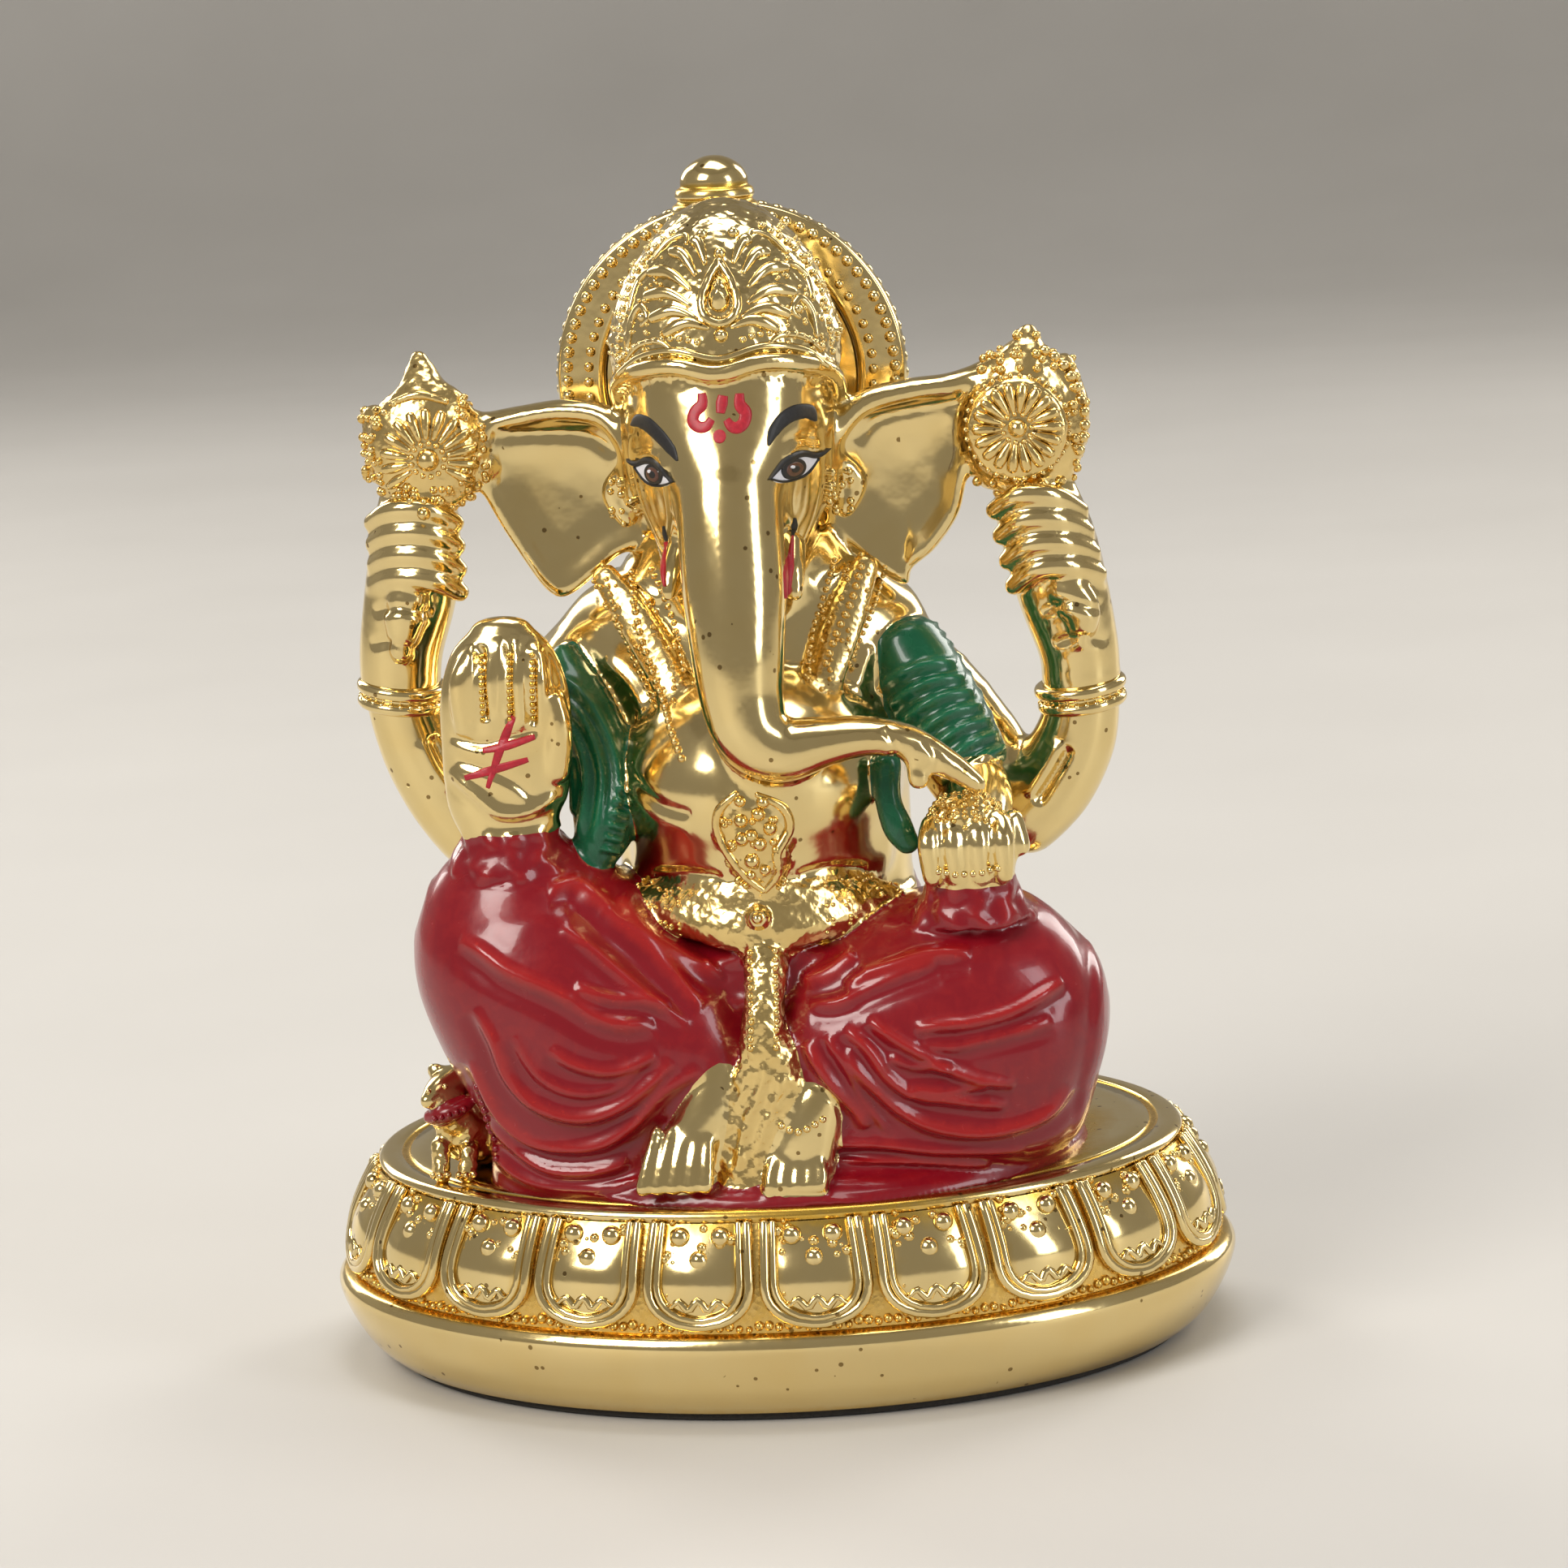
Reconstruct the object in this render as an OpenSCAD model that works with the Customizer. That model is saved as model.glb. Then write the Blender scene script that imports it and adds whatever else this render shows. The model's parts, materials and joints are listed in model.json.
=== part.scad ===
/* [Base] */
// Width of the oval base across its widest line
base_w = 92; // [70:1:130]
// Depth of the oval base from front to back
base_d = 66; // [50:1:100]
// Height of the base up to the flat that carries the figure
base_h = 21.2; // [16:0.2:30]
// Thickness of the felt pad under the base
pad_t = 1; // [0.5:0.1:2]
// Height of the crease between the plain rim and the lotus band
crease_z = 9.6; // [7:0.1:12]

/* [Lotus band] */
// Number of lotus petals round the base
petal_count = 21; // [12:1:28]
// Height of one lotus petal
petal_h = 9.4; // [5:0.1:10]
// Gap between two neighbouring petals
petal_gap = 1; // [0.2:0.1:2]
// How far a petal stands out of the band
petal_t = 0.7; // [0.4:0.1:1.5]

/* [Halo] */
// Radius of the halo plate behind the crown
halo_r = 17.5; // [14:0.1:20]
// Thickness of the halo plate
halo_t = 3; // [2:0.1:5]
// Number of beads in the outer halo row
halo_beads_n = 34; // [20:1:48]
// Radius of one halo bead
halo_bead_r = 0.55; // [0.3:0.05:0.9]

/* [Crown] */
// Number of leaf strokes on each side of the crown jewel
leaf_n = 6; // [4:1:8]
// Number of beads in the row above the crown band
crown_beads_n = 17; // [9:2:25]

/* [Arms] */
// Outside radius of the bangles on the rear arms
bangle_r = 4.6; // [4:0.1:6]
// Thickness of a bangle
bangle_t = 1.1; // [0.6:0.1:1.8]

/* [Hidden] */

gold = [0.83, 0.69, 0.36];
gold_deep = [0.78, 0.55, 0.2];
enamel_red = [0.55, 0.05, 0.12];
enamel_green = [0.02, 0.34, 0.22];
felt = [0.05, 0.05, 0.05];

front = [0, -1, 0];
oval = base_d / base_w;
base_r = base_w / 2;
lift = base_h - 21.2;
halo_c = [-0.5, 1.8, 98];

// Catmull-Rom blend of four values or vectors
function cr(a, b, c, d, t) =
  0.5 * (2 * b + (c - a) * t + (2 * a - 5 * b + 4 * c - d) * t * t + (3 * b - a - 3 * c + d) * t * t * t);
// A list of points or stations, filled in with n steps between each two
function smooth(p, n) = concat(
  [for (i = [0:len(p) - 2], j = [0:n - 1])
    cr(p[max(i - 1, 0)], p[i], p[i + 1], p[min(i + 2, len(p) - 1)], j / n)],
  [p[len(p) - 1]]);
// A closed outline filled in the same way
function smooth_loop(p, n) =
  [for (i = [0:len(p) - 1], j = [0:n - 1])
    cr(p[(i - 1 + len(p)) % len(p)], p[i], p[(i + 1) % len(p)], p[(i + 2) % len(p)], j / n)];
function unit(v) = v / max(norm(v), 1e-6);
function at(s) = [s[0], s[1], s[2]];
function heading(p, i) = unit(at(p[min(i + 1, len(p) - 1)]) - at(p[max(i - 1, 0)]));
function ring(c, t, a, b, sides, ref) =
  let (s = unit(cross(t, ref)), n = cross(s, t))
  [for (k = [0:sides - 1]) c + a * cos(360 * k / sides) * s + b * sin(360 * k / sides) * n];

// A solid through elliptical stations [x, y, z, half width, half depth], with rounded ends
module loft(st, n = 1, sides = 12, caps = [1, 1], ref = front) {
  p = smooth(st, n);
  m = len(p) - 1;
  t0 = heading(p, 0);
  t1 = heading(p, m);
  c0 = caps[0] * min(p[0][3], p[0][4]);
  c1 = caps[1] * min(p[m][3], p[m][4]);
  rings = concat(
    [if (c0 > 0) for (q = [48]) ring(at(p[0]) - t0 * c0 * sin(q), t0, p[0][3] * cos(q), p[0][4] * cos(q), sides, ref)],
    [for (i = [0:m]) ring(at(p[i]), heading(p, i), p[i][3], p[i][4], sides, ref)],
    [if (c1 > 0) for (q = [48]) ring(at(p[m]) + t1 * c1 * sin(q), t1, p[m][3] * cos(q), p[m][4] * cos(q), sides, ref)]);
  r = len(rings) - 1;
  points = concat([for (g = rings) each g], [at(p[0]) - t0 * c0, at(p[m]) + t1 * c1]);
  first = (r + 1) * sides;
  faces = concat(
    [for (i = [0:r - 1], k = [0:sides - 1])
      [i * sides + k, i * sides + (k + 1) % sides, (i + 1) * sides + (k + 1) % sides, (i + 1) * sides + k]],
    [for (k = [0:sides - 1]) [first, (k + 1) % sides, k]],
    [for (k = [0:sides - 1]) [first + 1, r * sides + k, r * sides + (k + 1) % sides]]);
  polyhedron(points, faces, convexity = 4);
}

// The figure stands on the base, however high that is
module placed() translate([0, 0, lift]) children();
// One closed mesh out of joined and trimmed forms
module carved() resize([0, 0, 0]) children();
module ball(c, r, fn = 16) translate(c) scale(r) sphere(1, $fn = fn);
// A half bead lying against a face that looks towards dir
module bead(c, r, dir = front) {
  pitch = acos(dir[2]);
  turn = atan2(dir[1], dir[0]);
  translate(c) rotate([0, pitch, turn])
    rotate_extrude($fn = 24) polygon(concat([[0, 0]], [for (q = [0:15:90]) r * [cos(q), sin(q)]]));
}

// ---- base ----
function arc_table(a, b, n) = [for (i = [0:n]) [arc_sum(a, b, n, i), 360 * i / n]];
function arc_step(a, b, n, i) =
  norm([a * (cos(360 * i / n) - cos(360 * (i - 1) / n)), b * (sin(360 * i / n) - sin(360 * (i - 1) / n))]);
function arc_sum(a, b, n, i) = i == 0 ? 0 : arc_sum(a, b, n, i - 1) + arc_step(a, b, n, i);

band_r = base_r - 1.8;
petal_arcs = arc_table(band_r, band_r * oval, 180);
band_length = petal_arcs[180][0];
petal_w = band_length / petal_count - petal_gap;
band_profile = smooth([[base_r - 1.7, crease_z], [base_r - 1.8, crease_z + 2.4], [base_r - 2.5, crease_z + 5.4],
  [base_r - 3.8, crease_z + 8.2], [base_r - 5.2, base_h - 1.1]], 2);
rim_profile = smooth([[base_r - 4.4, pad_t], [base_r - 2.6, pad_t + 1.6], [base_r - 0.9, pad_t + 4.4],
  [base_r, pad_t + 7], [base_r - 0.5, crease_z - 0.4], [base_r - 1.4, crease_z]], 2);

module oval_turn(profile) scale([1, oval, 1])
  rotate_extrude($fn = 60) polygon(concat([[0, profile[0][1]]], profile, [[0, profile[len(profile) - 1][1]]]));

module base_pad() color(felt) linear_extrude(height = pad_t)
  polygon([for (i = [0:59]) (base_r - 5.4) * [cos(i * 6), oval * sin(i * 6)]]);

module base_rim() color(gold) oval_turn(rim_profile);

module lotus_band() color(gold_deep) oval_turn(band_profile);

module plateau() color(gold)
  oval_turn([[base_r - 5.1, base_h - 1.1], [base_r - 5, base_h - 0.6], [base_r - 5.6, base_h - 0.1], [base_r - 6.4, base_h],
    [base_r - 7.4, base_h], [base_r - 7.6, base_h - 0.3], [base_r - 7.8, base_h - 0.3], [base_r - 8, base_h]]);

// One petal: rows are [height, half width, thickness] from the crease up
module one_petal(w, h, t) {
  cols = [-1, -0.84, 0, 0.84, 1];
  rise = [0, 1, 0.85, 1, 0];
  rows = [[0, 0.7, 0.4], [0.3, 1, 1], [1, 0.98, 0.6]];
  function band_at(u) = lookup(crease_z + 1 + u * h, [for (q = band_profile) [q[1], q[0]]]) - (base_r - 1.8);
  points = concat(
    [for (r = rows, c = [0:4]) [band_at(r[0]) + t * rise[c] * r[2] + 0.02, cols[c] * r[1] * w / 2, crease_z + 1 + r[0] * h]],
    [for (r = rows, c = [0:4]) [band_at(r[0]) - 0.2, cols[c] * r[1] * w / 2, crease_z + 1 + r[0] * h]]);
  n = 5;
  m = len(rows);
  faces = concat(
    [for (i = [0:m - 2], c = [0:n - 2]) [i * n + c, (i + 1) * n + c, (i + 1) * n + c + 1, i * n + c + 1]],
    [for (i = [0:m - 2], c = [0:n - 2]) [n * m + i * n + c, n * m + i * n + c + 1, n * m + (i + 1) * n + c + 1, n * m + (i + 1) * n + c]],
    [for (i = [0:m - 2]) [i * n, n * m + i * n, n * m + (i + 1) * n, (i + 1) * n]],
    [for (i = [0:m - 2]) [i * n + n - 1, (i + 1) * n + n - 1, n * m + (i + 1) * n + n - 1, n * m + i * n + n - 1]],
    [[for (c = [0:n - 1]) c, for (c = [n - 1:-1:0]) n * m + c]],
    [[for (c = [n - 1:-1:0]) (m - 1) * n + c, for (c = [0:n - 1]) n * m + (m - 1) * n + c]]);
  polyhedron(points, faces, convexity = 4);
}

module lotus_petals() color(gold) for (i = [0:petal_count - 1]) {
  q = lookup(((i + 0.5) / petal_count + 0.75) % 1 * band_length, petal_arcs);
  translate([band_r * cos(q), band_r * oval * sin(q), 0])
    rotate([0, 0, atan2(sin(q) / oval, cos(q))])
      one_petal(petal_w, petal_h, petal_t);
}

// ---- legs and cloth ----
module seat_form() loft([[2, -6, 20.6, 29.6, 22.4], [2, -6, 21.8, 29.4, 22.2], [2, -6, 23.6, 27.4, 19.8], [2, -6, 26, 24, 16]],
  sides = 20, caps = [0, 0]);

module hips_form() {
  loft([[2, -1, 21, 26, 17], [1, -1, 28, 24.5, 15.5], [1, -2, 36, 19, 13], [1, -3, 43, 15.5, 12], [1, -3.5, 48, 14.4, 11.6]],
    sides = 18, caps = [0, 0]);
}

module right_leg_form() {
  loft([[-23, -16.6, 54.2, 6, 5.4], [-22.8, -15.6, 50.5, 9.6, 8.6], [-21.9, -15, 45.8, 12, 10.6], [-19.8, -15, 40, 12.5, 11.6],
    [-16.8, -15, 34, 12.4, 11.6], [-15.2, -14, 28, 12.2, 10.8], [-15, -13.5, 22.2, 12.6, 10.4]], sides = 16, caps = [0.2, 0]);
  loft([[-20, -14.6, 43, 10, 10.4], [-12, -15.6, 37.4, 10.4, 10.6], [-5, -16.4, 34.4, 8.8, 9.4], [-1, -16.6, 33.6, 6.4, 7.6]],
    sides = 16, caps = [1, 0.5]);
}

module left_leg_form() {
  loft([[4.4, -15.6, 34, 7, 9], [9, -16, 35, 10, 11.2], [15, -15.4, 36, 12.4, 12], [21.6, -14.6, 36, 13, 12], [27.4, -13.6, 34.8, 11.4, 11],
    [30.3, -13, 34.2, 8.8, 9]], n = 2, sides = 16, caps = [0.5, 0.4]);
  loft([[4, -13, 26.6, 5.4, 10.6], [14, -13, 27, 6, 12], [24, -12.4, 27, 5.6, 11], [28.6, -11.6, 27, 4.6, 8]], sides = 14, caps = [0.4, 0.5]);
}

module pleat_form() loft([[1.4, -23, 47, 2.5, 2], [1.5, -25.2, 43.6, 2.2, 2], [1.6, -26, 40.4, 1.5, 1.8], [1.5, -26.2, 37.4, 2.6, 1.8],
  [1.6, -25.8, 34.6, 3.4, 2]], sides = 10, caps = [0.3, 1]);

module toe(c, r, l) loft([[c[0], c[1] + l, c[2] + l * 0.45, r * 0.95, r], [c[0], c[1], c[2], r, r * 0.8]], sides = 6);

module right_foot_form() {
  loft([[-3.8, -23, 33.4, 2.8, 2.6], [-4.6, -24, 29.6, 2.9, 2.6], [-6.2, -24.6, 26, 3.2, 2.4], [-7.7, -25.2, 23.6, 4.3, 1.7]], sides = 12);
  for (i = [0:4]) toe([-10.9 + i * 1.7, -27 + abs(i - 2.4) * 0.3, 22.6], 0.85, 2.8);
}

module left_foot_form() {
  loft([[8.4, -23, 32.6, 2, 2.2], [6, -24.2, 31.8, 2.6, 2.4], [3.6, -24.8, 29.4, 3.6, 2.6], [2.8, -25.2, 26, 3.9, 2.2], [2.6, -25.8, 23.6, 3.4, 1.5]],
    sides = 12);
  ball([8, -24.2, 32.2], [1.9, 1.8, 1.9]);
  for (i = [0:4]) toe([-0.2 + i * 1.45, -27.2 + abs(i - 2) * 0.3, 22.8], 0.7, 2.2);
}

module feet_forms() {
  right_foot_form();
  left_foot_form();
  pleat_form();
}

module seat_cloth() color(enamel_red) placed() carved() difference() {
  seat_form();
  translate([0, 0, 20.2]) scale([1, oval, 1]) cylinder(h = 1, r = base_r, $fn = 24);
  hips_form();
  right_leg_form();
  left_leg_form();
}

module above_plateau() difference() {
  children();
  translate([0, 0, 11.2]) scale([1, oval, 1]) cylinder(h = 10, r = base_r, $fn = 36);
}

module hips() color(enamel_red) placed() carved() above_plateau() difference() {
  hips_form();
  right_leg_form();
  left_leg_form();
  feet_forms();
  belly_form();
  arms_low();
}

module right_leg() color(enamel_red) placed() carved() above_plateau() difference() {
  right_leg_form();
  feet_forms();
  waist_form();
  belly_form();
  cuff_low_form(1);
  right_shawl_form();
  right_arm_forms();
}

module left_leg() color(enamel_red) placed() carved() above_plateau() difference() {
  left_leg_form();
  feet_forms();
  waist_form();
  belly_form();
  cuff_low_form(2);
  left_arm_forms();
}

module centre_pleat() color(gold_deep) placed() carved() difference() {
  pleat_form();
  left_foot_form();
  right_foot_form();
  waist_form();
}

module right_foot() color(gold) placed() carved() above_plateau() right_foot_form();

module left_foot() color(gold) placed() carved() above_plateau() difference() {
  left_foot_form();
  right_foot_form();
}

// ---- trunk of the body ----
module waist_form() loft([[-11, -15.4, 49.4, 1.8, 1.7], [-5.6, -21, 47.8, 2.2, 1.9], [1.3, -23.2, 46.8, 2.7, 2.1], [8, -21, 47.2, 2.4, 1.9],
  [13.6, -15.4, 48.6, 1.8, 1.7]], n = 2, sides = 10);

module buckle_form() translate([1.4, -24.6, 48.9]) rotate([90, 90, 0]) cylinder(h = 1.6, r1 = 2.2, r2 = 1.5, $fn = 3);

module torso_form() loft([[1, -6, 44, 13.4, 11], [1, -5, 50, 14.4, 12], [0.6, -4, 58, 15, 11.6], [0.2, -3, 66, 16.6, 10.6],
  [0, -2.6, 71.6, 18.2, 9.6], [0, -2.6, 76, 17, 8.8], [0, -3.4, 79.6, 12.6, 8.4], [0, -4.6, 84, 9, 8]], sides = 16, caps = [0, 0]);

module belly_form() ball([1.2, -9.4, 60], [14, 14.6, 11.4], 24);

module garland_forms() {
  loft([[-14.4, -8.6, 80.6, 1.8, 1.2], [-10.4, -12.2, 76, 2.6, 1.5], [-7, -14.8, 70.4, 2.6, 1.6], [-4.6, -17.6, 64.6, 1.9, 1.5]], sides = 8);
  loft([[13.4, -8.6, 80.6, 1.8, 1.2], [11, -12, 75.6, 2.4, 1.5], [8.6, -14.6, 70.6, 2.4, 1.6], [7.6, -17, 66.8, 1.8, 1.4]], sides = 8);
}

module pendant_form() loft([[0.8, -21.6, 62, 2.4, 1.9], [1, -23, 58.4, 3.4, 1.9], [1.6, -23.6, 54.6, 3.3, 1.8], [1.5, -22.6, 51, 1.8, 1.7]], sides = 12);

module waistband() color(gold_deep) placed() carved() difference() {
  waist_form();
  belly_form();
  buckle_form();
}

module belt_buckle() color(gold) placed() carved() difference() {
  buckle_form();
  belly_form();
}

module torso() color(gold) placed() carved() difference() {
  torso_form();
  hips_form();
  right_leg_form();
  left_leg_form();
  belly_form();
  waist_form();
  garland_forms();
  head_form();
  arms_low();
  ears_forms();
  trunk_form();
  halo_form(24);
}

module belly() color(gold) placed() carved() difference() {
  belly_form();
  garland_forms();
  pendant_form();
  trunk_form();
  arms_low();
}

module chest_garlands() color(gold_deep) placed() carved() difference() {
  garland_forms();
  head_form();
  trunk_form();
  ears_forms();
  arms_low();
}

module belly_pendant() color(gold_deep) placed() carved() difference() {
  pendant_form();
  trunk_form();
}

// ---- head ----
module head_form() loft([[0, -11.4, 77.6, 5, 5.6], [0, -10.2, 82, 7, 8.6], [0, -9.2, 87.6, 9.4, 10.6], [0, -8.8, 93, 10.2, 11], [0, -8.6, 97.6, 10, 10.8],
  [0, -7.6, 101.4, 9, 9.8]], sides = 16, caps = [0.6, 0]);

module trunk_form() {
  loft([[0.5, -17.4, 98, 5, 2.8], [0.5, -18.6, 94, 5.2, 3.9], [0.7, -20.6, 87.4, 5.1, 4.6], [0.9, -22.4, 80.4, 5, 4.7], [1, -23.6, 74.6, 4.5, 4.5],
    [1.2, -24.2, 70, 4, 4.2], [2.2, -24.6, 66.8, 3.7, 3.9], [4.9, -24.6, 65.2, 3.2, 3.5], [8.8, -24.4, 65.7, 2.4, 3], [12.8, -24, 66, 1.9, 2.6],
    [16.6, -23.6, 65.2, 1.7, 2.2], [20.4, -23.2, 62.8, 1.4, 1.8], [23, -23, 60.8, 0.9, 1.2]], n = 2);
  loft([[17.4, -24.2, 64, 1, 1.2], [17.6, -24.6, 61.8, 1.1, 1.1]], sides = 8);
}

module tusks_form() {
  loft([[6, -16.4, 83.4, 1.5, 1.5], [6.3, -18.8, 81.4, 1.2, 1.2], [6.4, -19.8, 79.4, 0.9, 0.9]], sides = 8);
  loft([[-4.6, -16.4, 83.4, 1.5, 1.5], [-5.3, -18.8, 81.4, 1.2, 1.2], [-5.6, -19.8, 79.8, 0.8, 0.8]], sides = 8);
}

right_ear_outline = [[-8.6, 84], [-9, 92], [-11.5, 95.4], [-15.5, 96.4], [-20.5, 96.2], [-25, 95.2], [-25.6, 90.6], [-24, 86.4], [-21.6, 82],
  [-19.2, 78.4], [-17, 78], [-12.4, 81.4]];
left_ear_outline = [[8.8, 86], [9.4, 92.4], [12.4, 95.8], [17, 96.6], [21.6, 97], [25, 98], [25, 93], [23, 88.2], [21.9, 84.4], [19.4, 81], [16.9, 79],
  [16.4, 77.4], [13.4, 79.2], [9.6, 83]];

module ear_plate(outline, side) {
  translate([side * 8, -4.4, 0]) rotate([0, 0, side * -6]) translate([-side * 8, 0, 0])
    rotate([90, 0, 0]) linear_extrude(height = 2.2, center = true) polygon(smooth_loop(outline, 2));
}

module right_ear_form() {
  ear_plate(right_ear_outline, -1);
  loft([[-9.6, -9.4, 88, 1, 1.4], [-10, -8.8, 92.6, 1.2, 1.6], [-12.2, -7.4, 95.6, 1.2, 1.8], [-16, -6.4, 96.4, 1.1, 1.8], [-20.6, -5.6, 96, 1, 1.6],
    [-25, -5, 95.4, 0.9, 1.4]], sides = 8);
  loft([[-10, -8.6, 91, 0.9, 1.2], [-11.8, -8, 88.4, 1.2, 1.2], [-10.6, -8, 85.8, 1.1, 1.2]], sides = 8);
}

module left_ear_form() {
  ear_plate(left_ear_outline, 1);
  loft([[9.6, -9.4, 88, 1, 1.4], [10.2, -8.8, 92.8, 1.2, 1.6], [13, -7.4, 95.8, 1.2, 1.8], [17.4, -6.4, 96.8, 1.1, 1.8], [21.6, -5.6, 97.2, 1, 1.6],
    [25.4, -5, 98.4, 0.9, 1.4]], sides = 8);
  loft([[10.2, -8.6, 91, 0.9, 1.2], [12, -8, 88.4, 1.2, 1.2], [10.8, -8, 85.8, 1.1, 1.2]], sides = 8);
}

module ears_forms() {
  right_ear_form();
  left_ear_form();
}

crown_stations = [[0.2, -9.4, 98.4, 10.6, 10.2], [0.2, -9, 101.4, 11.1, 11], [0.1, -8, 105, 10.7, 10.6], [0, -6.6, 108.8, 9, 9], [-0.3, -5, 112, 6.4, 6.6],
  [-0.6, -3.6, 114.2, 3.8, 4]];

module crown_form() loft(crown_stations, n = 2, sides = 18, caps = [0, 0.3]);

// A point on the crown at a turn from the front, on the ring that starts from height z on its axis
crown_fine = smooth(crown_stations, 2);
function crown_val(z, k) = lookup(z, [for (s = crown_fine) [s[2], s[k]]]);
function crown_axis(z) = [crown_val(z, 0), crown_val(z, 1), z];
function on_crown(turn, z) =
  let (t = unit(crown_axis(z + 0.5) - crown_axis(z - 0.5)))
  crown_axis(z) + crown_val(z, 3) * sin(turn) * [1, 0, 0] + crown_val(z, 4) * cos(turn) * [0, -t[2], t[1]];
// How far the crown's front leans back from upright there
function crown_lean(z) = let (d = on_crown(0, z + 0.5) - on_crown(0, z - 0.5)) atan2(d[1], d[2]);

module band_form() loft([[-10.4, -7, 96, 0.9, 1], [-10.2, -12.4, 99.4, 1, 1.1], [-7.6, -17.4, 101, 1, 1.1], [-3.8, -19.7, 101.6, 1, 1.1],
  [0.3, -20.3, 100.8, 1, 1.1], [4.4, -19.7, 101.6, 1, 1.1], [8.2, -17.4, 101, 1, 1.1], [10.8, -12.4, 99.4, 1, 1.1], [11, -7, 96, 0.9, 1]],
  sides = 7, ref = [0, 0, 1]);

module jewel_form() {
  translate(on_crown(0, 103.8)) rotate([-crown_lean(103.8), 0, 0]) translate([0, -0.1, 0]) {
    scale([1, 0.55, 1]) hull() {
      sphere(1.6, $fn = 16);
      translate([0, 0, 3.1]) sphere(0.5, $fn = 8);
    }
    rotate([90, 0, 0]) rotate_extrude($fn = 20) translate([2.2, 0]) circle(0.45, $fn = 6);
  }
  ball(on_crown(0, 101.6), [0.9, 0.8, 0.9]);
}

module head() color(gold) placed() carved() difference() {
  head_form();
  trunk_form();
  tusks_form();
  crown_form();
  band_form();
  ears_forms();
  halo_form(24);
}

module trunk() color(gold) placed() carved() trunk_form();

module tusks() color(gold) placed() carved() difference() {
  tusks_form();
  trunk_form();
}

module right_ear() color(gold) placed() carved() difference() {
  right_ear_form();
  right_hand_forms();
  halo_form(24);
}

module left_ear() color(gold) placed() carved() difference() {
  left_ear_form();
  left_hand_forms();
  halo_form(24);
}

module crown() color(gold) placed() carved() difference() {
  crown_form();
  halo_form(24);
  band_form();
  finial_form(14);
}

module crown_band() color(gold) placed() carved() difference() {
  band_form();
  trunk_form();
  ears_forms();
}

module crown_jewel() color(gold) placed() carved() difference() {
  jewel_form();
  crown_form();
}

module crown_leaves() color(gold) placed() carved() difference() {
  for (side = [-1, 1], i = [0:leaf_n - 1]) {
    q = 20 + i * 26;
    turn = side * (15 + 9 * sin(q));
    z = 104 + 2.6 * cos(q);
    translate(on_crown(turn, z)) rotate([0, 0, turn]) rotate([-crown_lean(z), 0, 0]) rotate([0, side * q, 0])
      scale([0.55, 0.8, 1.9]) sphere(1, $fn = 6);
  }
  crown_form();
}

module crown_beads() color(gold) placed()
  for (i = [0:crown_beads_n - 1]) {
    turn = -64 + 128 * i / (crown_beads_n - 1);
    c = on_crown(turn, 100.4);
    bead(c, 0.42, unit([sin(turn), -cos(turn), 0.05]));
  }

// ---- halo and finial ----
module halo_form(fn = 72) translate(halo_c) rotate([-90, 0, 0]) rotate_extrude($fn = fn)
  polygon([[0, 0.7], [12.4, 0.7], [12.7, 0], [halo_r - 0.4, 0], [halo_r, 0.4], [halo_r, halo_t - 0.4], [halo_r - 0.4, halo_t], [0, halo_t]]);

module finial_form(fn = 36) translate([-1, 1.2, 0]) rotate_extrude($fn = fn)
  polygon([[0, 111.6], [5.2, 111.6], [5.4, 113], [4.8, 114.4], [4, 114.8], [4.2, 115.5], [3.6, 116.4], [3, 116.8], [3.1, 117.5], [2.7, 118.5], [1.9, 119.4],
    [0.8, 119.9], [0, 120]]);

module halo() color(gold) placed() difference() {
  halo_form();
  finial_form();
}

module halo_beads() color(gold) placed() {
  for (i = [0:halo_beads_n - 1]) {
    q = -20 + 220 * i / (halo_beads_n - 1);
    bead(halo_c + [(halo_r - 1.2) * cos(q), 0, (halo_r - 1.2) * sin(q)], halo_bead_r);
  }
  for (i = [0:halo_beads_n - 5]) {
    q = -16 + 212 * i / (halo_beads_n - 5);
    bead(halo_c + [(halo_r - 3.4) * cos(q), 0, (halo_r - 3.4) * sin(q)], halo_bead_r * 0.85);
  }
}

module finial() color(gold) placed() finial_form();

// ---- rear arms, with what they hold ----
module right_upper_arm_form() loft([[-14, -0.4, 73.4, 4.2, 4.4], [-19, 0, 68.4, 4.4, 4.4], [-24, -0.6, 61, 4.4, 4.4], [-28.2, -2, 54.6, 4.2, 4.4]], sides = 14);
module right_forearm_form() loft([[-28, -2.8, 54.2, 4.1, 4.2], [-30.6, -3.2, 57.4, 4.2, 4.2], [-33, -3.6, 62, 4, 4], [-34.4, -4, 66.4, 3.7, 3.7],
  [-34.9, -4.2, 70, 3.6, 3.7]], sides = 14, caps = [0.8, 0]);
module right_bangle_form(fn = 32) translate([-34.7, -4.1, 68.6]) rotate([4, 8, 0]) rotate_extrude($fn = fn) translate([bangle_r - bangle_t, 0])
  circle(bangle_t, $fn = fn / 2);
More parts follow.
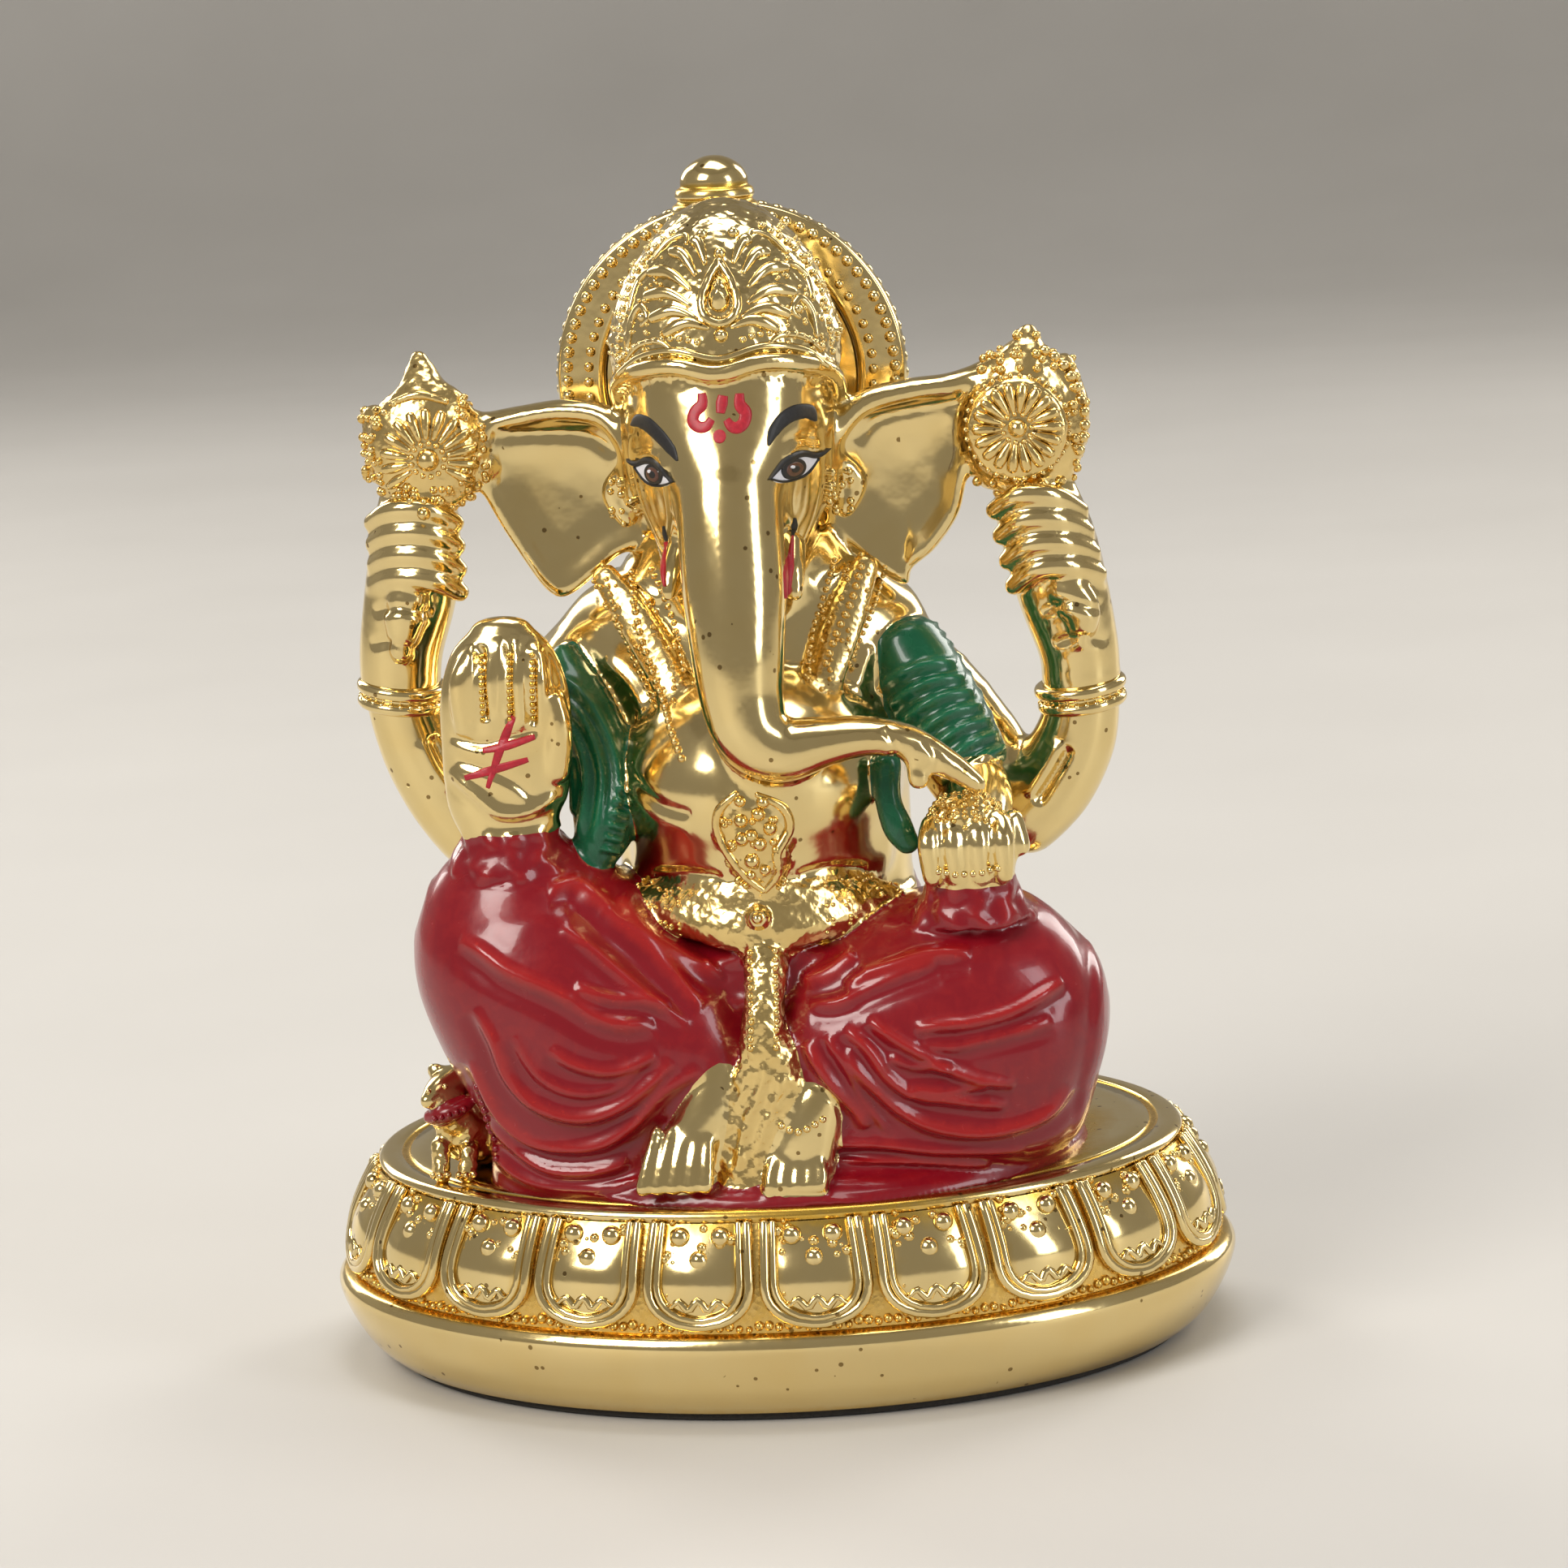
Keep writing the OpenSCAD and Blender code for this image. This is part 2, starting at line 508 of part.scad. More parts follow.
module right_rear_hand_form() {
  loft([[-34.8, -4.2, 69.6, 4, 3.8], [-34.4, -4.4, 73.4, 4.2, 4], [-33, -4.8, 79, 4.6, 4.2], [-32, -5, 84.6, 4.4, 4], [-31.6, -5, 88.4, 3.8, 3.4]],
    sides = 12, caps = [0, 0.3]);
  for (i = [0:3])
    loft([[-36, -6.6, 86.2 - i * 2.1, 1, 1], [-33.6, -9, 87.6 - i * 2.2, 1.1, 1.1], [-30.2, -9.6, 87.6 - i * 2.3, 1.1, 1.1],
      [-27.6, -8, 86 - i * 2.3, 1, 1]], sides = 7, ref = [0, 0, 1]);
  loft([[-32.6, -8.4, 79.6, 2, 1.6], [-33.2, -9, 76.4, 1.9, 1.6], [-33.8, -8.6, 73.4, 1, 1]], sides = 12);
}
module right_emblem_form() {
  loft([[-30.6, -6, 88.6, 4.4, 3], [-30.2, -6.4, 91.4, 5.6, 3.2], [-30.2, -6.4, 95, 5.7, 3.2], [-30.2, -6, 98, 4.2, 2.6], [-30.3, -5.6, 99.6, 2.2, 2]],
    sides = 14, caps = [0.2, 0.4]);
  loft([[-35.4, -5, 91, 1.2, 1.6], [-35.4, -5, 96.6, 1.2, 1.6]], sides = 10);
  loft([[-26.4, -5.6, 95, 2.2, 2], [-25.4, -5.6, 91, 2.2, 2]], sides = 12);
  ball([-30.3, -5.4, 100], [1.9, 1.9, 1.4]);
  loft([[-30.4, -5.2, 101, 1.5, 1.5], [-30.5, -5, 102, 0.9, 0.9]], sides = 12);
}

module left_upper_arm_form() loft([[13, -0.4, 71, 4.2, 4.4], [18, 0, 66.4, 4.4, 4.4], [22.4, -1, 60.6, 4.4, 4.4], [26.2, -2.6, 54.6, 4.2, 4.4]], sides = 14);
module left_forearm_form() loft([[26.4, -3.6, 53.6, 4.1, 4.2], [29.4, -3.8, 56.6, 4.3, 4.2], [31.8, -4, 60.6, 4.1, 4], [32.8, -4.2, 64, 3.8, 3.8],
  [33, -4.2, 68, 3.6, 3.7]], sides = 14, caps = [0.8, 0]);
module left_bangle_form(fn = 32) translate([32.9, -4.2, 65.8]) rotate([4, -6, 0]) rotate_extrude($fn = fn) translate([bangle_r - bangle_t, 0])
  circle(bangle_t, $fn = fn / 2);
module left_rear_hand_form() {
  loft([[33, -4.2, 67, 3.8, 3.8], [32.8, -4.4, 70.6, 4, 4], [31.6, -4.8, 76, 4.5, 4.2], [30.4, -5, 81.4, 4.6, 4], [29, -5, 86.4, 4.1, 3.4]],
    sides = 12, caps = [0, 0.3]);
  for (i = [0:3])
    loft([[25.4 + i * 0.5, -8, 84.8 - i * 2.5, 1, 1], [28 + i * 0.5, -9.6, 86.4 - i * 2.4, 1.1, 1.1], [31.2 + i * 0.5, -9, 86 - i * 2.3, 1.1, 1.1],
      [33.6 + i * 0.5, -6.6, 84.2 - i * 2.1, 1, 1]], sides = 7, ref = [0, 0, 1]);
  loft([[32, -8.4, 77, 2, 1.6], [33.4, -8.8, 74.6, 1.9, 1.6], [33.2, -8, 71.6, 1, 1]], sides = 12);
}
module left_emblem_form() {
  loft([[28.4, -5.4, 87, 4.4, 2.8], [28.4, -5.6, 90, 5.8, 3], [28.6, -5.6, 94.4, 5.9, 3], [28.9, -5.4, 98, 4.4, 2.8], [29.2, -5.2, 100, 2.4, 2.2]],
    sides = 14, caps = [0.2, 0.4]);
  translate([27.9, -6.4, 92.7]) rotate([90, 0, 0]) cylinder(h = 3, r1 = 5.4, r2 = 4.6, $fn = 28);
  loft([[33.6, -4.2, 91, 1.1, 1.6], [33.8, -4.2, 94.4, 1.1, 1.6], [32.6, -4.4, 98.4, 1.1, 1.6]], sides = 10);
  loft([[29.2, -5.2, 100.4, 1.7, 1.7], [29.3, -5, 101.4, 1.1, 1.1]], sides = 12);
}

module right_hand_forms() {
  right_rear_hand_form();
  right_emblem_form();
}
module left_hand_forms() {
  left_rear_hand_form();
  left_emblem_form();
}

module right_upper_arm() color(gold) placed() carved() difference() {
  right_upper_arm_form();
  torso_form();
  right_forearm_form();
  blessing_arm_form();
  blessing_hand_form();
  right_shawl_form();
  right_leg_form();
}
module right_forearm() color(gold) placed() carved() difference() {
  right_forearm_form();
  right_bangle_form(12);
  right_rear_hand_form();
}
module right_bangle() color(gold) placed() right_bangle_form();
module right_rear_hand() color(gold) placed() carved() difference() {
  right_rear_hand_form();
  right_bangle_form(12);
}
module right_emblem() color(gold_deep) placed() carved() difference() {
  right_emblem_form();
  right_rear_hand_form();
}
module left_upper_arm() color(gold) placed() carved() difference() {
  left_upper_arm_form();
  torso_form();
  left_forearm_form();
  left_shawl_form();
  offering_arm_form();
  left_leg_form();
}
module left_forearm() color(gold) placed() carved() difference() {
  left_forearm_form();
  left_bangle_form(12);
  left_rear_hand_form();
}
module left_bangle() color(gold) placed() left_bangle_form();
module left_rear_hand() color(gold) placed() carved() difference() {
  left_rear_hand_form();
  left_bangle_form(12);
}
module left_emblem() color(gold_deep) placed() carved() difference() {
  left_emblem_form();
  left_rear_hand_form();
}

// ---- front arms and hands ----
module blessing_arm_form() loft([[-16.6, -3.6, 70.4, 4, 4], [-20, -6, 65, 4, 4], [-22.4, -10, 60.4, 3.9, 3.9], [-22.6, -15, 58.2, 3.4, 3.4]], sides = 14);
module blessing_hand_form() {
  loft([[-22.6, -17.2, 57, 4.6, 3.2], [-22.9, -17.6, 60, 5.9, 3.4], [-22.5, -18, 65.4, 6.4, 3.2], [-22.3, -18.4, 70.6, 6.3, 2.7], [-22.2, -18.6, 74.8, 5, 2.3],
    [-22.2, -18.4, 77, 3, 1.7]], sides = 20, caps = [0.2, 0.7]);
  for (i = [0:3])
    loft([[-26 + i * 2.4, -20, 67.6, 1.2, 1.2], [-26.2 + i * 2.5, -20.8, 72, 1.15, 1.1], [-25.2 + i * 2.1, -20.2, 75.6 - abs(i - 1.6) * 0.7, 1, 0.9]],
      sides = 8);
  loft([[-17.8, -19.4, 63, 1.5, 1.3], [-17, -20.2, 67, 1.3, 1.2], [-17.2, -20.2, 70, 1, 1]], sides = 8);
}
module cuff_form(c) loft([[c[0], c[1], c[2], 4.5, 4], [c[0], c[1] + 0.3, c[2] - 1.7, 4.9, 4.5], [c[0], c[1] + 0.5, c[2] - 4, 5.9, 5.2]], sides = 18, caps = [0, 0]);
blessing_cuff_at = [-22.8, -17.2, 57.4];
offering_cuff_at = [21.8, -19.8, 51];
module cuff_low_form(which) if (which == 1) cuff_form(blessing_cuff_at); else cuff_form(offering_cuff_at);

module offering_arm_form() loft([[20.6, -9.4, 60, 3.7, 3.8], [22.4, -13, 57.6, 3.6, 3.6], [22, -17, 56, 3.6, 3.2]], sides = 14, ref = [0, 0, 1]);
module offering_hand_form() {
  loft([[21.8, -19.8, 50.8, 3.9, 3.2], [21.8, -20.2, 53.2, 4.7, 3.6], [21.7, -20.2, 56, 4.5, 3.6]], sides = 18, caps = [0, 0.2]);
  for (i = [0:3])
    loft([[18.4 + i * 2.2, -22, 57.4 - abs(i - 1.5) * 0.5, 1.1, 1.2], [18.1 + i * 2.4, -23.6, 55, 1.1, 1.1], [18.3 + i * 2.3, -23.2, 51.8, 0.95, 0.9]],
      sides = 8);
  loft([[26.2, -20, 56.6, 1, 1.2], [26.8, -20.4, 54, 1, 1.1]], sides = 8);
}
module sweet_form() ball([21.6, -20.6, 57], [3.6, 3, 2.5]);

module right_shawl_form() loft([[-17.6, -7.4, 72, 1.4, 2], [-15.8, -10.8, 67.4, 3, 3], [-14.1, -13, 61.4, 3.6, 3.2], [-14, -14.6, 56.4, 3.1, 3],
  [-15.4, -15.2, 53, 1.9, 2.2]], sides = 16);
module left_shawl_form() loft([[15.6, -5.4, 71.6, 4, 4.4], [17.8, -7, 67.4, 4.5, 4.8], [20, -8.6, 63.2, 4.5, 4.6], [21.8, -9.6, 59.6, 4.1, 4.2]], sides = 18, caps = [0.5, 0.3]);
module tail_form() loft([[14.2, -17.6, 62, 1.4, 1.4], [14.2, -18.4, 58.6, 1.3, 1.3], [15, -18.8, 56, 1.5, 1.4], [15.8, -18.6, 54.4, 1.2, 1.2]], sides = 10);

module right_arm_forms() {
  blessing_arm_form();
  blessing_hand_form();
  right_upper_arm_form();
  right_forearm_form();
}
module left_arm_forms() {
  offering_arm_form();
  offering_hand_form();
  left_upper_arm_form();
  left_forearm_form();
}
// The front arms with their cloth, which the body is trimmed to
module arms_low() {
  right_shawl_form();
  left_shawl_form();
  tail_form();
  blessing_arm_form();
  offering_arm_form();
}

module blessing_arm() color(gold) placed() carved() difference() {
  blessing_arm_form();
  right_shawl_form();
  blessing_hand_form();
  cuff_low_form(1);
}
module blessing_hand() color(gold) placed() carved() blessing_hand_form();
module blessing_cuff() color(enamel_red) placed() carved() difference() {
  cuff_low_form(1);
  blessing_hand_form();
}
module offering_arm() color(gold) placed() carved() difference() {
  offering_arm_form();
  left_shawl_form();
  offering_hand_form();
  sweet_form();
}
module offering_hand() color(gold) placed() carved() difference() {
  offering_hand_form();
  sweet_form();
}
module offering_cuff() color(enamel_red) placed() carved() difference() {
  cuff_low_form(2);
  offering_hand_form();
}
module sweet() color(gold) placed() carved() difference() {
  sweet_form();
  trunk_form();
}
module right_shawl() color(enamel_green) placed() carved() right_shawl_form();
module left_shawl() color(enamel_green) placed() carved() difference() {
  left_shawl_form();
  trunk_form();
}
module shawl_tail() color(enamel_green) placed() carved() difference() {
  tail_form();
  trunk_form();
}

// ---- mouse beside the right leg ----
module mouse_body_form() {
  loft([[-28.6, -9, 23.8, 2.8, 2.6], [-30, -11, 25, 3.1, 3], [-31.2, -13, 27.4, 2.3, 2.4]], sides = 14);
  loft([[-32.4, -14.4, 24.6, 1, 1], [-32.4, -15.6, 21.8, 0.9, 0.9]], sides = 8);
  loft([[-29.6, -14.6, 24, 1, 1], [-29.8, -15.6, 21.8, 0.9, 0.9]], sides = 8);
}
module mouse_head_form() {
  loft([[-31, -12.6, 30.4, 2.1, 2], [-32.2, -14.4, 30.2, 1.6, 1.5], [-33.2, -16, 29.6, 0.8, 0.8]], sides = 12, ref = [0, 0, 1]);
  ball([-32.8, -12.4, 31.8], [1, 0.5, 1]);
  ball([-29.6, -13, 32], [1, 0.5, 1]);
}
module mouse_scarf_form() loft([[-33.2, -14.4, 27.6, 1, 0.8], [-31.4, -15.6, 28.2, 1.2, 1], [-29.4, -15, 29, 1, 0.8]], sides = 7, ref = [0, 0, 1]);
module mouse_forms() {
  mouse_body_form();
  mouse_head_form();
}

module mouse_body() color(gold) placed() carved() above_plateau() difference() {
  mouse_body_form();
  mouse_head_form();
  right_leg_form();
}
module mouse_head() color(gold) placed() carved() difference() {
  mouse_head_form();
  right_leg_form();
}
module mouse_scarf() color(enamel_red) placed() carved() difference() {
  mouse_scarf_form();
  mouse_forms();
  right_leg_form();
}

base_pad();
base_rim();
lotus_band();
lotus_petals();
plateau();
seat_cloth();
hips();
right_leg();
left_leg();
centre_pleat();
right_foot();
left_foot();
waistband();
belt_buckle();
torso();
belly();
chest_garlands();
belly_pendant();
head();
trunk();
tusks();
right_ear();
left_ear();
crown();
crown_band();
crown_jewel();
crown_leaves();
crown_beads();
halo();
halo_beads();
finial();
right_upper_arm();
right_forearm();
right_bangle();
right_rear_hand();
right_emblem();
left_upper_arm();
left_forearm();
left_bangle();
left_rear_hand();
left_emblem();
blessing_arm();
blessing_hand();
blessing_cuff();
offering_arm();
offering_hand();
offering_cuff();
sweet();
right_shawl();
left_shawl();
shawl_tail();
mouse_body();
mouse_head();
mouse_scarf();
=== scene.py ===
"""A seated Ganesha figure: a cast, gold-plated and enamelled statuette on a lotus base.

Shapes are given in millimetres in the CAD frame (front is -Y, up is +Z) and turned into metres when
a mesh is made. The figure is modelled as one blended casting that is parted into its named pieces.
"""

import itertools
import json
import logging
import math
from dataclasses import dataclass, field
from enum import Enum
from typing import Callable, Iterable, Optional, Sequence, Union

import bpy
import numpy as np
import openvdb as vdb
from mathutils import Matrix, Vector
from mathutils.bvhtree import BVHTree

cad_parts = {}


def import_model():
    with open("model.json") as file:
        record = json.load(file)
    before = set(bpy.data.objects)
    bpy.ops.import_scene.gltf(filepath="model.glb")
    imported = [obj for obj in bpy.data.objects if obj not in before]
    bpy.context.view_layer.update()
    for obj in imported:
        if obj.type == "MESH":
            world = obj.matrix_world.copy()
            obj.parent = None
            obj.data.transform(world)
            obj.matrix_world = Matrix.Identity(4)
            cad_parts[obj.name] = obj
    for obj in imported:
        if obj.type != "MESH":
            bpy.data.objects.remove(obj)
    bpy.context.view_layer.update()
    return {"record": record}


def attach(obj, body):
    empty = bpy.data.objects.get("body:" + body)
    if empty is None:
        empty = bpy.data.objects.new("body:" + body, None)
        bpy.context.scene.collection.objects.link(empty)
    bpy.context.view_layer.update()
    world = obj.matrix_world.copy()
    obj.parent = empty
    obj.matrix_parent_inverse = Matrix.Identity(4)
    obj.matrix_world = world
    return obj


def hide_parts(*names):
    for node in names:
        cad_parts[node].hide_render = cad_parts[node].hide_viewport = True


MM = 0.001
FRONT = np.array([0.0, -1.0, 0.0])
UP = np.array([0.0, 0.0, 1.0])
LOG = logging.getLogger("ganesha")

Array = np.ndarray
Point = Sequence[float]
Line = Sequence[Point]

FULL_TURN = 2 * math.pi
CAP_ANGLES = (15, 30, 45, 60, 72, 82)
DOME_ANGLES = (-25.0, 0.0, 28.0, 55.0, 76.0)
DOME_LEAN = (0.31, 0.17, 0.93)
MIDDLE_CAVITY = 0.5


# ---------------------------------------------------------------- shapes


def unit(vectors: Array) -> Array:
    """Vectors scaled to length one."""
    vectors = np.asarray(vectors, float)
    return vectors / np.maximum(np.linalg.norm(vectors, axis=-1, keepdims=True), 1e-9)


def full_turn(count: int) -> Array:
    """Angles spread evenly round a full turn."""
    return np.linspace(0, FULL_TURN, count, endpoint=False)


def smooth_line(points: Line, steps: int, closed: bool = False) -> Array:
    """A Catmull-Rom curve through points.

    Args:
        points: the points or stations the curve passes through.
        steps: how many pieces each span is cut into.
        closed: True when the curve runs back to its start.

    Returns:
        The curve as rows of numbers.
    """
    p = np.asarray(points, float)
    count = len(p)
    index = np.arange(count if closed else count - 1)

    def at(offset: int) -> Array:
        """The points that lie offset places on from each span's start."""
        i = index + offset
        return p[i % count] if closed else p[np.clip(i, 0, count - 1)]

    a, b, c, d = (at(k)[:, None, :] for k in (-1, 0, 1, 2))
    t = (np.arange(steps) / steps)[None, :, None]
    curve = 0.5 * (2 * b + (c - a) * t + (2 * a - 5 * b + 4 * c - d) * t**2 + (3 * b - a - 3 * c + d) * t**3)
    curve = curve.reshape(-1, p.shape[1])
    return curve if closed else np.vstack([curve, p[-1]])


@dataclass
class Shape:
    """A mesh in millimetres: points, four-sided faces and three-sided faces."""

    points: Array
    quads: Array = field(default_factory=lambda: np.zeros((0, 4), int))
    tris: Array = field(default_factory=lambda: np.zeros((0, 3), int))
    cavity: Optional[Array] = None
    ridge: Optional[Array] = None
    normals: Optional[Array] = None

    @staticmethod
    def joined(shapes: Iterable["Shape"]) -> "Shape":
        """Several shapes as one mesh.

        Args:
            shapes: the shapes to join.

        Returns:
            One shape that holds them all.
        """
        shapes = list(shapes)
        starts = np.cumsum([0] + [len(s.points) for s in shapes])
        return Shape(
            np.vstack([s.points for s in shapes]),
            np.vstack([s.quads + o for s, o in zip(shapes, starts)]),
            np.vstack([s.tris + o for s, o in zip(shapes, starts)]),
            np.concatenate([s.field_or(s.cavity, MIDDLE_CAVITY) for s in shapes]),
            np.concatenate([s.field_or(s.ridge, 0.0) for s in shapes]),
            np.vstack([s.normals if s.normals is not None else point_normals(s) for s in shapes]),
        )

    def field_or(self, values: Optional[Array], default: float) -> Array:
        """A value at each point, or the default where none was given."""
        return np.full(len(self.points), default) if values is None else values

    def with_painted_shade(self, cavity: float) -> "Shape":
        """The same shape with one cavity value all over, which sets its painted shade."""
        self.cavity = np.full(len(self.points), cavity)
        return self


def ring_grid(
    rings: Array, closed_round: bool = True, ends: Sequence[Optional[Array]] = (None, None)
) -> Shape:
    """A skin over rings of points.

    Args:
        rings: an array of rings, each with the same number of points.
        closed_round: True when each ring closes on itself.
        ends: a tip point to close each end with, or None.

    Returns:
        The skin.
    """
    rows, cols = rings.shape[:2]
    i = np.arange(rows - 1)[:, None]
    k = np.arange(cols if closed_round else cols - 1)[None, :]
    after = (k + 1) % cols
    quads = np.stack(
        [i * cols + k, i * cols + after, (i + 1) * cols + after, (i + 1) * cols + k], -1
    ).reshape(-1, 4)
    points = rings.reshape(-1, 3)
    tris = []
    k = np.arange(cols)
    for end, first_ring in zip(ends, (True, False)):
        if end is None:
            continue
        tip = len(points)
        points = np.vstack([points, end])
        row = 0 if first_ring else (rows - 1) * cols
        pair = (row + (k + 1) % cols, row + k) if first_ring else (row + k, row + (k + 1) % cols)
        tris.append(np.stack([np.full(cols, tip), *pair], -1))
    return Shape(points, quads, np.vstack(tris) if tris else np.zeros((0, 3), int))


def headings(points: Array) -> Array:
    """The direction of travel at each point of a curve."""
    ahead = np.vstack([points[1:], points[-1:]])
    behind = np.vstack([points[:1], points[:-1]])
    return unit(ahead - behind)


def loft(
    stations: Line,
    caps: Sequence[float] = (1, 1),
    ref: Array = FRONT,
    steps: int = 8,
    sides: int = 40,
) -> Shape:
    """A solid through elliptical stations [x, y, z, half width, half depth], with rounded ends.

    Args:
        stations: the stations in order.
        caps: how far each end bulges, in smaller half sizes.
        ref: the direction that the half depth lies along.
        steps: how many pieces each span is cut into.
        sides: points round a ring.

    Returns:
        The closed solid.
    """
    s = smooth_line(stations, steps)
    ways = headings(s[:, :3])
    rows = [(c, t, a, b) for c, t, a, b in zip(s[:, :3], ways, s[:, 3], s[:, 4])]
    tips = []
    for end, sign in ((0, -1), (-1, 1)):
        c, t, a, b = rows[end]
        reach = sign * caps[0 if sign < 0 else 1] * min(a, b)
        arcs = [(math.sin(math.radians(q)), math.cos(math.radians(q))) for q in CAP_ANGLES]
        added = [(c + t * reach * up, t, a * round_, b * round_) for up, round_ in arcs]
        tips.append(c + t * reach)
        if not reach:
            continue
        rows = added[::-1] + rows if sign < 0 else rows + added
    centre = np.array([r[0] for r in rows])
    way = np.array([r[1] for r in rows])
    a = np.array([r[2] for r in rows])[:, None, None]
    b = np.array([r[3] for r in rows])[:, None, None]
    side = unit(np.cross(way, ref))
    out = np.cross(side, way)
    q = full_turn(sides)[None, :, None]
    rings = centre[:, None] + a * np.cos(q) * side[:, None] + b * np.sin(q) * out[:, None]
    return ring_grid(rings, ends=tips)


def ball(centre: Point, radii: Union[float, Point], rows: int = 24, sides: int = 48) -> Shape:
    """An ellipsoid.

    Args:
        centre: its centre.
        radii: one radius or three.
        rows: rings from pole to pole.
        sides: points round a ring.

    Returns:
        The closed ellipsoid.
    """
    radii = np.broadcast_to(np.asarray(radii, float), 3)
    p = np.linspace(-math.pi / 2, math.pi / 2, rows + 2)[1:-1][:, None]
    q = full_turn(sides)[None, :]
    rings = np.stack([np.cos(p) * np.cos(q), np.cos(p) * np.sin(q), np.sin(p) * np.ones_like(q)], -1)
    rings = rings * radii + centre
    tips = (np.asarray(centre) - radii * UP, np.asarray(centre) + radii * UP)
    return ring_grid(rings, ends=tips)


def tube(
    path: Array, radii: Array, sides: int = 10, closed: bool = False, flat: float = 1.0, ref: Array = FRONT
) -> Shape:
    """A round bar along a path.

    Args:
        path: the points of its centre line.
        radii: its radius at each point.
        sides: points round the bar.
        closed: True when the bar joins its own start.
        flat: the bar's depth along ref, as a share of its width.
        ref: the direction the bar is flattened along.

    Returns:
        The bar.
    """
    path = np.asarray(path, float)
    radii = np.broadcast_to(radii, len(path))
    way = unit(np.roll(path, -1, 0) - np.roll(path, 1, 0)) if closed else headings(path)
    side = unit(np.cross(way, ref))
    out = np.cross(side, way)
    q = full_turn(sides)[None, :, None]
    r = radii[:, None, None]
    rings = path[:, None] + r * np.cos(q) * side[:, None] + flat * r * np.sin(q) * out[:, None]
    if closed:
        rings = np.concatenate([rings, rings[:1]])
        return ring_grid(rings)
    return ring_grid(rings, ends=(path[0] - way[0] * radii[0] * 0.6, path[-1] + way[-1] * radii[-1] * 0.6))


def dome(centre: Array, way: Array, radius: float, height: float = 0.0, sides: int = 10) -> Shape:
    """A bead half sunk in a surface.

    Args:
        centre: the middle of its foot.
        way: the direction it stands out in.
        radius: its radius.
        height: how far it stands out, or 0 for its radius.
        sides: points round it.

    Returns:
        The bead.
    """
    way = unit(way)
    side = unit(np.cross(way, DOME_LEAN))
    other = np.cross(way, side)
    q = full_turn(sides)[None, :, None]
    p = np.radians(DOME_ANGLES)[:, None, None]
    flat = np.cos(p) * (np.cos(q) * side + np.sin(q) * other) * radius
    rings = centre + flat + np.sin(p) * way * (height or radius)
    return ring_grid(rings, ends=(None, centre + way * (height or radius)))


def turned(
    profile: Line, oval: float = 1.0, centre: Point = (0, 0, 0), sides: int = 288, steps: int = 1
) -> Shape:
    """A form turned on the lathe, closed on its axis.

    Args:
        profile: [radius, height] from the bottom to the top.
        oval: depth over width.
        centre: where its axis stands.
        sides: points round it.
        steps: how finely each span of the profile is smoothed.

    Returns:
        The turned form.
    """
    p = smooth_line(profile, steps) if steps > 1 else np.asarray(profile, float)
    q = full_turn(sides)[None, :]
    rings = np.stack([p[:, :1] * np.cos(q), p[:, :1] * np.sin(q) * oval, p[:, 1:2] * np.ones_like(q)], -1)
    ends = (np.array([0, 0, p[0, 1]]) + centre, np.array([0, 0, p[-1, 1]]) + centre)
    return ring_grid(rings + np.asarray(centre, float), ends=ends)


def sided(line: Line, side: int, middle: float) -> Line:
    """A line in x, z laid off to one side of a middle."""
    return [(middle + side * x, z) for x, z in line]


def moved(shape: Shape, matrix: Matrix) -> Shape:
    """A shape carried by a matrix in millimetres."""
    m = np.array(matrix)
    shape.points = shape.points @ m[:3, :3].T + m[:3, 3]
    return shape


def face_cross(points: Array, faces: Array) -> Array:
    """The doubled area vector of each face."""
    a, b, c, d = (points[faces[:, k]] for k in (0, 1, 2, -1))
    return np.cross(c - a, d - b) if faces.shape[1] == 4 else np.cross(b - a, c - a)


def spread(index: Array, values: Array, count: int) -> Array:
    """The sum of rows of values at each index."""
    return np.stack([np.bincount(index, values[:, k], count) for k in range(values.shape[1])], -1)


def point_normals(shape: Shape) -> Array:
    """The outward direction at each point of a shape."""
    total = np.zeros((len(shape.points), 3))
    for faces in (shape.quads, shape.tris):
        if len(faces):
            cross = face_cross(shape.points, faces)
            total += sum(spread(faces[:, k], cross, len(shape.points)) for k in range(faces.shape[1]))
    return unit(total)


def hash_noise(points: Array, size: float, seed: float = 0.0) -> Array:
    """Smooth noise from -1 to 1 made of waves in fixed directions.

    Args:
        points: where it is wanted.
        size: the size of its lumps in millimetres.
        seed: picks the pattern.

    Returns:
        A value at each point.
    """
    total = np.zeros(len(points))
    for i in range(7):
        a = 2.4 * i + seed
        way = np.array([math.sin(a * 1.7 + 0.3), math.cos(a * 2.3 + 1.1), math.sin(a * 3.1 + 2.0)])
        wave = FULL_TURN / (size * (1 + 0.17 * i))
        total += np.sin(points @ way * wave + 1.3 * a + np.sin(points @ way[::-1] * wave * 0.7))
    return total / 4.2


# ---------------------------------------------------------------- the blended casting


@dataclass
class LocalField:
    """The distance field of one named part, kept in a box of voxels."""

    start: Array
    values: Array


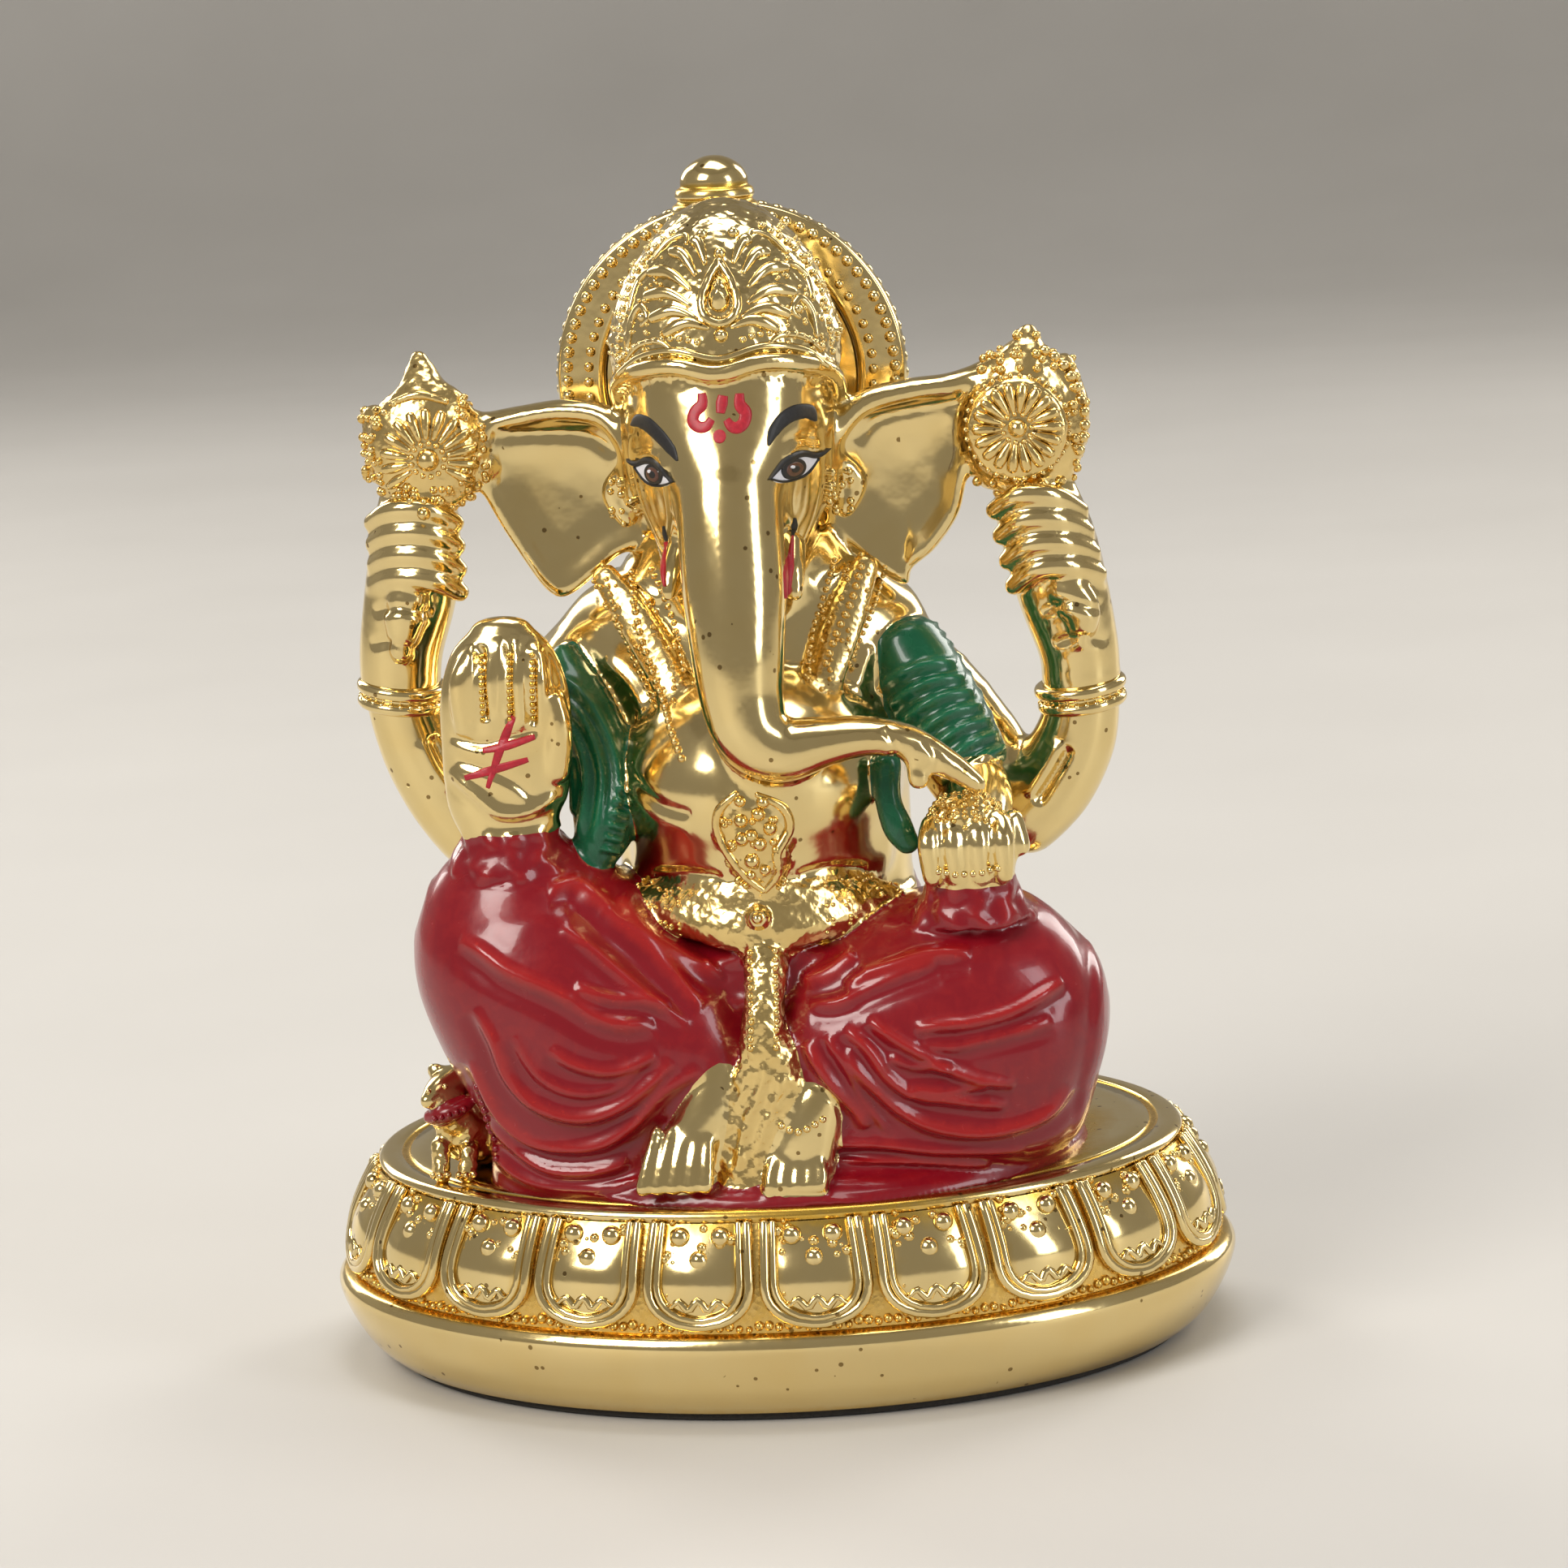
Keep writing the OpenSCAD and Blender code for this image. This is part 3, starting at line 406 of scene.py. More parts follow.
@dataclass
class Stroke:
    """A line worked into the skin: a raised fold where height is positive, a groove where it is not."""

    line: Line
    height: float
    width: float
    shadow: float = 0.45
    plane: tuple[int, int] = (0, 2)
    taper: float = 0.16

    def press(self, flat: Array) -> Array:
        """How far the stroke lifts the skin.

        Args:
            flat: points in the stroke's plane.

        Returns:
            The lift at each point in millimetres.
        """
        line = smooth_line(self.line, 6)
        start, end = line[:-1], line[1:]
        run = end - start
        length = np.maximum((run**2).sum(1), 1e-9)
        along = np.clip(((flat[:, None] - start) * run).sum(2) / length, 0, 1)
        gap = flat[:, None] - (start + along[..., None] * run)
        squared = (gap**2).sum(2)
        near = squared.argmin(1)
        rows = np.arange(len(flat))
        side = run[near, 0] * gap[rows, near, 1] - run[near, 1] * gap[rows, near, 0]
        distance = np.sqrt(squared[rows, near]) * np.sign(side)
        travel = (near + along[rows, near]) / len(start)
        edge = np.clip(travel / self.taper, 0, 1) * np.clip((1 - travel) / self.taper, 0, 1)
        ridge = np.exp(-((distance / self.width) ** 2))
        hollow = np.exp(-(((distance + 2.1 * self.width) / (1.3 * self.width)) ** 2))
        return self.height * (ridge - self.shadow * hollow) * edge**0.6


Worker = Callable[[Array, Array], Array]


class Casting:
    """The figure's forms, blended into one skin and then parted into named pieces."""

    BAND = 12
    EVENING = (0.55, -0.57)
    RELIEF_EDGE = 0.5
    PROBE = 0.5
    CAVITY_REACH = 3
    FOOT = 0.3

    def __init__(self, low: Point, high: Point, voxel: float) -> None:
        """Sets up the empty mould.

        Args:
            low: the lowest corner in millimetres.
            high: the highest corner.
            voxel: the size of a voxel.
        """
        self.voxel = voxel
        self.low = np.round(np.asarray(low) / voxel).astype(int)
        self.shape = np.round(np.asarray(high) / voxel).astype(int) - self.low
        self.limit = self.BAND * voxel
        self.total = np.full(self.shape, self.limit, np.float32)
        self.parts: dict[str, LocalField] = {}
        self.bias: dict[str, float] = {}
        self.reliefs: dict[str, list[Worker]] = {}
        self.transform = vdb.createLinearTransform(voxelSize=voxel)
        self.points = np.zeros((0, 3))
        self.normals = np.zeros((0, 3))
        self.quads = np.zeros((0, 4), int)
        self.labels = np.zeros(0, int)
        self.cavity = np.zeros(0)
        self.ridge = np.zeros(0)
        self.around = np.zeros(self.shape, np.float32)
        self.names: list[str] = []

    @staticmethod
    def blend(a: Array, b: Array, size: float) -> Array:
        """Two distance fields joined with a fillet of that size."""
        h = np.maximum(size - np.abs(a - b), 0) / size
        return np.minimum(a, b) - h * h * size / 4

    @staticmethod
    def box(start: Array, size: Sequence[int]) -> tuple[slice, ...]:
        """The slices of a box of voxels."""
        return tuple(slice(first, first + count) for first, count in zip(start, size))

    def edges(self) -> Array:
        """The sides of every face, as pairs of points."""
        return np.vstack([self.quads[:, [k, (k + 1) % 4]] for k in range(4)])

    def sampled(self, shape: Shape) -> LocalField:
        """A shape's distance field in its own box of voxels."""
        pad = self.BAND + 2
        start = np.floor(shape.points.min(0) / self.voxel).astype(int) - pad
        end = np.ceil(shape.points.max(0) / self.voxel).astype(int) + pad
        start = np.maximum(start, self.low)
        end = np.minimum(end, self.low + self.shape)
        grid = vdb.FloatGrid.createLevelSetFromPolygons(
            np.ascontiguousarray(shape.points, np.float32),
            triangles=np.ascontiguousarray(shape.tris, np.uint32) if len(shape.tris) else None,
            quads=np.ascontiguousarray(shape.quads, np.uint32) if len(shape.quads) else None,
            transform=self.transform,
            halfWidth=self.BAND,
        )
        values = np.zeros(end - start, np.float32)
        grid.copyToArray(values, ijk=tuple(int(v) for v in start))
        return LocalField(start, values)

    def add(
        self, name: str, shapes: Sequence[Shape], blend: float = 1.0, inner: float = 0.6, bias: float = 0.0
    ) -> None:
        """Adds a named part to the casting.

        Args:
            name: the part's name.
            shapes: the solids it is made of.
            blend: the fillet where it meets the rest.
            inner: the fillet between its own solids.
            bias: how much it gives way to its neighbours where they meet.
        """
        fields = [self.sampled(s) for s in shapes]
        start = np.min([f.start for f in fields], 0)
        end = np.max([f.start + f.values.shape for f in fields], 0)
        whole = np.full(end - start, self.limit, np.float32)
        for f in fields:
            box = self.box(f.start - start, f.values.shape)
            whole[box] = self.blend(whole[box], f.values, inner)
        self.parts[name] = LocalField(start, whole)
        self.bias[name] = bias
        box = self.box(start - self.low, whole.shape)
        self.total[box] = self.blend(self.total[box], whole, blend)

    def work(self, name: str, worker: Worker) -> None:
        """Adds surface work, such as folds, to a part."""
        self.reliefs.setdefault(name, []).append(worker)

    def read(self, values: Array, start: Array, points: Array, outside: float) -> Array:
        """A field's value at points, between its voxels.

        Args:
            values: the field.
            start: the index of its first voxel.
            points: where it is read, in millimetres.
            outside: the value beyond its box.

        Returns:
            The value at each point.
        """
        at = points / self.voxel - start
        cell = np.floor(at).astype(int)
        ok = np.all((cell >= 0) & (cell < np.array(values.shape) - 1), axis=1)
        out = np.full(len(points), outside, np.float32)
        c = cell[ok]
        f = (at[ok] - c).astype(np.float32)
        total = np.zeros(len(c), np.float32)
        shares = (1 - f, f)
        for dx, dy, dz in itertools.product((0, 1), repeat=3):
            share = shares[dx][:, 0] * shares[dy][:, 1] * shares[dz][:, 2]
            total += share * values[c[:, 0] + dx, c[:, 1] + dy, c[:, 2] + dz]
        out[ok] = total
        return out

    @staticmethod
    def softened(values: Array, rounds: int) -> Array:
        """A field evened out by a small blur, repeated."""
        for _ in range(rounds):
            for axis in range(3):
                line = np.moveaxis(values, axis, 0)
                evened = values.copy()
                np.moveaxis(evened, axis, 0)[1:-1] = 0.5 * line[1:-1] + 0.25 * (line[:-2] + line[2:])
                values = evened
        return values

    @staticmethod
    def box_mean(values: Array, reach: int) -> Array:
        """The mean of a field over a box that reaches so many voxels each way."""
        width = 2 * reach + 1
        for axis in range(3):
            pad = [(0, 0)] * 3
            pad[axis] = (reach + 1, reach)
            total = np.cumsum(np.pad(values, pad, mode="edge"), axis=axis, dtype=np.float32)
            line = np.moveaxis(total, axis, 0)
            values = np.moveaxis((line[width:] - line[:-width]) / width, 0, axis)
        return values

    def cast(self, floor_z: float, soften: int) -> None:
        """Makes the skin.

        Args:
            floor_z: the flat that the figure is cut off at.
            soften: how often the field is evened out.
        """
        z = (np.arange(self.shape[2]) + self.low[2]) * self.voxel
        solid = self.softened(self.total, soften)
        solid = np.maximum(solid, (floor_z - z).astype(np.float32)[None, None, :])
        grid = vdb.FloatGrid(self.limit)
        grid.transform = self.transform
        grid.copyFromArray(solid, ijk=tuple(int(v) for v in self.low))
        points, quads = grid.convertToQuads(0.0)
        self.points, self.quads = points.astype(float), quads.astype(int)
        # The cavity layer: how much solid, the plateau's flat included, lies round each place; read just off
        # the skin it paints shade into crevices, undersides and the gaps between parts.
        filled = (self.total < 0) | (z < floor_z + self.FOOT)[None, None, :]
        self.around = self.box_mean(filled.astype(np.float32), self.CAVITY_REACH)
        self.around = self.box_mean(self.around, self.CAVITY_REACH)
        LOG.info("casting: %d points, %d faces", len(self.points), len(self.quads))

    def evened(self, rounds: int) -> None:
        """Evens out the skin's points without shrinking it."""
        a, b = self.edges().T
        count = len(self.points)
        share = np.maximum(np.bincount(a, minlength=count), 1)[:, None]
        for _ in range(rounds):
            for step in self.EVENING:
                mean = spread(a, self.points[b], count) / share
                self.points = self.points + step * (mean - self.points)

    def finish_skin(self) -> None:
        """Works the relief into the skin and says which part owns each face."""
        self.normals = point_normals(Shape(self.points, self.quads))
        count = len(self.points)
        self.names = list(self.parts)
        own = np.stack(
            [self.read(f.values, f.start, self.points, 9.0) + self.bias[n] for n, f in self.parts.items()]
        )
        nearest = own.min(0)
        lift = np.zeros(count)
        for row, name in enumerate(self.names):
            for worker in self.reliefs.get(name, []):
                weight = np.clip(1.4 - (own[row] - nearest) / self.RELIEF_EDGE, 0, 1)
                rows = np.nonzero(weight > 0)[0]
                lift[rows] += weight[rows] * worker(self.points[rows], self.normals[rows])
        self.points = self.points + self.normals * lift[:, None]
        self.normals = point_normals(Shape(self.points, self.quads))
        self.ridge = lift
        # Painted shade: the cavity layer is read just off the skin from the share of solid round it.
        probe = self.points + self.normals * self.PROBE
        self.cavity = self.read(self.around, self.low, probe, MIDDLE_CAVITY)
        self.labels = own[:, self.quads].mean(2).argmin(0)
        self.straighten_borders()

    def straighten_borders(self) -> None:
        """Evens out the lines where two parts meet."""
        edges = np.sort(self.edges(), axis=1)
        owner = np.tile(self.labels, 4)
        key = edges[:, 0] * (len(self.points) + 1) + edges[:, 1]
        order = np.argsort(key, kind="stable")
        same = key[order][:-1] == key[order][1:]
        differ = owner[order][:-1] != owner[order][1:]
        border = edges[order][:-1][same & differ]
        both = np.vstack([border, border[:, ::-1]])
        count = len(self.points)
        share = np.bincount(both[:, 0], minlength=count)
        moving = share > 0
        for _ in range(4):
            mean = spread(both[:, 0], self.points[both[:, 1]], count) / np.maximum(share, 1)[:, None]
            self.points[moving] += 0.5 * (mean - self.points)[moving]

    def piece(self, name: str) -> Shape:
        """The part of the skin that belongs to a named part."""
        quads = self.quads[self.labels == self.names.index(name)]
        used, flat = np.unique(quads, return_inverse=True)
        return Shape(
            self.points[used],
            flat.reshape(-1, 4),
            cavity=self.cavity[used],
            ridge=self.ridge[used],
            normals=self.normals[used],
        )

    def surface(self) -> BVHTree:
        """The whole skin, ready to be asked where a line meets it."""
        return BVHTree.FromPolygons(self.points.tolist(), self.quads.tolist())


class Skin:
    """The cast skin seen as something to lay ornaments and paint on."""

    REACH = 30
    RIBBON_STEPS = (-1, -0.7, -0.3, 0.3, 0.7, 1)
    PATCH_STEPS = ((1.0, -0.25), (1.0, 0.6), (0.94, 0.95), (0.8, 1.0), (0.55, 1.0), (0.28, 1.0))

    def __init__(self, tree: BVHTree) -> None:
        """Keeps the skin's search tree."""
        self.tree = tree

    def hit(self, start: Point, way: Point) -> tuple[Array, Array]:
        """Where a line first meets the skin.

        Args:
            start: a point outside the skin.
            way: the direction of the line.

        Returns:
            The point met and the outward direction there, or the nearest ones when nothing is met.
        """
        place, normal, _, _ = self.tree.ray_cast(Vector(start), Vector(way))
        if place is None:
            place, normal, _, _ = self.tree.find_nearest(Vector(start) + Vector(way) * self.REACH)
        found = np.array(normal)
        return np.array(place), found if found @ np.asarray(way) < 0 else -found

    def front(self, x: float, z: float, start_y: float = -60.0) -> tuple[Array, Array]:
        """The skin's point seen straight from the front at x, z."""
        return self.hit((x, start_y, z), (0, 1, 0))

    def laid(self, line: Line, steps: int = 6, sink: float = 0.0) -> tuple[Array, Array]:
        """A curve in x, z laid on the front of the skin.

        Args:
            line: its points in x, z.
            steps: pieces to a span.
            sink: how far it is pressed in.

        Returns:
            The curve's points and the outward directions there.
        """
        found = [self.front(x, z) for x, z in smooth_line(line, steps)]
        points = np.array([p for p, _ in found])
        ways = unit(np.array([n for _, n in found]))
        for _ in range(2):
            points[1:-1, 1] = 0.25 * points[:-2, 1] + 0.5 * points[1:-1, 1] + 0.25 * points[2:, 1]
        return points - ways * sink, ways

    def bar(
        self, line: Line, radii: Sequence[float], sides: int = 8, steps: int = 6, sink: float = 0.0
    ) -> Shape:
        """A raised bar laid along a curve in x, z.

        Args:
            line: its points.
            radii: radii spread evenly from its start to its end.
            sides: points round the bar.
            steps: pieces to a span.
            sink: how far it is pressed in.

        Returns:
            The bar.
        """
        points, _ = self.laid(line, steps, sink)
        at = np.linspace(0, 1, len(points))
        return tube(points, np.interp(at, np.linspace(0, 1, len(radii)), radii), sides)

    def chain(self, line: Line, radius: float, gap: float, sides: int = 10) -> list[Shape]:
        """A row of beads laid along a curve in x, z.

        Args:
            line: its points.
            radius: the radius of a bead.
            gap: the distance between two beads.
            sides: points round a bead.

        Returns:
            The beads.
        """
        points, ways = self.laid(line, 12)
        run = np.concatenate([[0], np.cumsum(np.linalg.norm(np.diff(points, axis=0), axis=1))])
        at = np.arange(gap / 2, run[-1], gap)
        places = np.stack([np.interp(at, run, points[:, k]) for k in range(3)], -1)
        turns = np.stack([np.interp(at, run, ways[:, k]) for k in range(3)], -1)
        return [dome(p, w, radius, sides=sides) for p, w in zip(places, turns)]

    def ribbon(self, line: Line, widths: Sequence[float], lift: float = 0.1) -> Shape:
        """A brush stroke of thick paint laid along a curve in x, z.

        Args:
            line: its points.
            widths: widths spread evenly from its start to its end.
            lift: how thick the paint is.

        Returns:
            The stroke as a closed sheet.
        """
        path = smooth_line(line, 8)
        way = unit(np.gradient(path, axis=0))
        side = np.stack([-way[:, 1], way[:, 0]], -1)
        half = np.interp(np.linspace(0, 1, len(path)), np.linspace(0, 1, len(widths)), widths) / 2
        rings = []
        for place, across, reach in zip(path, side, half):
            top, low = [], []
            for u in self.RIBBON_STEPS:
                x, z = place + across * reach * u
                point, normal = self.front(x, z)
                top.append(point + normal * (0.02 + lift * math.sqrt(1.0001 - u * u)))
                low.append(point - normal * 0.2)
            rings.append(top + low[::-1])
        grid = np.array(rings)
        return ring_grid(grid, ends=(grid[0].mean(0), grid[-1].mean(0)))

    def patch(self, outline: Array, centre: Point, lift: float, bulge: float = 0.0) -> Shape:
        """A spot of thick paint, or a low boss, with a given outline in x, z.

        Args:
            outline: its outline in x, z.
            centre: its middle in x, z.
            lift: how far it stands out at its edge.
            bulge: how much further its middle stands out.

        Returns:
            The closed patch.
        """
        centre = np.asarray(centre, float)
        rings = []
        for share, rise in self.PATCH_STEPS:
            ring = []
            for x, z in centre + (outline - centre) * share:
                point, normal = self.front(x, z)
                ring.append(point + normal * (lift * rise + bulge * (1 - share**2)))
            rings.append(ring)
        point, normal = self.front(*centre)
        return ring_grid(np.array(rings), ends=(np.array(rings[0]).mean(0), point + normal * (lift + bulge)))


def granules(
    shape: Shape, gap: float, radius: float, keep: Callable[[Array], Array], sides: int = 7
) -> list[Shape]:
    """Fine beads strewn over part of a skin.

    Args:
        shape: the skin, with its outward directions.
        gap: the distance between two beads.
        radius: the radius of a bead.
        keep: says for each point whether it may carry a bead.
        sides: points round a bead.

    Returns:
        The beads.
    """
    rows = np.nonzero(keep(shape.points))[0]
    cells = np.floor(shape.points[rows] / gap + 0.37).astype(int)
    _, first = np.unique(cells, axis=0, return_index=True)
    beads = []
    for i in rows[first]:
        size = radius * (0.75 + 0.35 * math.sin(i * 12.9898) ** 2)
        # Each bead gets a set cavity value: a little painted shade.
        beads.append(dome(shape.points[i], shape.normals[i], size, sides=sides).with_painted_shade(0.56))
    return beads


# ---------------------------------------------------------------- finishes

Link = Union[float, Sequence[float], "Tone", bpy.types.NodeSocket]
Inputs = dict[Union[str, int], Link]


class Tone:
    """A socket in a material, with arithmetic that adds Math nodes."""

    def __init__(self, bench: "Bench", socket: bpy.types.NodeSocket) -> None:
        """Wraps a socket of a bench."""
        self.bench = bench
        self.socket = socket

    def maths(self, operation: str, *values: Link, clamp: bool = False) -> "Tone":
        """A Math node on this socket and other values."""
        node = self.bench.node(
            "ShaderNodeMath", {"operation": operation, "use_clamp": clamp}, dict(enumerate(values))
        )
        return Tone(self.bench, node.outputs[0])

    def __add__(self, other: Link) -> "Tone":
        """This plus other."""
        return self.maths("ADD", self, other)

    def __radd__(self, other: Link) -> "Tone":
        """Other plus this."""
        return self.maths("ADD", other, self)

    def __sub__(self, other: Link) -> "Tone":
        """This minus other."""
        return self.maths("SUBTRACT", self, other)

    def __rsub__(self, other: Link) -> "Tone":
        """Other minus this."""
        return self.maths("SUBTRACT", other, self)

    def __mul__(self, other: Link) -> "Tone":
        """This times other."""
        return self.maths("MULTIPLY", self, other)

    def __rmul__(self, other: Link) -> "Tone":
        """Other times this."""
        return self.maths("MULTIPLY", other, self)

    def above(self, level: Link) -> "Tone":
        """One where this is above a level, and zero elsewhere."""
        return self.maths("GREATER_THAN", self, level)

    def held(self) -> "Tone":
        """This, kept between zero and one."""
        return self.maths("ADD", self, 0.0, clamp=True)


class Bench:
    """A material being put together from nodes."""

    def __init__(self, name: str) -> None:
        """Starts an empty material.

        Args:
            name: the material's name.
        """
        self.material = bpy.data.materials.new(name)
        self.material.use_nodes = True
        self.tree = self.material.node_tree
        self.tree.nodes.clear()

    def node(self, kind: str, settings: dict[str, object], inputs: Inputs) -> bpy.types.Node:
        """Adds a node.

        Args:
            kind: the node's type.
            settings: its own settings, which are set first.
            inputs: the value or link of each socket, by name or place.

        Returns:
            The node.
        """
        made = self.tree.nodes.new(kind)
        for key, value in settings.items():
            setattr(made, key, value)
        for key, value in inputs.items():
            socket = made.inputs[key]
            value = value.socket if isinstance(value, Tone) else value
            if isinstance(value, bpy.types.NodeSocket):
                self.tree.links.new(value, socket)
            else:
                socket.default_value = value
        return made

    def tone(self, kind: str, output: Union[str, int], settings: dict[str, object], inputs: Inputs) -> Tone:
        """Adds a node and wraps one of its outputs."""
        return Tone(self, self.node(kind, settings, inputs).outputs[output])

    def layer(self, name: str) -> Tone:
        """A value that is stored at the mesh's points."""
        return self.tone("ShaderNodeAttribute", "Fac", {"attribute_name": name}, {})

    def place(self) -> Tone:
        """The place on the object, in metres."""
        return self.tone("ShaderNodeTexCoord", "Object", {}, {})

    def noise(self, size: float, detail: float = 3.0, rough: float = 0.55, bend: float = 0.0) -> Tone:
        """Cloudy noise with lumps of a size in millimetres."""
        inputs = {
            "Vector": self.place(), "Scale": 1 / (size * MM), "Detail": detail, "Roughness": rough,
            "Distortion": bend,
        }
        return self.tone("ShaderNodeTexNoise", "Fac", {}, inputs)

    def cells(self, size: float) -> Tone:
        """The distance to the middle of cells of a size in millimetres."""
        return self.tone(
            "ShaderNodeTexVoronoi", "Distance", {}, {"Vector": self.place(), "Scale": 1 / (size * MM)}
        )

    def blend(self, share: Link, a: Link, b: Link) -> Tone:
        """A colour mixed from two by a share."""
        return self.tone("ShaderNodeMix", 2, {"data_type": "RGBA"}, {0: share, 6: a, 7: b})

    def bump(self, height: Tone, depth: float, strength: float, under: Optional[Tone] = None) -> Tone:
        """A relief drawn by light, so many millimetres deep."""
        inputs: Inputs = {"Strength": strength, "Distance": depth * MM, "Height": height}
        if under is not None:
            inputs["Normal"] = under
        return self.tone("ShaderNodeBump", "Normal", {}, inputs)

    def finished(self, inputs: Inputs) -> bpy.types.Material:
        """Closes the material with a Principled shader that has those inputs."""
        shader = self.node("ShaderNodeBsdfPrincipled", {}, inputs)
        self.node("ShaderNodeOutputMaterial", {}, {"Surface": shader.outputs[0]})
        return self.material


Colour = tuple[float, float, float, float]


@dataclass(frozen=True)
class Plating:
    """Bright gold plating with a few pinholes, painted deeper and darker in the hollows as painted shade,
    partly patina.
    """

    name: str
    pale: Colour
    deep: Colour
    dark: Colour
    rough: float
    grain: float
    warmth: float
    hollow_shade_from: float = 0.53
    gutter_shade_from: float = 0.7
    pinhole: float = 0.13
    pinhole_gap: float = 1.9
    grain_size: float = 0.55
    ripple_size: float = 2.4

    def material(self) -> bpy.types.Material:
        """The plating as a material."""
        bench = Bench(self.name)
        cavity = bench.layer("cavity")
        cloud = bench.noise(7.0, 2.0)
        mottle = bench.noise(1.1, 3.0)
        # Painted shade, partly patina: deeper gold where the cavity layer says the skin is closed in, and
        # near black in the deepest gutters.
        hollow = ((cavity - self.hollow_shade_from) * 7.0 + (mottle - 0.5) * 0.8 + self.warmth).held()
        gutter_shade = ((cavity - self.gutter_shade_from) * 6.0 + (mottle - 0.5) * 0.7).held()
        base = bench.blend(hollow, self.pale, self.deep)
        base = bench.blend((cloud - 0.42).held() * 0.5, base, self.deep)
        base = bench.blend(gutter_shade * 0.75, base, self.dark)
        pinhole = (self.pinhole - bench.cells(self.pinhole_gap)).above(0.0)
        pinhole = pinhole * bench.noise(9.0, 1.0).above(0.53)
        base = bench.blend(pinhole * 0.8, base, self.dark)
        grains = bench.cells(self.grain_size)
        ripple = bench.noise(self.ripple_size, 2.0)
        relief = bench.bump(ripple, 0.12, 0.22)
        relief = bench.bump(grains, 0.16, self.grain, relief)
        relief = bench.bump(1 - pinhole, 0.1, 0.5, relief)
        rough = self.rough + hollow * 0.13 + (mottle - 0.5) * 0.08
        return bench.finished({"Base Color": base, "Metallic": 1.0, "Roughness": rough, "Normal": relief})


@dataclass(frozen=True)
class Enamel:
    """Glossy translucent enamel that thins to a brighter tint on raised folds, with painted light where it
    lies open and painted shade in its hollows.
    """

    name: str
    body: Colour
    thin: Colour
    pooled_shade: Colour
    rough: float
    pooled_shade_from: float = 0.56
    coat: float = 0.35

    def material(self) -> bpy.types.Material:
        """The enamel as a material."""
        bench = Bench(self.name)
        cavity = bench.layer("cavity")
        ridge = bench.layer("ridge")
        mottle = bench.noise(1.6, 4.0, bend=0.6)
        streak = bench.noise(0.5, 3.0)
        # Brighter where the enamel thins on raised folds, plus painted light where the cavity layer says the
        # skin lies open.
        thinned_and_lit = (ridge * 1.5 + (mottle - 0.55) * 1.2 + (0.42 - cavity) * 1.1).held()
        # Painted shade where the cavity layer says the skin is closed in, partly enamel pooled thicker
        # there.
        pooled_shade = ((cavity - self.pooled_shade_from) * 4.0 + (mottle - 0.5) * 0.5).held()
        base = bench.blend(thinned_and_lit * 0.45, self.body, self.thin)
        base = bench.blend(pooled_shade * 0.85, base, self.pooled_shade)
        fleck = (streak - 0.66).above(0.0) * (ridge * 2.0 + 0.1).held()
        base = bench.blend(fleck * 0.5, base, self.thin)
        relief = bench.bump(bench.noise(2.2, 2.0), 0.14, 0.25)
        relief = bench.bump(streak, 0.03, 0.25, relief)
        rough = self.rough + (mottle - 0.5) * 0.12 + pooled_shade * 0.1
        inputs: Inputs = {
            "Base Color": base,
            "Roughness": rough,
            "Normal": relief,
            "Coat Weight": self.coat,
            "Coat Roughness": 0.05,
            "Specular IOR Level": 0.38,
        }
        return bench.finished(inputs)


@dataclass(frozen=True)
class Paint:
    """Thick hand-brushed paint."""

    name: str
    body: Colour
    shade: Colour
    rough: float

    def material(self) -> bpy.types.Material:
        """The paint as a material."""
        bench = Bench(self.name)
        brush = bench.noise(0.35, 3.0)
        base = bench.blend(((brush - 0.4) * 2.0).held(), self.shade, self.body)
        relief = bench.bump(brush, 0.03, 0.4)
        inputs: Inputs = {
            "Base Color": base,
            "Roughness": self.rough + 0.12 + brush * 0.12,
            "Normal": relief,
            "Coat Weight": 0.08,
        }
        return bench.finished(inputs)


@dataclass(frozen=True)
class Felt:
    """Short matted felt."""

    name: str
    body: Colour
    fibre: Colour

    def material(self) -> bpy.types.Material:
        """The felt as a material."""
        bench = Bench(self.name)
        tuft = bench.noise(0.4, 5.0, 0.7, 1.2)
        base = bench.blend((tuft * 1.4 - 0.2).held(), self.body, self.fibre)
        relief = bench.bump(tuft, 0.2, 0.8)
        return bench.finished({"Base Color": base, "Roughness": 0.9 + tuft * 0.08, "Normal": relief})


class Finish(Enum):
    """The finishes, each with the record's slot that it answers to."""

    GOLD = "gold"
    GRAIN = "gold_deep"
    RED = "red_enamel"
    GREEN = "green_enamel"
    PAD = "pad"
    BLACK = "black paint"
    WHITE = "white paint"
    IRIS = "brown paint"
    MARK = "crimson paint"


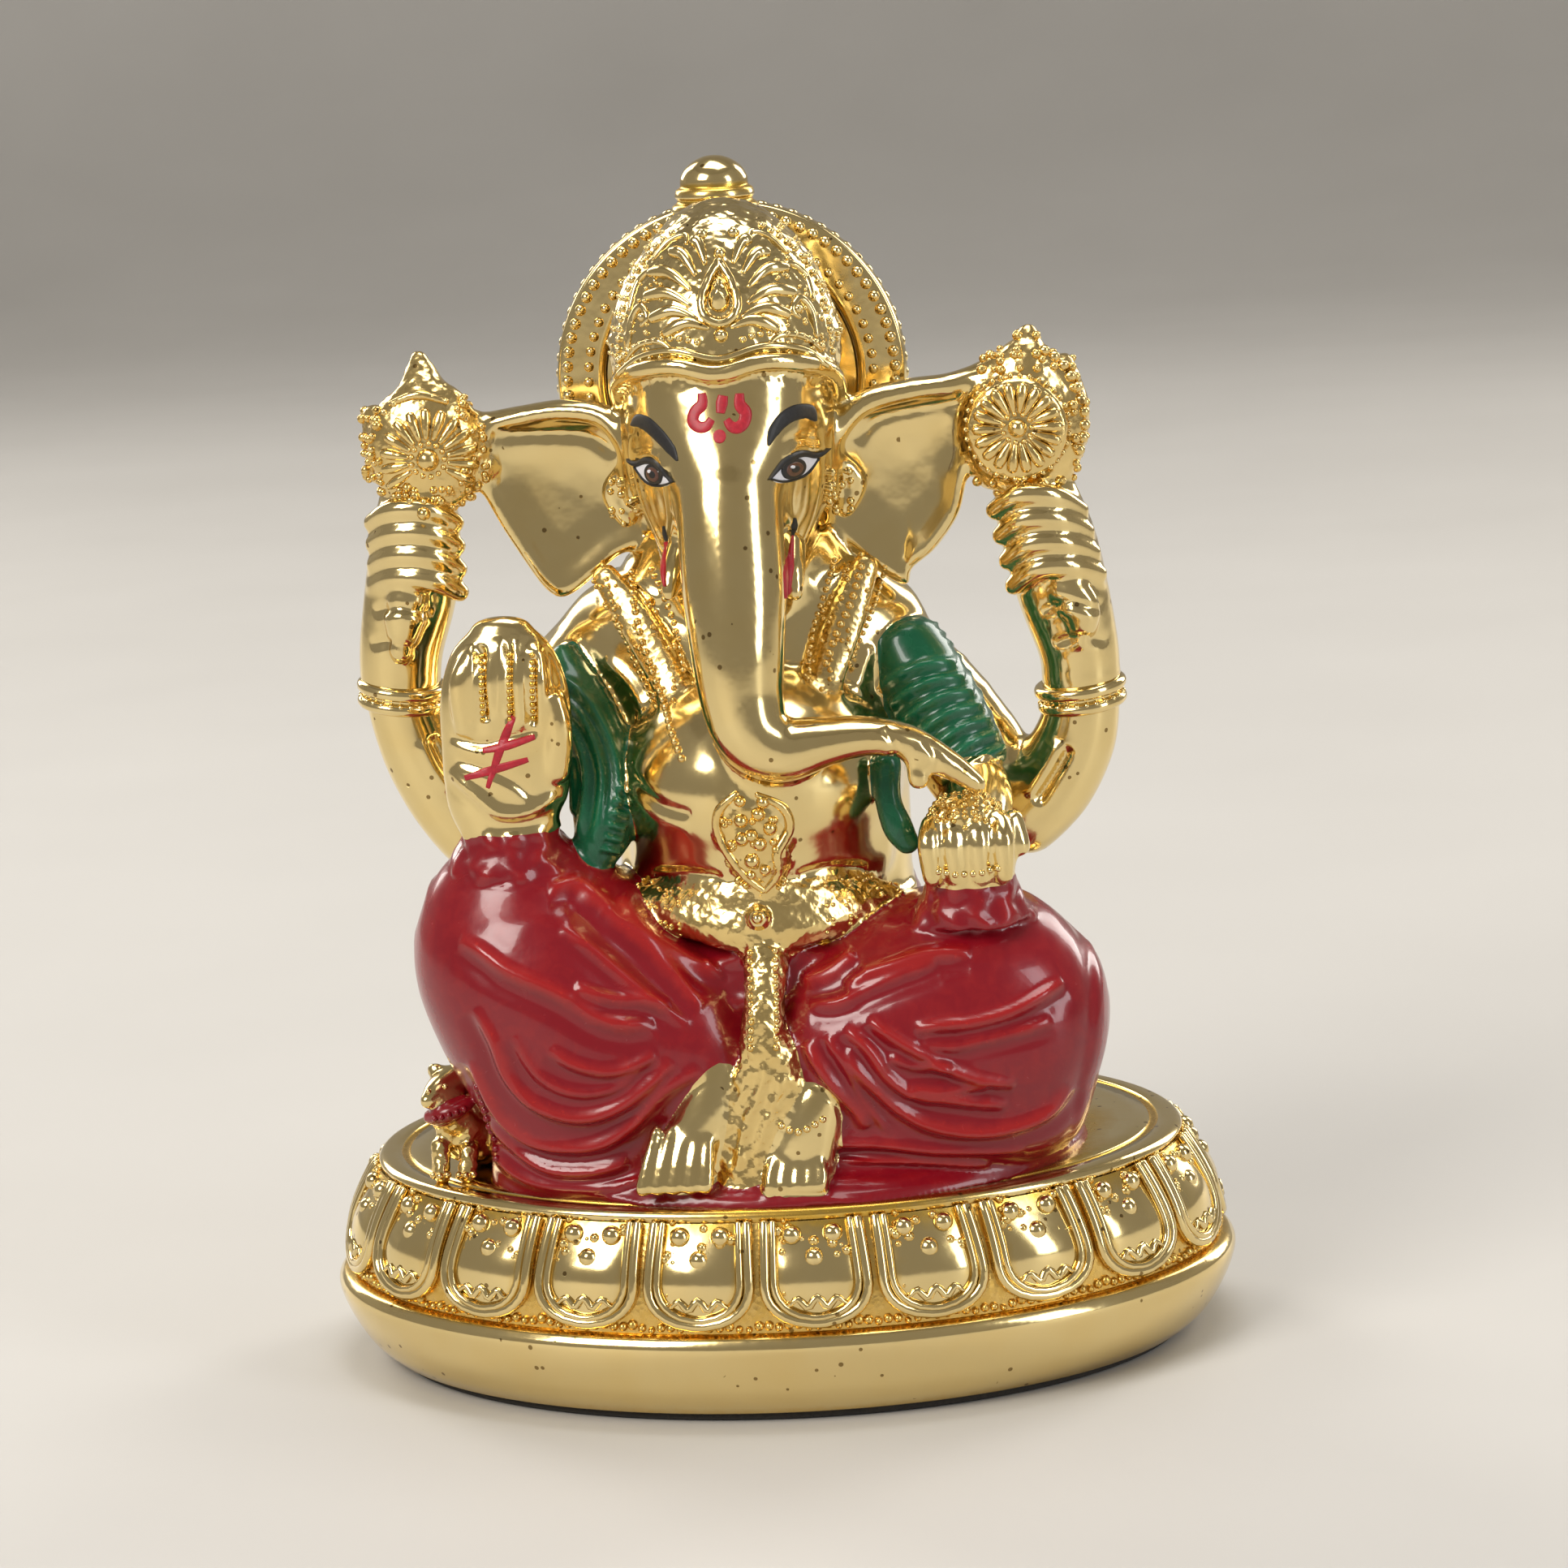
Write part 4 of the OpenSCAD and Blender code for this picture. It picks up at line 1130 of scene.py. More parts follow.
RECIPES = {
    Finish.GOLD: Plating(
        "bright_gold",
        pale=(0.80, 0.63, 0.30, 1),
        deep=(0.70, 0.44, 0.08, 1),
        dark=(0.15, 0.075, 0.012, 1),
        rough=0.14,
        grain=0.0,
        warmth=0.0,
    ),
    Finish.GRAIN: Plating(
        "granular_gold",
        pale=(0.78, 0.58, 0.24, 1),
        deep=(0.68, 0.40, 0.06, 1),
        dark=(0.15, 0.07, 0.01, 1),
        rough=0.2,
        grain=0.22,
        warmth=0.1,
    ),
    Finish.RED: Enamel(
        "crimson_enamel",
        body=(0.205, 0.0025, 0.009, 1),
        thin=(0.43, 0.016, 0.01, 1),
        pooled_shade=(0.05, 0.0015, 0.0025, 1),
        rough=0.25,
    ),
    Finish.GREEN: Enamel(
        "green_enamel",
        body=(0.002, 0.085, 0.035, 1),
        thin=(0.01, 0.19, 0.085, 1),
        pooled_shade=(0.001, 0.025, 0.012, 1),
        rough=0.27,
    ),
    Finish.PAD: Felt("black_felt", (0.012, 0.011, 0.01, 1), (0.05, 0.045, 0.04, 1)),
    Finish.BLACK: Paint("black_paint", (0.005, 0.005, 0.006, 1), (0.012, 0.011, 0.011, 1), 0.42),
    Finish.WHITE: Paint("white_paint", (0.88, 0.88, 0.9, 1), (0.74, 0.74, 0.8, 1), 0.3),
    Finish.IRIS: Paint("brown_paint", (0.17, 0.065, 0.035, 1), (0.08, 0.03, 0.02, 1), 0.25),
    Finish.MARK: Paint("crimson_paint", (0.55, 0.012, 0.03, 1), (0.36, 0.006, 0.02, 1), 0.28),
}


class Workshop:
    """Turns shapes into pieces of the frame, with their finishes."""

    def __init__(self, slots: Iterable[str]) -> None:
        """Mixes every finish once.

        Args:
            slots: the record's material slots.
        """
        self.slots = set(slots)
        self.mixed = {finish: recipe.material() for finish, recipe in RECIPES.items()}

    def place(
        self,
        name: str,
        shape: Union[Shape, list[Shape]],
        finish: Finish,
        nodes: Sequence[str] = (),
        crease: float = 0.0,
    ) -> None:
        """Makes a piece and sets it on the frame.

        Args:
            name: the piece's name.
            shape: its mesh in millimetres, or the meshes that are joined to make it.
            finish: its finish.
            nodes: the CAD nodes it stands for.
            crease: the angle in degrees above which an edge stays sharp, or 0 for none.
        """
        if isinstance(shape, list):
            shape = Shape.joined(shape)
        mesh = bpy.data.meshes.new(name)
        mesh.from_pydata((shape.points * MM).tolist(), [], shape.quads.tolist() + shape.tris.tolist())
        mesh.validate()
        # The cavity layer carries painted shade and light into the materials; the ridge layer carries the
        # lift of the folds.
        layers = {
            "cavity": shape.field_or(shape.cavity, MIDDLE_CAVITY), "ridge": shape.field_or(shape.ridge, 0.0)
        }
        for layer, values in layers.items():
            mesh.attributes.new(layer, "FLOAT", "POINT").data.foreach_set("value", values.astype(np.float32))
        mesh.shade_smooth()
        if crease:
            mesh.set_sharp_from_angle(angle=math.radians(crease))
        elif shape.normals is not None:
            mesh.normals_split_custom_set_from_vertices(shape.normals.tolist())
        piece = bpy.data.objects.new(name, mesh)
        bpy.context.scene.collection.objects.link(piece)
        mesh.materials.append(self.mixed[finish])
        if nodes:
            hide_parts(*nodes)
        finish.value in self.slots
        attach(piece, "root")
        LOG.info("%s: %d faces, %s", name, len(mesh.polygons), finish.name.lower())


# ---------------------------------------------------------------- the base


@dataclass
class LotusBase:
    """The oval base: felt pad, plain rim, lotus band with its petals, and the flat on top."""

    width: float = 92.0
    depth: float = 66.0
    height: float = 21.2
    pad: float = 1.0
    crease: float = 9.6
    petals: int = 21
    petal_height: float = 9.4
    petal_gap: float = 1.0
    outline_bar: float = 0.55
    boss: float = 1.0
    crumbs: int = 16
    rim_sides: int = 384
    ARC_STEPS = 1440
    SLOPE_REACH = 0.3

    def __post_init__(self) -> None:
        """Works out the oval and the lengths of its arcs."""
        r = self.width / 2
        c = self.crease
        self.radius = r
        self.oval = self.depth / self.width
        band = [
            (r - 1.7, c), (r - 1.8, c + 2.4), (r - 2.5, c + 5.4), (r - 3.8, c + 8.2),
            (r - 5.2, self.height - 1.1),
        ]
        self.band = smooth_line(band, 10)
        q = np.linspace(0, FULL_TURN, self.ARC_STEPS + 1)
        track = np.stack([np.cos(q), np.sin(q) * self.oval], -1) * (r - 1.8)
        self.turns = q
        self.arcs = np.concatenate([[0], np.cumsum(np.linalg.norm(np.diff(track, axis=0), axis=1))])
        self.girth = float(self.arcs[-1])

    def on_band(self, along: Array, z: Array, out: Union[float, Array] = 0.0) -> tuple[Array, Array]:
        """Points on the lotus band.

        Args:
            along: distances round the band.
            z: heights.
            out: how far they stand out of it.

        Returns:
            The points and the outward directions there.
        """
        along, z = np.broadcast_arrays(np.asarray(along, float), np.asarray(z, float))
        q = np.interp(along % self.girth, self.arcs, self.turns)
        r = np.interp(z, self.band[:, 1], self.band[:, 0])
        upper, lower = (
            np.interp(z + d, self.band[:, 1], self.band[:, 0]) for d in (self.SLOPE_REACH, -self.SLOPE_REACH)
        )
        slope = (upper - lower) / (2 * self.SLOPE_REACH)
        flat = unit(np.stack([np.cos(q), np.sin(q) / self.oval, np.zeros_like(q)], -1))
        way = unit(flat - slope[..., None] * UP)
        points = np.stack([r * np.cos(q), r * np.sin(q) * self.oval, z], -1)
        return points + way * np.asarray(out)[..., None], way

    def petal(self, middle: float) -> list[Shape]:
        """One petal: its barrel panel, double outline, bow line, bosses and granules.

        Args:
            middle: the distance round the band of its middle line.

        Returns:
            Its shapes.
        """
        half = (self.girth / self.petals - self.petal_gap) / 2
        foot = self.crease + 0.9

        def width(v: Array) -> Array:
            """The petal's share of its full width at a share of its height."""
            return np.sqrt(np.clip(1 - np.clip(1 - v / 0.42, 0, 1) ** 2.4, 0, 1)) * (1 - 0.05 * v)

        v = np.linspace(0.03, 1, 22)[:, None]
        u = np.linspace(-1, 1, 19)[None, :]
        swell = 0.12 + 0.75 * np.sqrt(1 - 0.9 * u**2) * np.exp(-(((v - 0.42) / 0.36) ** 2))
        panel_points, _ = self.on_band(
            middle + u * width(v) * half * 0.76, foot + (0.08 + 0.92 * v) * self.petal_height, swell
        )
        shapes = [ring_grid(panel_points[:, ::-1], closed_round=False)]
        # Painted shade along the petal's sides and towards its top, under the plateau's lip.
        shapes[0].cavity = (
            0.5 + 0.14 * np.abs(u) ** 6 + 0.16 * np.clip(v - 0.72, 0, 1) / 0.28 + 0 * v
        ).ravel()
        turn = np.linspace(0.02, 1, 13)
        rise = np.concatenate([turn[::-1] ** 1.5, [0.0], turn**1.5])
        side = np.concatenate([-np.ones(13), [0.0], np.ones(13)])
        # The outlines, the bow line and the bosses get low cavity values and stay pale where they stand out;
        # the crumbs get painted shade.
        for scale, bar, out in ((0.97, self.outline_bar, 0.42), (0.8, self.outline_bar * 0.72, 0.5)):
            across = middle + side * width(rise) * half * scale
            height = foot + (1 - scale) * 3.2 + rise * (self.petal_height - (1 - scale) * 3.2)
            line, ways = self.on_band(across, height, out)
            shapes.append(tube(line, np.full(len(line), bar), 8).with_painted_shade(0.46))
        s = np.linspace(-1, 1, 17)
        bow, _ = self.on_band(
            middle + s * half * 0.56, foot + 2.1 + 0.5 * np.cos(3 * math.pi * s) * (1 - 0.5 * s**2), 0.62
        )
        shapes.append(tube(bow, 0.34 * (1.15 - np.abs(s) ** 4), 8).with_painted_shade(0.47))
        for across, up in ((-0.4, 0.88), (0.4, 0.88), (0.0, 0.66)):
            point, way = self.on_band(middle + across * half, foot + up * self.petal_height, 0.32)
            shapes.append(dome(point, way, self.boss, 0.75, 14).with_painted_shade(0.44))
        for i in range(self.crumbs):
            across = math.sin(i * 2.399 + middle) * 0.66
            up = 0.6 + 0.38 * ((i * 0.618) % 1)
            point, way = self.on_band(middle + across * half, foot + up * self.petal_height, 0.12)
            shapes.append(dome(point, way, 0.46 + 0.14 * math.sin(i * 5.1), sides=8).with_painted_shade(0.58))
        return shapes

    def ground(self) -> list[Shape]:
        """The granules in the gaps between petals and along the crease."""
        shapes = []
        step = self.girth / self.petals
        # The granules in the gaps and along the crease get painted shade through their cavity values.
        for i in range(self.petals):
            for k in range(11):
                z = self.crease + 1.2 + 9.2 * k / 10
                point, way = self.on_band(step * i + 0.22 * math.sin(k * 4.7 + i), z, 0.05)
                shapes.append(dome(point, way, 0.42 + 0.1 * math.sin(k * 3.3 + i), 0.5, 8).with_painted_shade(0.58))
        count = int(self.girth / 0.95)
        for i in range(count):
            wave = 0.5 * math.sin(i * 1.9) + 0.35 * math.sin(i * 0.73)
            point, way = self.on_band(self.girth * i / count, self.crease + 0.75 + 0.35 * wave, 0.05)
            shapes.append(dome(point, way, 0.46 + 0.14 * wave, 0.5, 8).with_painted_shade(0.6))
        return shapes

    def build(self, shop: Workshop) -> None:
        """Makes the base's pieces."""
        r, h, c, p = self.radius, self.height, self.crease, self.pad
        pad = turned([(r - 6, 0), (r - 5.5, 0.2), (r - 5.4, 0.6), (r - 5.6, p)], self.oval)
        shop.place("pad_felt", pad, Finish.PAD, ["base_pad"], crease=40)
        swell = [
            (r - 4.4, p), (r - 2.6, p + 1.6), (r - 0.9, p + 4.4), (r, p + 7), (r - 0.5, c - 0.4),
            (r - 1.4, c),
        ]
        rim_line = [(r - 6, p), (r - 5, p), *smooth_line(swell, 8).tolist(), (r - 2.4, c + 0.05)]
        rim = turned(rim_line, self.oval, sides=self.rim_sides)
        # Painted shade at the rim's foot and in the crease under the lotus band.
        rim.cavity = np.interp(rim.points[:, 2], [p, p + 1.2, c - 0.6, c], [0.62, 0.48, 0.5, 0.68])
        shop.place("rim_cast", rim, Finish.GOLD, ["base_rim"], crease=50)
        band = turned(self.band, self.oval, sides=self.rim_sides)
        # Painted shade all over the band, which shows between the petals.
        band.cavity = np.full(len(band.points), 0.6)
        shop.place("lotus_band_cast", [band, *self.ground()], Finish.GRAIN, ["lotus_band"])
        step = self.girth / self.petals
        front = 0.75 * self.girth
        petals = [s for i in range(self.petals) for s in self.petal((i + 0.5) * step + front)]
        shop.place("lotus_petals_cast", petals, Finish.GOLD, ["lotus_petals"])
        lip = [(r - 5.1, h - 1.2), (r - 4.95, h - 0.6), (r - 5.5, h - 0.1), (r - 6.4, h)]
        groove = [(r - 7.3, h), (r - 7.5, h - 0.2), (r - 7.8, h - 0.28), (r - 8.1, h - 0.2), (r - 8.3, h)]
        inner = [(share * (r - 8.3), h) for share in (0.95, 0.8, 0.6, 0.4, 0.2, 0.02)]
        profile = [*smooth_line(lip, 6), *smooth_line(groove, 3), *inner]
        flat = turned(profile, self.oval, sides=320)
        # Painted shadow round the figure, darkest at its foot, and painted shade in the groove.
        from_figure = np.hypot(flat.points[:, 0] - 2, (flat.points[:, 1] + 6) / 0.76)
        flat.cavity = np.clip(0.78 - (from_figure - 29.5) * 0.09, 0.47, 0.8)
        from_axis = np.hypot(flat.points[:, 0], flat.points[:, 1] / self.oval)
        flat.cavity[np.abs(from_axis - (r - 7.8)) < 0.4] = 0.72
        shop.place("plateau_cast", flat, Finish.GOLD, ["plateau"])


# ---------------------------------------------------------------- the casting's assemblies


def folds(*lines: tuple[Line, float, float]) -> Worker:
    """Cloth folds seen from the front.

    Args:
        *lines: each fold's line in x, z, its height and its width.

    Returns:
        A worker that lifts the skin along them.
    """
    strokes = [Stroke(line, height, width) for line, height, width in lines]

    def lift(points: Array, normals: Array) -> Array:
        """The lift of every fold, on the side that faces the front."""
        facing = np.clip((-normals[:, 1] + 0.12) / 0.4, 0, 1)
        return facing * sum(s.press(points[:, [0, 2]]) for s in strokes)

    return lift


def wrapped_folds(
    centre: Point, pitch: float, height: float, slope: float, side: Callable[[Array], Array]
) -> Worker:
    """Folds that wrap round an upright axis.

    Args:
        centre: where the axis stands, in x, y.
        pitch: the distance from fold to fold.
        height: how far they stand out.
        slope: how much they rise round the axis.
        side: says from the normals how strongly they show.

    Returns:
        A worker that lifts the skin along them.
    """

    def lift(points: Array, normals: Array) -> Array:
        """The lift of the folds at each point."""
        turn = np.arctan2(points[:, 0] - centre[0], -(points[:, 1] - centre[1]))
        sag = slope * 1.4 * (1 - np.cos(turn)) + 1.2 * np.sin(2 * turn + 0.6)
        wave = (points[:, 2] + sag) / pitch + 0.35 * hash_noise(points, 14.0, 2.0)
        crest = (0.5 + 0.5 * np.sin(FULL_TURN * wave)) ** 3
        patches = np.clip(0.55 + 0.6 * hash_noise(points, 22.0, 5.0), 0, 1)
        return side(normals) * patches * height * (crest - 0.3)

    return lift


def behind(normals: Array) -> Array:
    """How much a skin faces away from the front."""
    return np.clip((normals[:, 1] + 0.25) / 0.45, 0, 1)


def everywhere(normals: Array) -> Array:
    """The same strength on every side."""
    return np.ones(len(normals))


def grain(height: float, size: float) -> Worker:
    """A pebbled surface of lumps."""

    def lift(points: Array, normals: Array) -> Array:
        """The lift of the lumps at each point."""
        return height * np.clip(
            hash_noise(points, size, 1.0) + 0.3 * hash_noise(points, size * 0.6, 4.0), -1, 1
        )

    return lift


Garnish = dict[str, list[Shape]]


class Assembly:
    """A group of pieces that are cast together."""

    finishes: dict[str, Finish] = {}

    def pour(self, casting: Casting) -> None:
        """Adds the group's solids to the casting."""

    def garnish(self, skin: Skin, pieces: dict[str, Shape]) -> Garnish:
        """Makes what is laid on the skin, for each named part."""
        return {}

    def extras(self, skin: Skin, shop: Workshop) -> None:
        """Makes the group's own pieces that are not part of the casting."""


@dataclass
class DhotiLegs(Assembly):
    """The seated legs in their red cloth, the cloth under them, the front pleat and both feet."""

    fold: float = 0.62
    line: float = 0.62
    finishes = {
        "seat_cloth": Finish.RED,
        "hips": Finish.RED,
        "right_leg": Finish.RED,
        "left_leg": Finish.RED,
        "centre_pleat": Finish.GRAIN,
        "right_foot": Finish.GOLD,
        "left_foot": Finish.GOLD,
    }

    def pour(self, casting: Casting) -> None:
        """Adds legs, cloth and feet to the casting."""
        seat = [
            (2, -6, 20.0, 29.8, 22.5), (2, -6, 21.8, 29.4, 22.2), (2, -6, 23.4, 27.4, 19.8),
            (2, -6, 26, 24, 16),
        ]
        casting.add("seat_cloth", [loft(seat, (0, 0), sides=120)], 0.8)
        hips = [
            (2, -1, 19, 26, 17), (1, -1, 28, 24.5, 15.5), (1, -2, 36, 19, 13), (1, -3, 43, 15.5, 12),
            (1, -3.5, 48, 14.4, 11.6),
        ]
        casting.add("hips", [loft(hips, (0, 0), sides=96), ball((1.8, -13.4, 41), (9, 8.8, 8.2))], 1.6, 3.0)
        shin = [
            (-23, -16.6, 54.2, 6, 5.4), (-22.8, -15.6, 50.5, 9.6, 8.6), (-21.9, -15, 45.8, 12, 10.6),
            (-19.8, -15, 40, 12.5, 11.6), (-16.8, -15, 34, 12.4, 11.6), (-15.2, -14, 28, 12.2, 10.8),
            (-15, -13.5, 20.5, 12.6, 10.4),
        ]
        thigh = [
            (-20, -14.6, 43, 10, 10.4), (-12, -15.6, 37.4, 10.4, 10.6), (-5, -16.4, 34.4, 8.8, 9.4),
            (-1, -16.6, 33.6, 6.4, 7.6),
        ]
        casting.add("right_leg", [loft(shin, (0.4, 0), sides=96), loft(thigh, (1, 0.5), sides=80)], 1.6, 3.4)
        knee = [
            (4.4, -15.6, 34, 7, 9), (9, -16, 35, 10, 11.2), (15, -15.4, 36, 12.4, 12),
            (21.6, -14.6, 36, 13, 12),
            (27.4, -13.6, 34.8, 11.4, 11), (30.3, -13, 34.2, 8.8, 9),
        ]
        calf = [
            (4, -13, 26.6, 5.4, 10.6), (14, -13, 27, 6, 12), (24, -12.4, 27, 5.6, 11),
            (28.6, -11.6, 27, 4.6, 8),
        ]
        casting.add(
            "left_leg", [loft(knee, (0.5, 0.4), sides=96), loft(calf, (0.4, 0.5), sides=72)], 1.6, 3.4
        )
        pleat = [
            (1.6, -21, 46.6, 2.2, 1.8), (1.8, -22.8, 43.6, 2.1, 1.9), (1.6, -24.2, 40.4, 2.0, 1.8),
            (1.4, -25, 37.4, 2.2, 1.8), (1.8, -25.2, 34.4, 3.2, 1.8), (1.4, -24.8, 31, 3.8, 2),
            (-0.2, -24.6, 27, 3.6, 2), (-1.2, -24.9, 22.6, 2.8, 2),
        ]
        casting.add("centre_pleat", [loft(pleat)], 0.6)
        foot = [
            (-3.8, -23, 33.4, 2.8, 2.6), (-4.6, -24, 29.6, 2.9, 2.6), (-6.2, -24.6, 26, 3.2, 2.4),
            (-7.7, -25.2, 23.6, 4.2, 1.7),
        ]
        toes = [
            loft(
                [
                    (a, -25.6, 28.6, 0.55, 0.6), (0.5 * (a + b), -27.1, 26, 0.72, 0.8),
                    (b, -27.9, 23.3, 0.82, 0.9),
                ],
                sides=24,
            )
            for a, b in ((-9.4, -10.8), (-7.9, -9.3), (-6.6, -7.8), (-5.3, -6.2), (-4.2, -4.7))
        ]
        casting.add("right_foot", [loft(foot), *toes], 0.5, 0.22, -0.1)
        sole = [
            (8.2, -23.4, 32.2, 1.8, 2.0), (6.6, -24.3, 31, 2.5, 2.2), (5.3, -24.8, 28.4, 3.1, 2.3),
            (4.4, -25.2, 25.6, 3.3, 2.1), (3.8, -25.8, 23.2, 3.3, 1.5),
        ]
        toes = [
            loft(
                [
                    (0.4 * 3.8 + 0.6 * a, -25.6, 26.6, 0.45, 0.5), (a, -27, 24.4, 0.6, 0.7),
                    (a - 0.2, -27.6, 22.9, 0.68, 0.75),
                ],
                sides=24,
            )
            for a in (1.6, 2.9, 4.2, 5.4, 6.5)
        ]
        casting.add(
            "left_foot", [loft(sole), ball((8, -24.2, 32.2), (1.9, 1.8, 1.9)), *toes], 0.8, 0.25, -0.1
        )
        self.fold_cloth(casting)

    def fold_cloth(self, casting: Casting) -> None:
        """Works the folds into the cloth."""
        h, w = self.fold, self.line
        right = folds(
            (
                [
                    (-18.9, 51.8), (-16.5, 52.0), (-14.1, 50.3), (-12.0, 48.1), (-9.2, 45.4), (-6.7, 42.8),
                    (-4.3, 40.0),
                ],
                h * 1.25, w * 1.15,
            ),
            ([(-12.4, 50.3), (-10.6, 48.0), (-8.9, 46.3), (-5.4, 43.9), (-2.2, 42.5)], h, w),
            ([(-17.6, 48.6), (-14.6, 46.4), (-11.8, 43.8), (-8.8, 41.2), (-5.6, 38.6)], h * 0.7, w),
            (
                [
                    (-27.6, 47.7), (-25.3, 46.6), (-22.9, 45.0), (-19.7, 43.5), (-17.0, 42.1), (-14.1, 40.1),
                    (-11.4, 39.3), (-8.9, 39.4),
                ],
                h, w * 1.3,
            ),
            (
                [
                    (-26.3, 41.1), (-24.6, 37.9), (-23.5, 34.4), (-21.5, 31.8), (-18.5, 30.4), (-15.6, 30.2),
                    (-12.5, 31.3), (-9.9, 33.2), (-7.4, 35.3),
                ],
                h * 1.2, w * 1.1,
            ),
            (
                [
                    (-27.4, 35.4), (-26.2, 32.4), (-24.6, 29.4), (-22.1, 27.4), (-18.5, 26.8), (-14.9, 27.2),
                    (-11.7, 29.2), (-8.4, 32.4), (-4.8, 34.4),
                ],
                h * 1.2, w * 1.1,
            ),
            ([(-19.1, 37.2), (-16.7, 35.6), (-13.7, 34.8), (-11.2, 35.2), (-8.9, 36.2)], h * 0.8, w),
            ([(-16.3, 43.3), (-13.9, 42.1), (-10.4, 41.4), (-7.4, 40.6)], h * 0.8, w),
            ([(-22.6, 38.6), (-20.4, 34.6), (-17.2, 32.8), (-13.4, 33.0), (-10.4, 34.6)], h * 0.55, w * 0.9),
            ([(-26.8, 28.0), (-21.4, 24.6), (-16.8, 24.2), (-12.5, 25.0)], h, w),
            ([(-27.0, 24.4), (-22.0, 22.7), (-15.0, 22.6), (-9.0, 23.8)], h * 0.7, w),
        )
        casting.work("right_leg", right)
        casting.work("right_leg", wrapped_folds((-17, -13), 5.6, 0.42, -4.0, behind))
        left = folds(
            ([(5.2, 41.8), (8.2, 43.0), (10.5, 44.6)], h, w),
            ([(9.5, 41.7), (11.3, 42.8), (14.3, 43.7), (17.7, 44.5), (21.7, 44.5)], h * 1.1, w),
            ([(5.9, 40.2), (8.9, 40.5), (12.0, 41.8), (15.2, 42.9), (18.5, 43.8)], h * 0.9, w * 0.9),
            ([(11.7, 39.1), (14.1, 37.2), (17.4, 35.1), (21.2, 32.9), (25.4, 31.8)], h * 1.1, w),
            (
                [(16.1, 38.0), (18.8, 38.2), (21.5, 38.3), (25.0, 38.9), (28.0, 40.0), (30.3, 41.0)],
                h * 1.1, w,
            ),
            ([(16.8, 36.7), (19.5, 36.2), (22.5, 36.6), (25.7, 37.1), (29.1, 37.7)], h * 0.8, w),
            (
                [(9.4, 38.2), (11.6, 36.3), (13.4, 33.4), (15.8, 31.3), (19.2, 30.6), (24.6, 29.6)], h * 1.2,
                w,
            ),
            (
                [
                    (9.6, 36.4), (10.5, 34.3), (12.3, 32.0), (14.2, 29.9), (16.9, 28.1), (20.7, 27.1),
                    (24.4, 27.1), (28.2, 28.2), (30.5, 30.7),
                ],
                h * 1.3, w * 1.1,
            ),
            ([(5.5, 36.8), (7.0, 34.2), (8.5, 32.0), (10.1, 29.8), (10.9, 27.9)], h * 1.2, w * 1.1),
            ([(13.6, 35.5), (16.0, 34.3), (19.4, 34.0)], h * 0.8, w * 0.9),
            ([(15.3, 32.2), (18.7, 31.7), (22.7, 31.7)], h * 0.8, w * 0.9),
            ([(7.6, 37.6), (9.2, 34.6), (10.6, 31.4), (13.0, 27.6)], h * 0.7, w * 0.8),
            ([(7.5, 23.8), (11.7, 24.4), (16.6, 24.0), (22.5, 22.9)], h, w * 0.9),
            ([(6.5, 26.2), (12.0, 26.2), (18.0, 25.2), (26.0, 24.4)], h * 0.8, w * 0.8),
        )
        casting.work("left_leg", left)
        casting.work("left_leg", wrapped_folds((18, -12), 5.2, 0.42, -3.0, behind))
        casting.work("hips", wrapped_folds((1, -2), 5.4, 0.5, 3.0, everywhere))
        casting.work("seat_cloth", wrapped_folds((2, -6), 1.7, 0.22, 0.6, everywhere))
        casting.work("centre_pleat", grain(0.16, 1.2))
        hem = folds(
            ([(1.8, 35.0), (0.8, 32.0), (-0.8, 28.6), (-1.8, 24.0)], 0.3, 0.4),
            ([(3.2, 34.0), (2.2, 31.0), (0.8, 27.6), (0.0, 24.0)], 0.3, 0.4),
        )
        casting.work("centre_pleat", hem)

    def garnish(self, skin: Skin, pieces: dict[str, Shape]) -> Garnish:
        """Adds the beads of the pleat, the frill by the right foot and the anklet."""
        frill = skin.chain([(-27.0, 33.0), (-26.8, 28.4), (-26.2, 24.0)], 0.42, 1.1)
        pleat = []
        for dx in (0.0, 2.5):
            pleat += skin.chain(
                [(0.4 + dx, 45.6), (0.4 + dx, 42.4), (0.4 + dx, 39.6), (0.2 + dx, 35.8)], 0.36, 0.85, 8
            )
        anklet = skin.chain([(2.4, 29.0), (4.4, 28.2), (7.0, 29.4)], 0.38, 0.9)
        # The beads' set cavity values add a little painted shade.
        return {
            "centre_pleat": [s.with_painted_shade(0.52) for s in pleat],
            "right_leg": [s.with_painted_shade(0.5) for s in frill],
            "left_foot": [s.with_painted_shade(0.52) for s in anklet],
        }


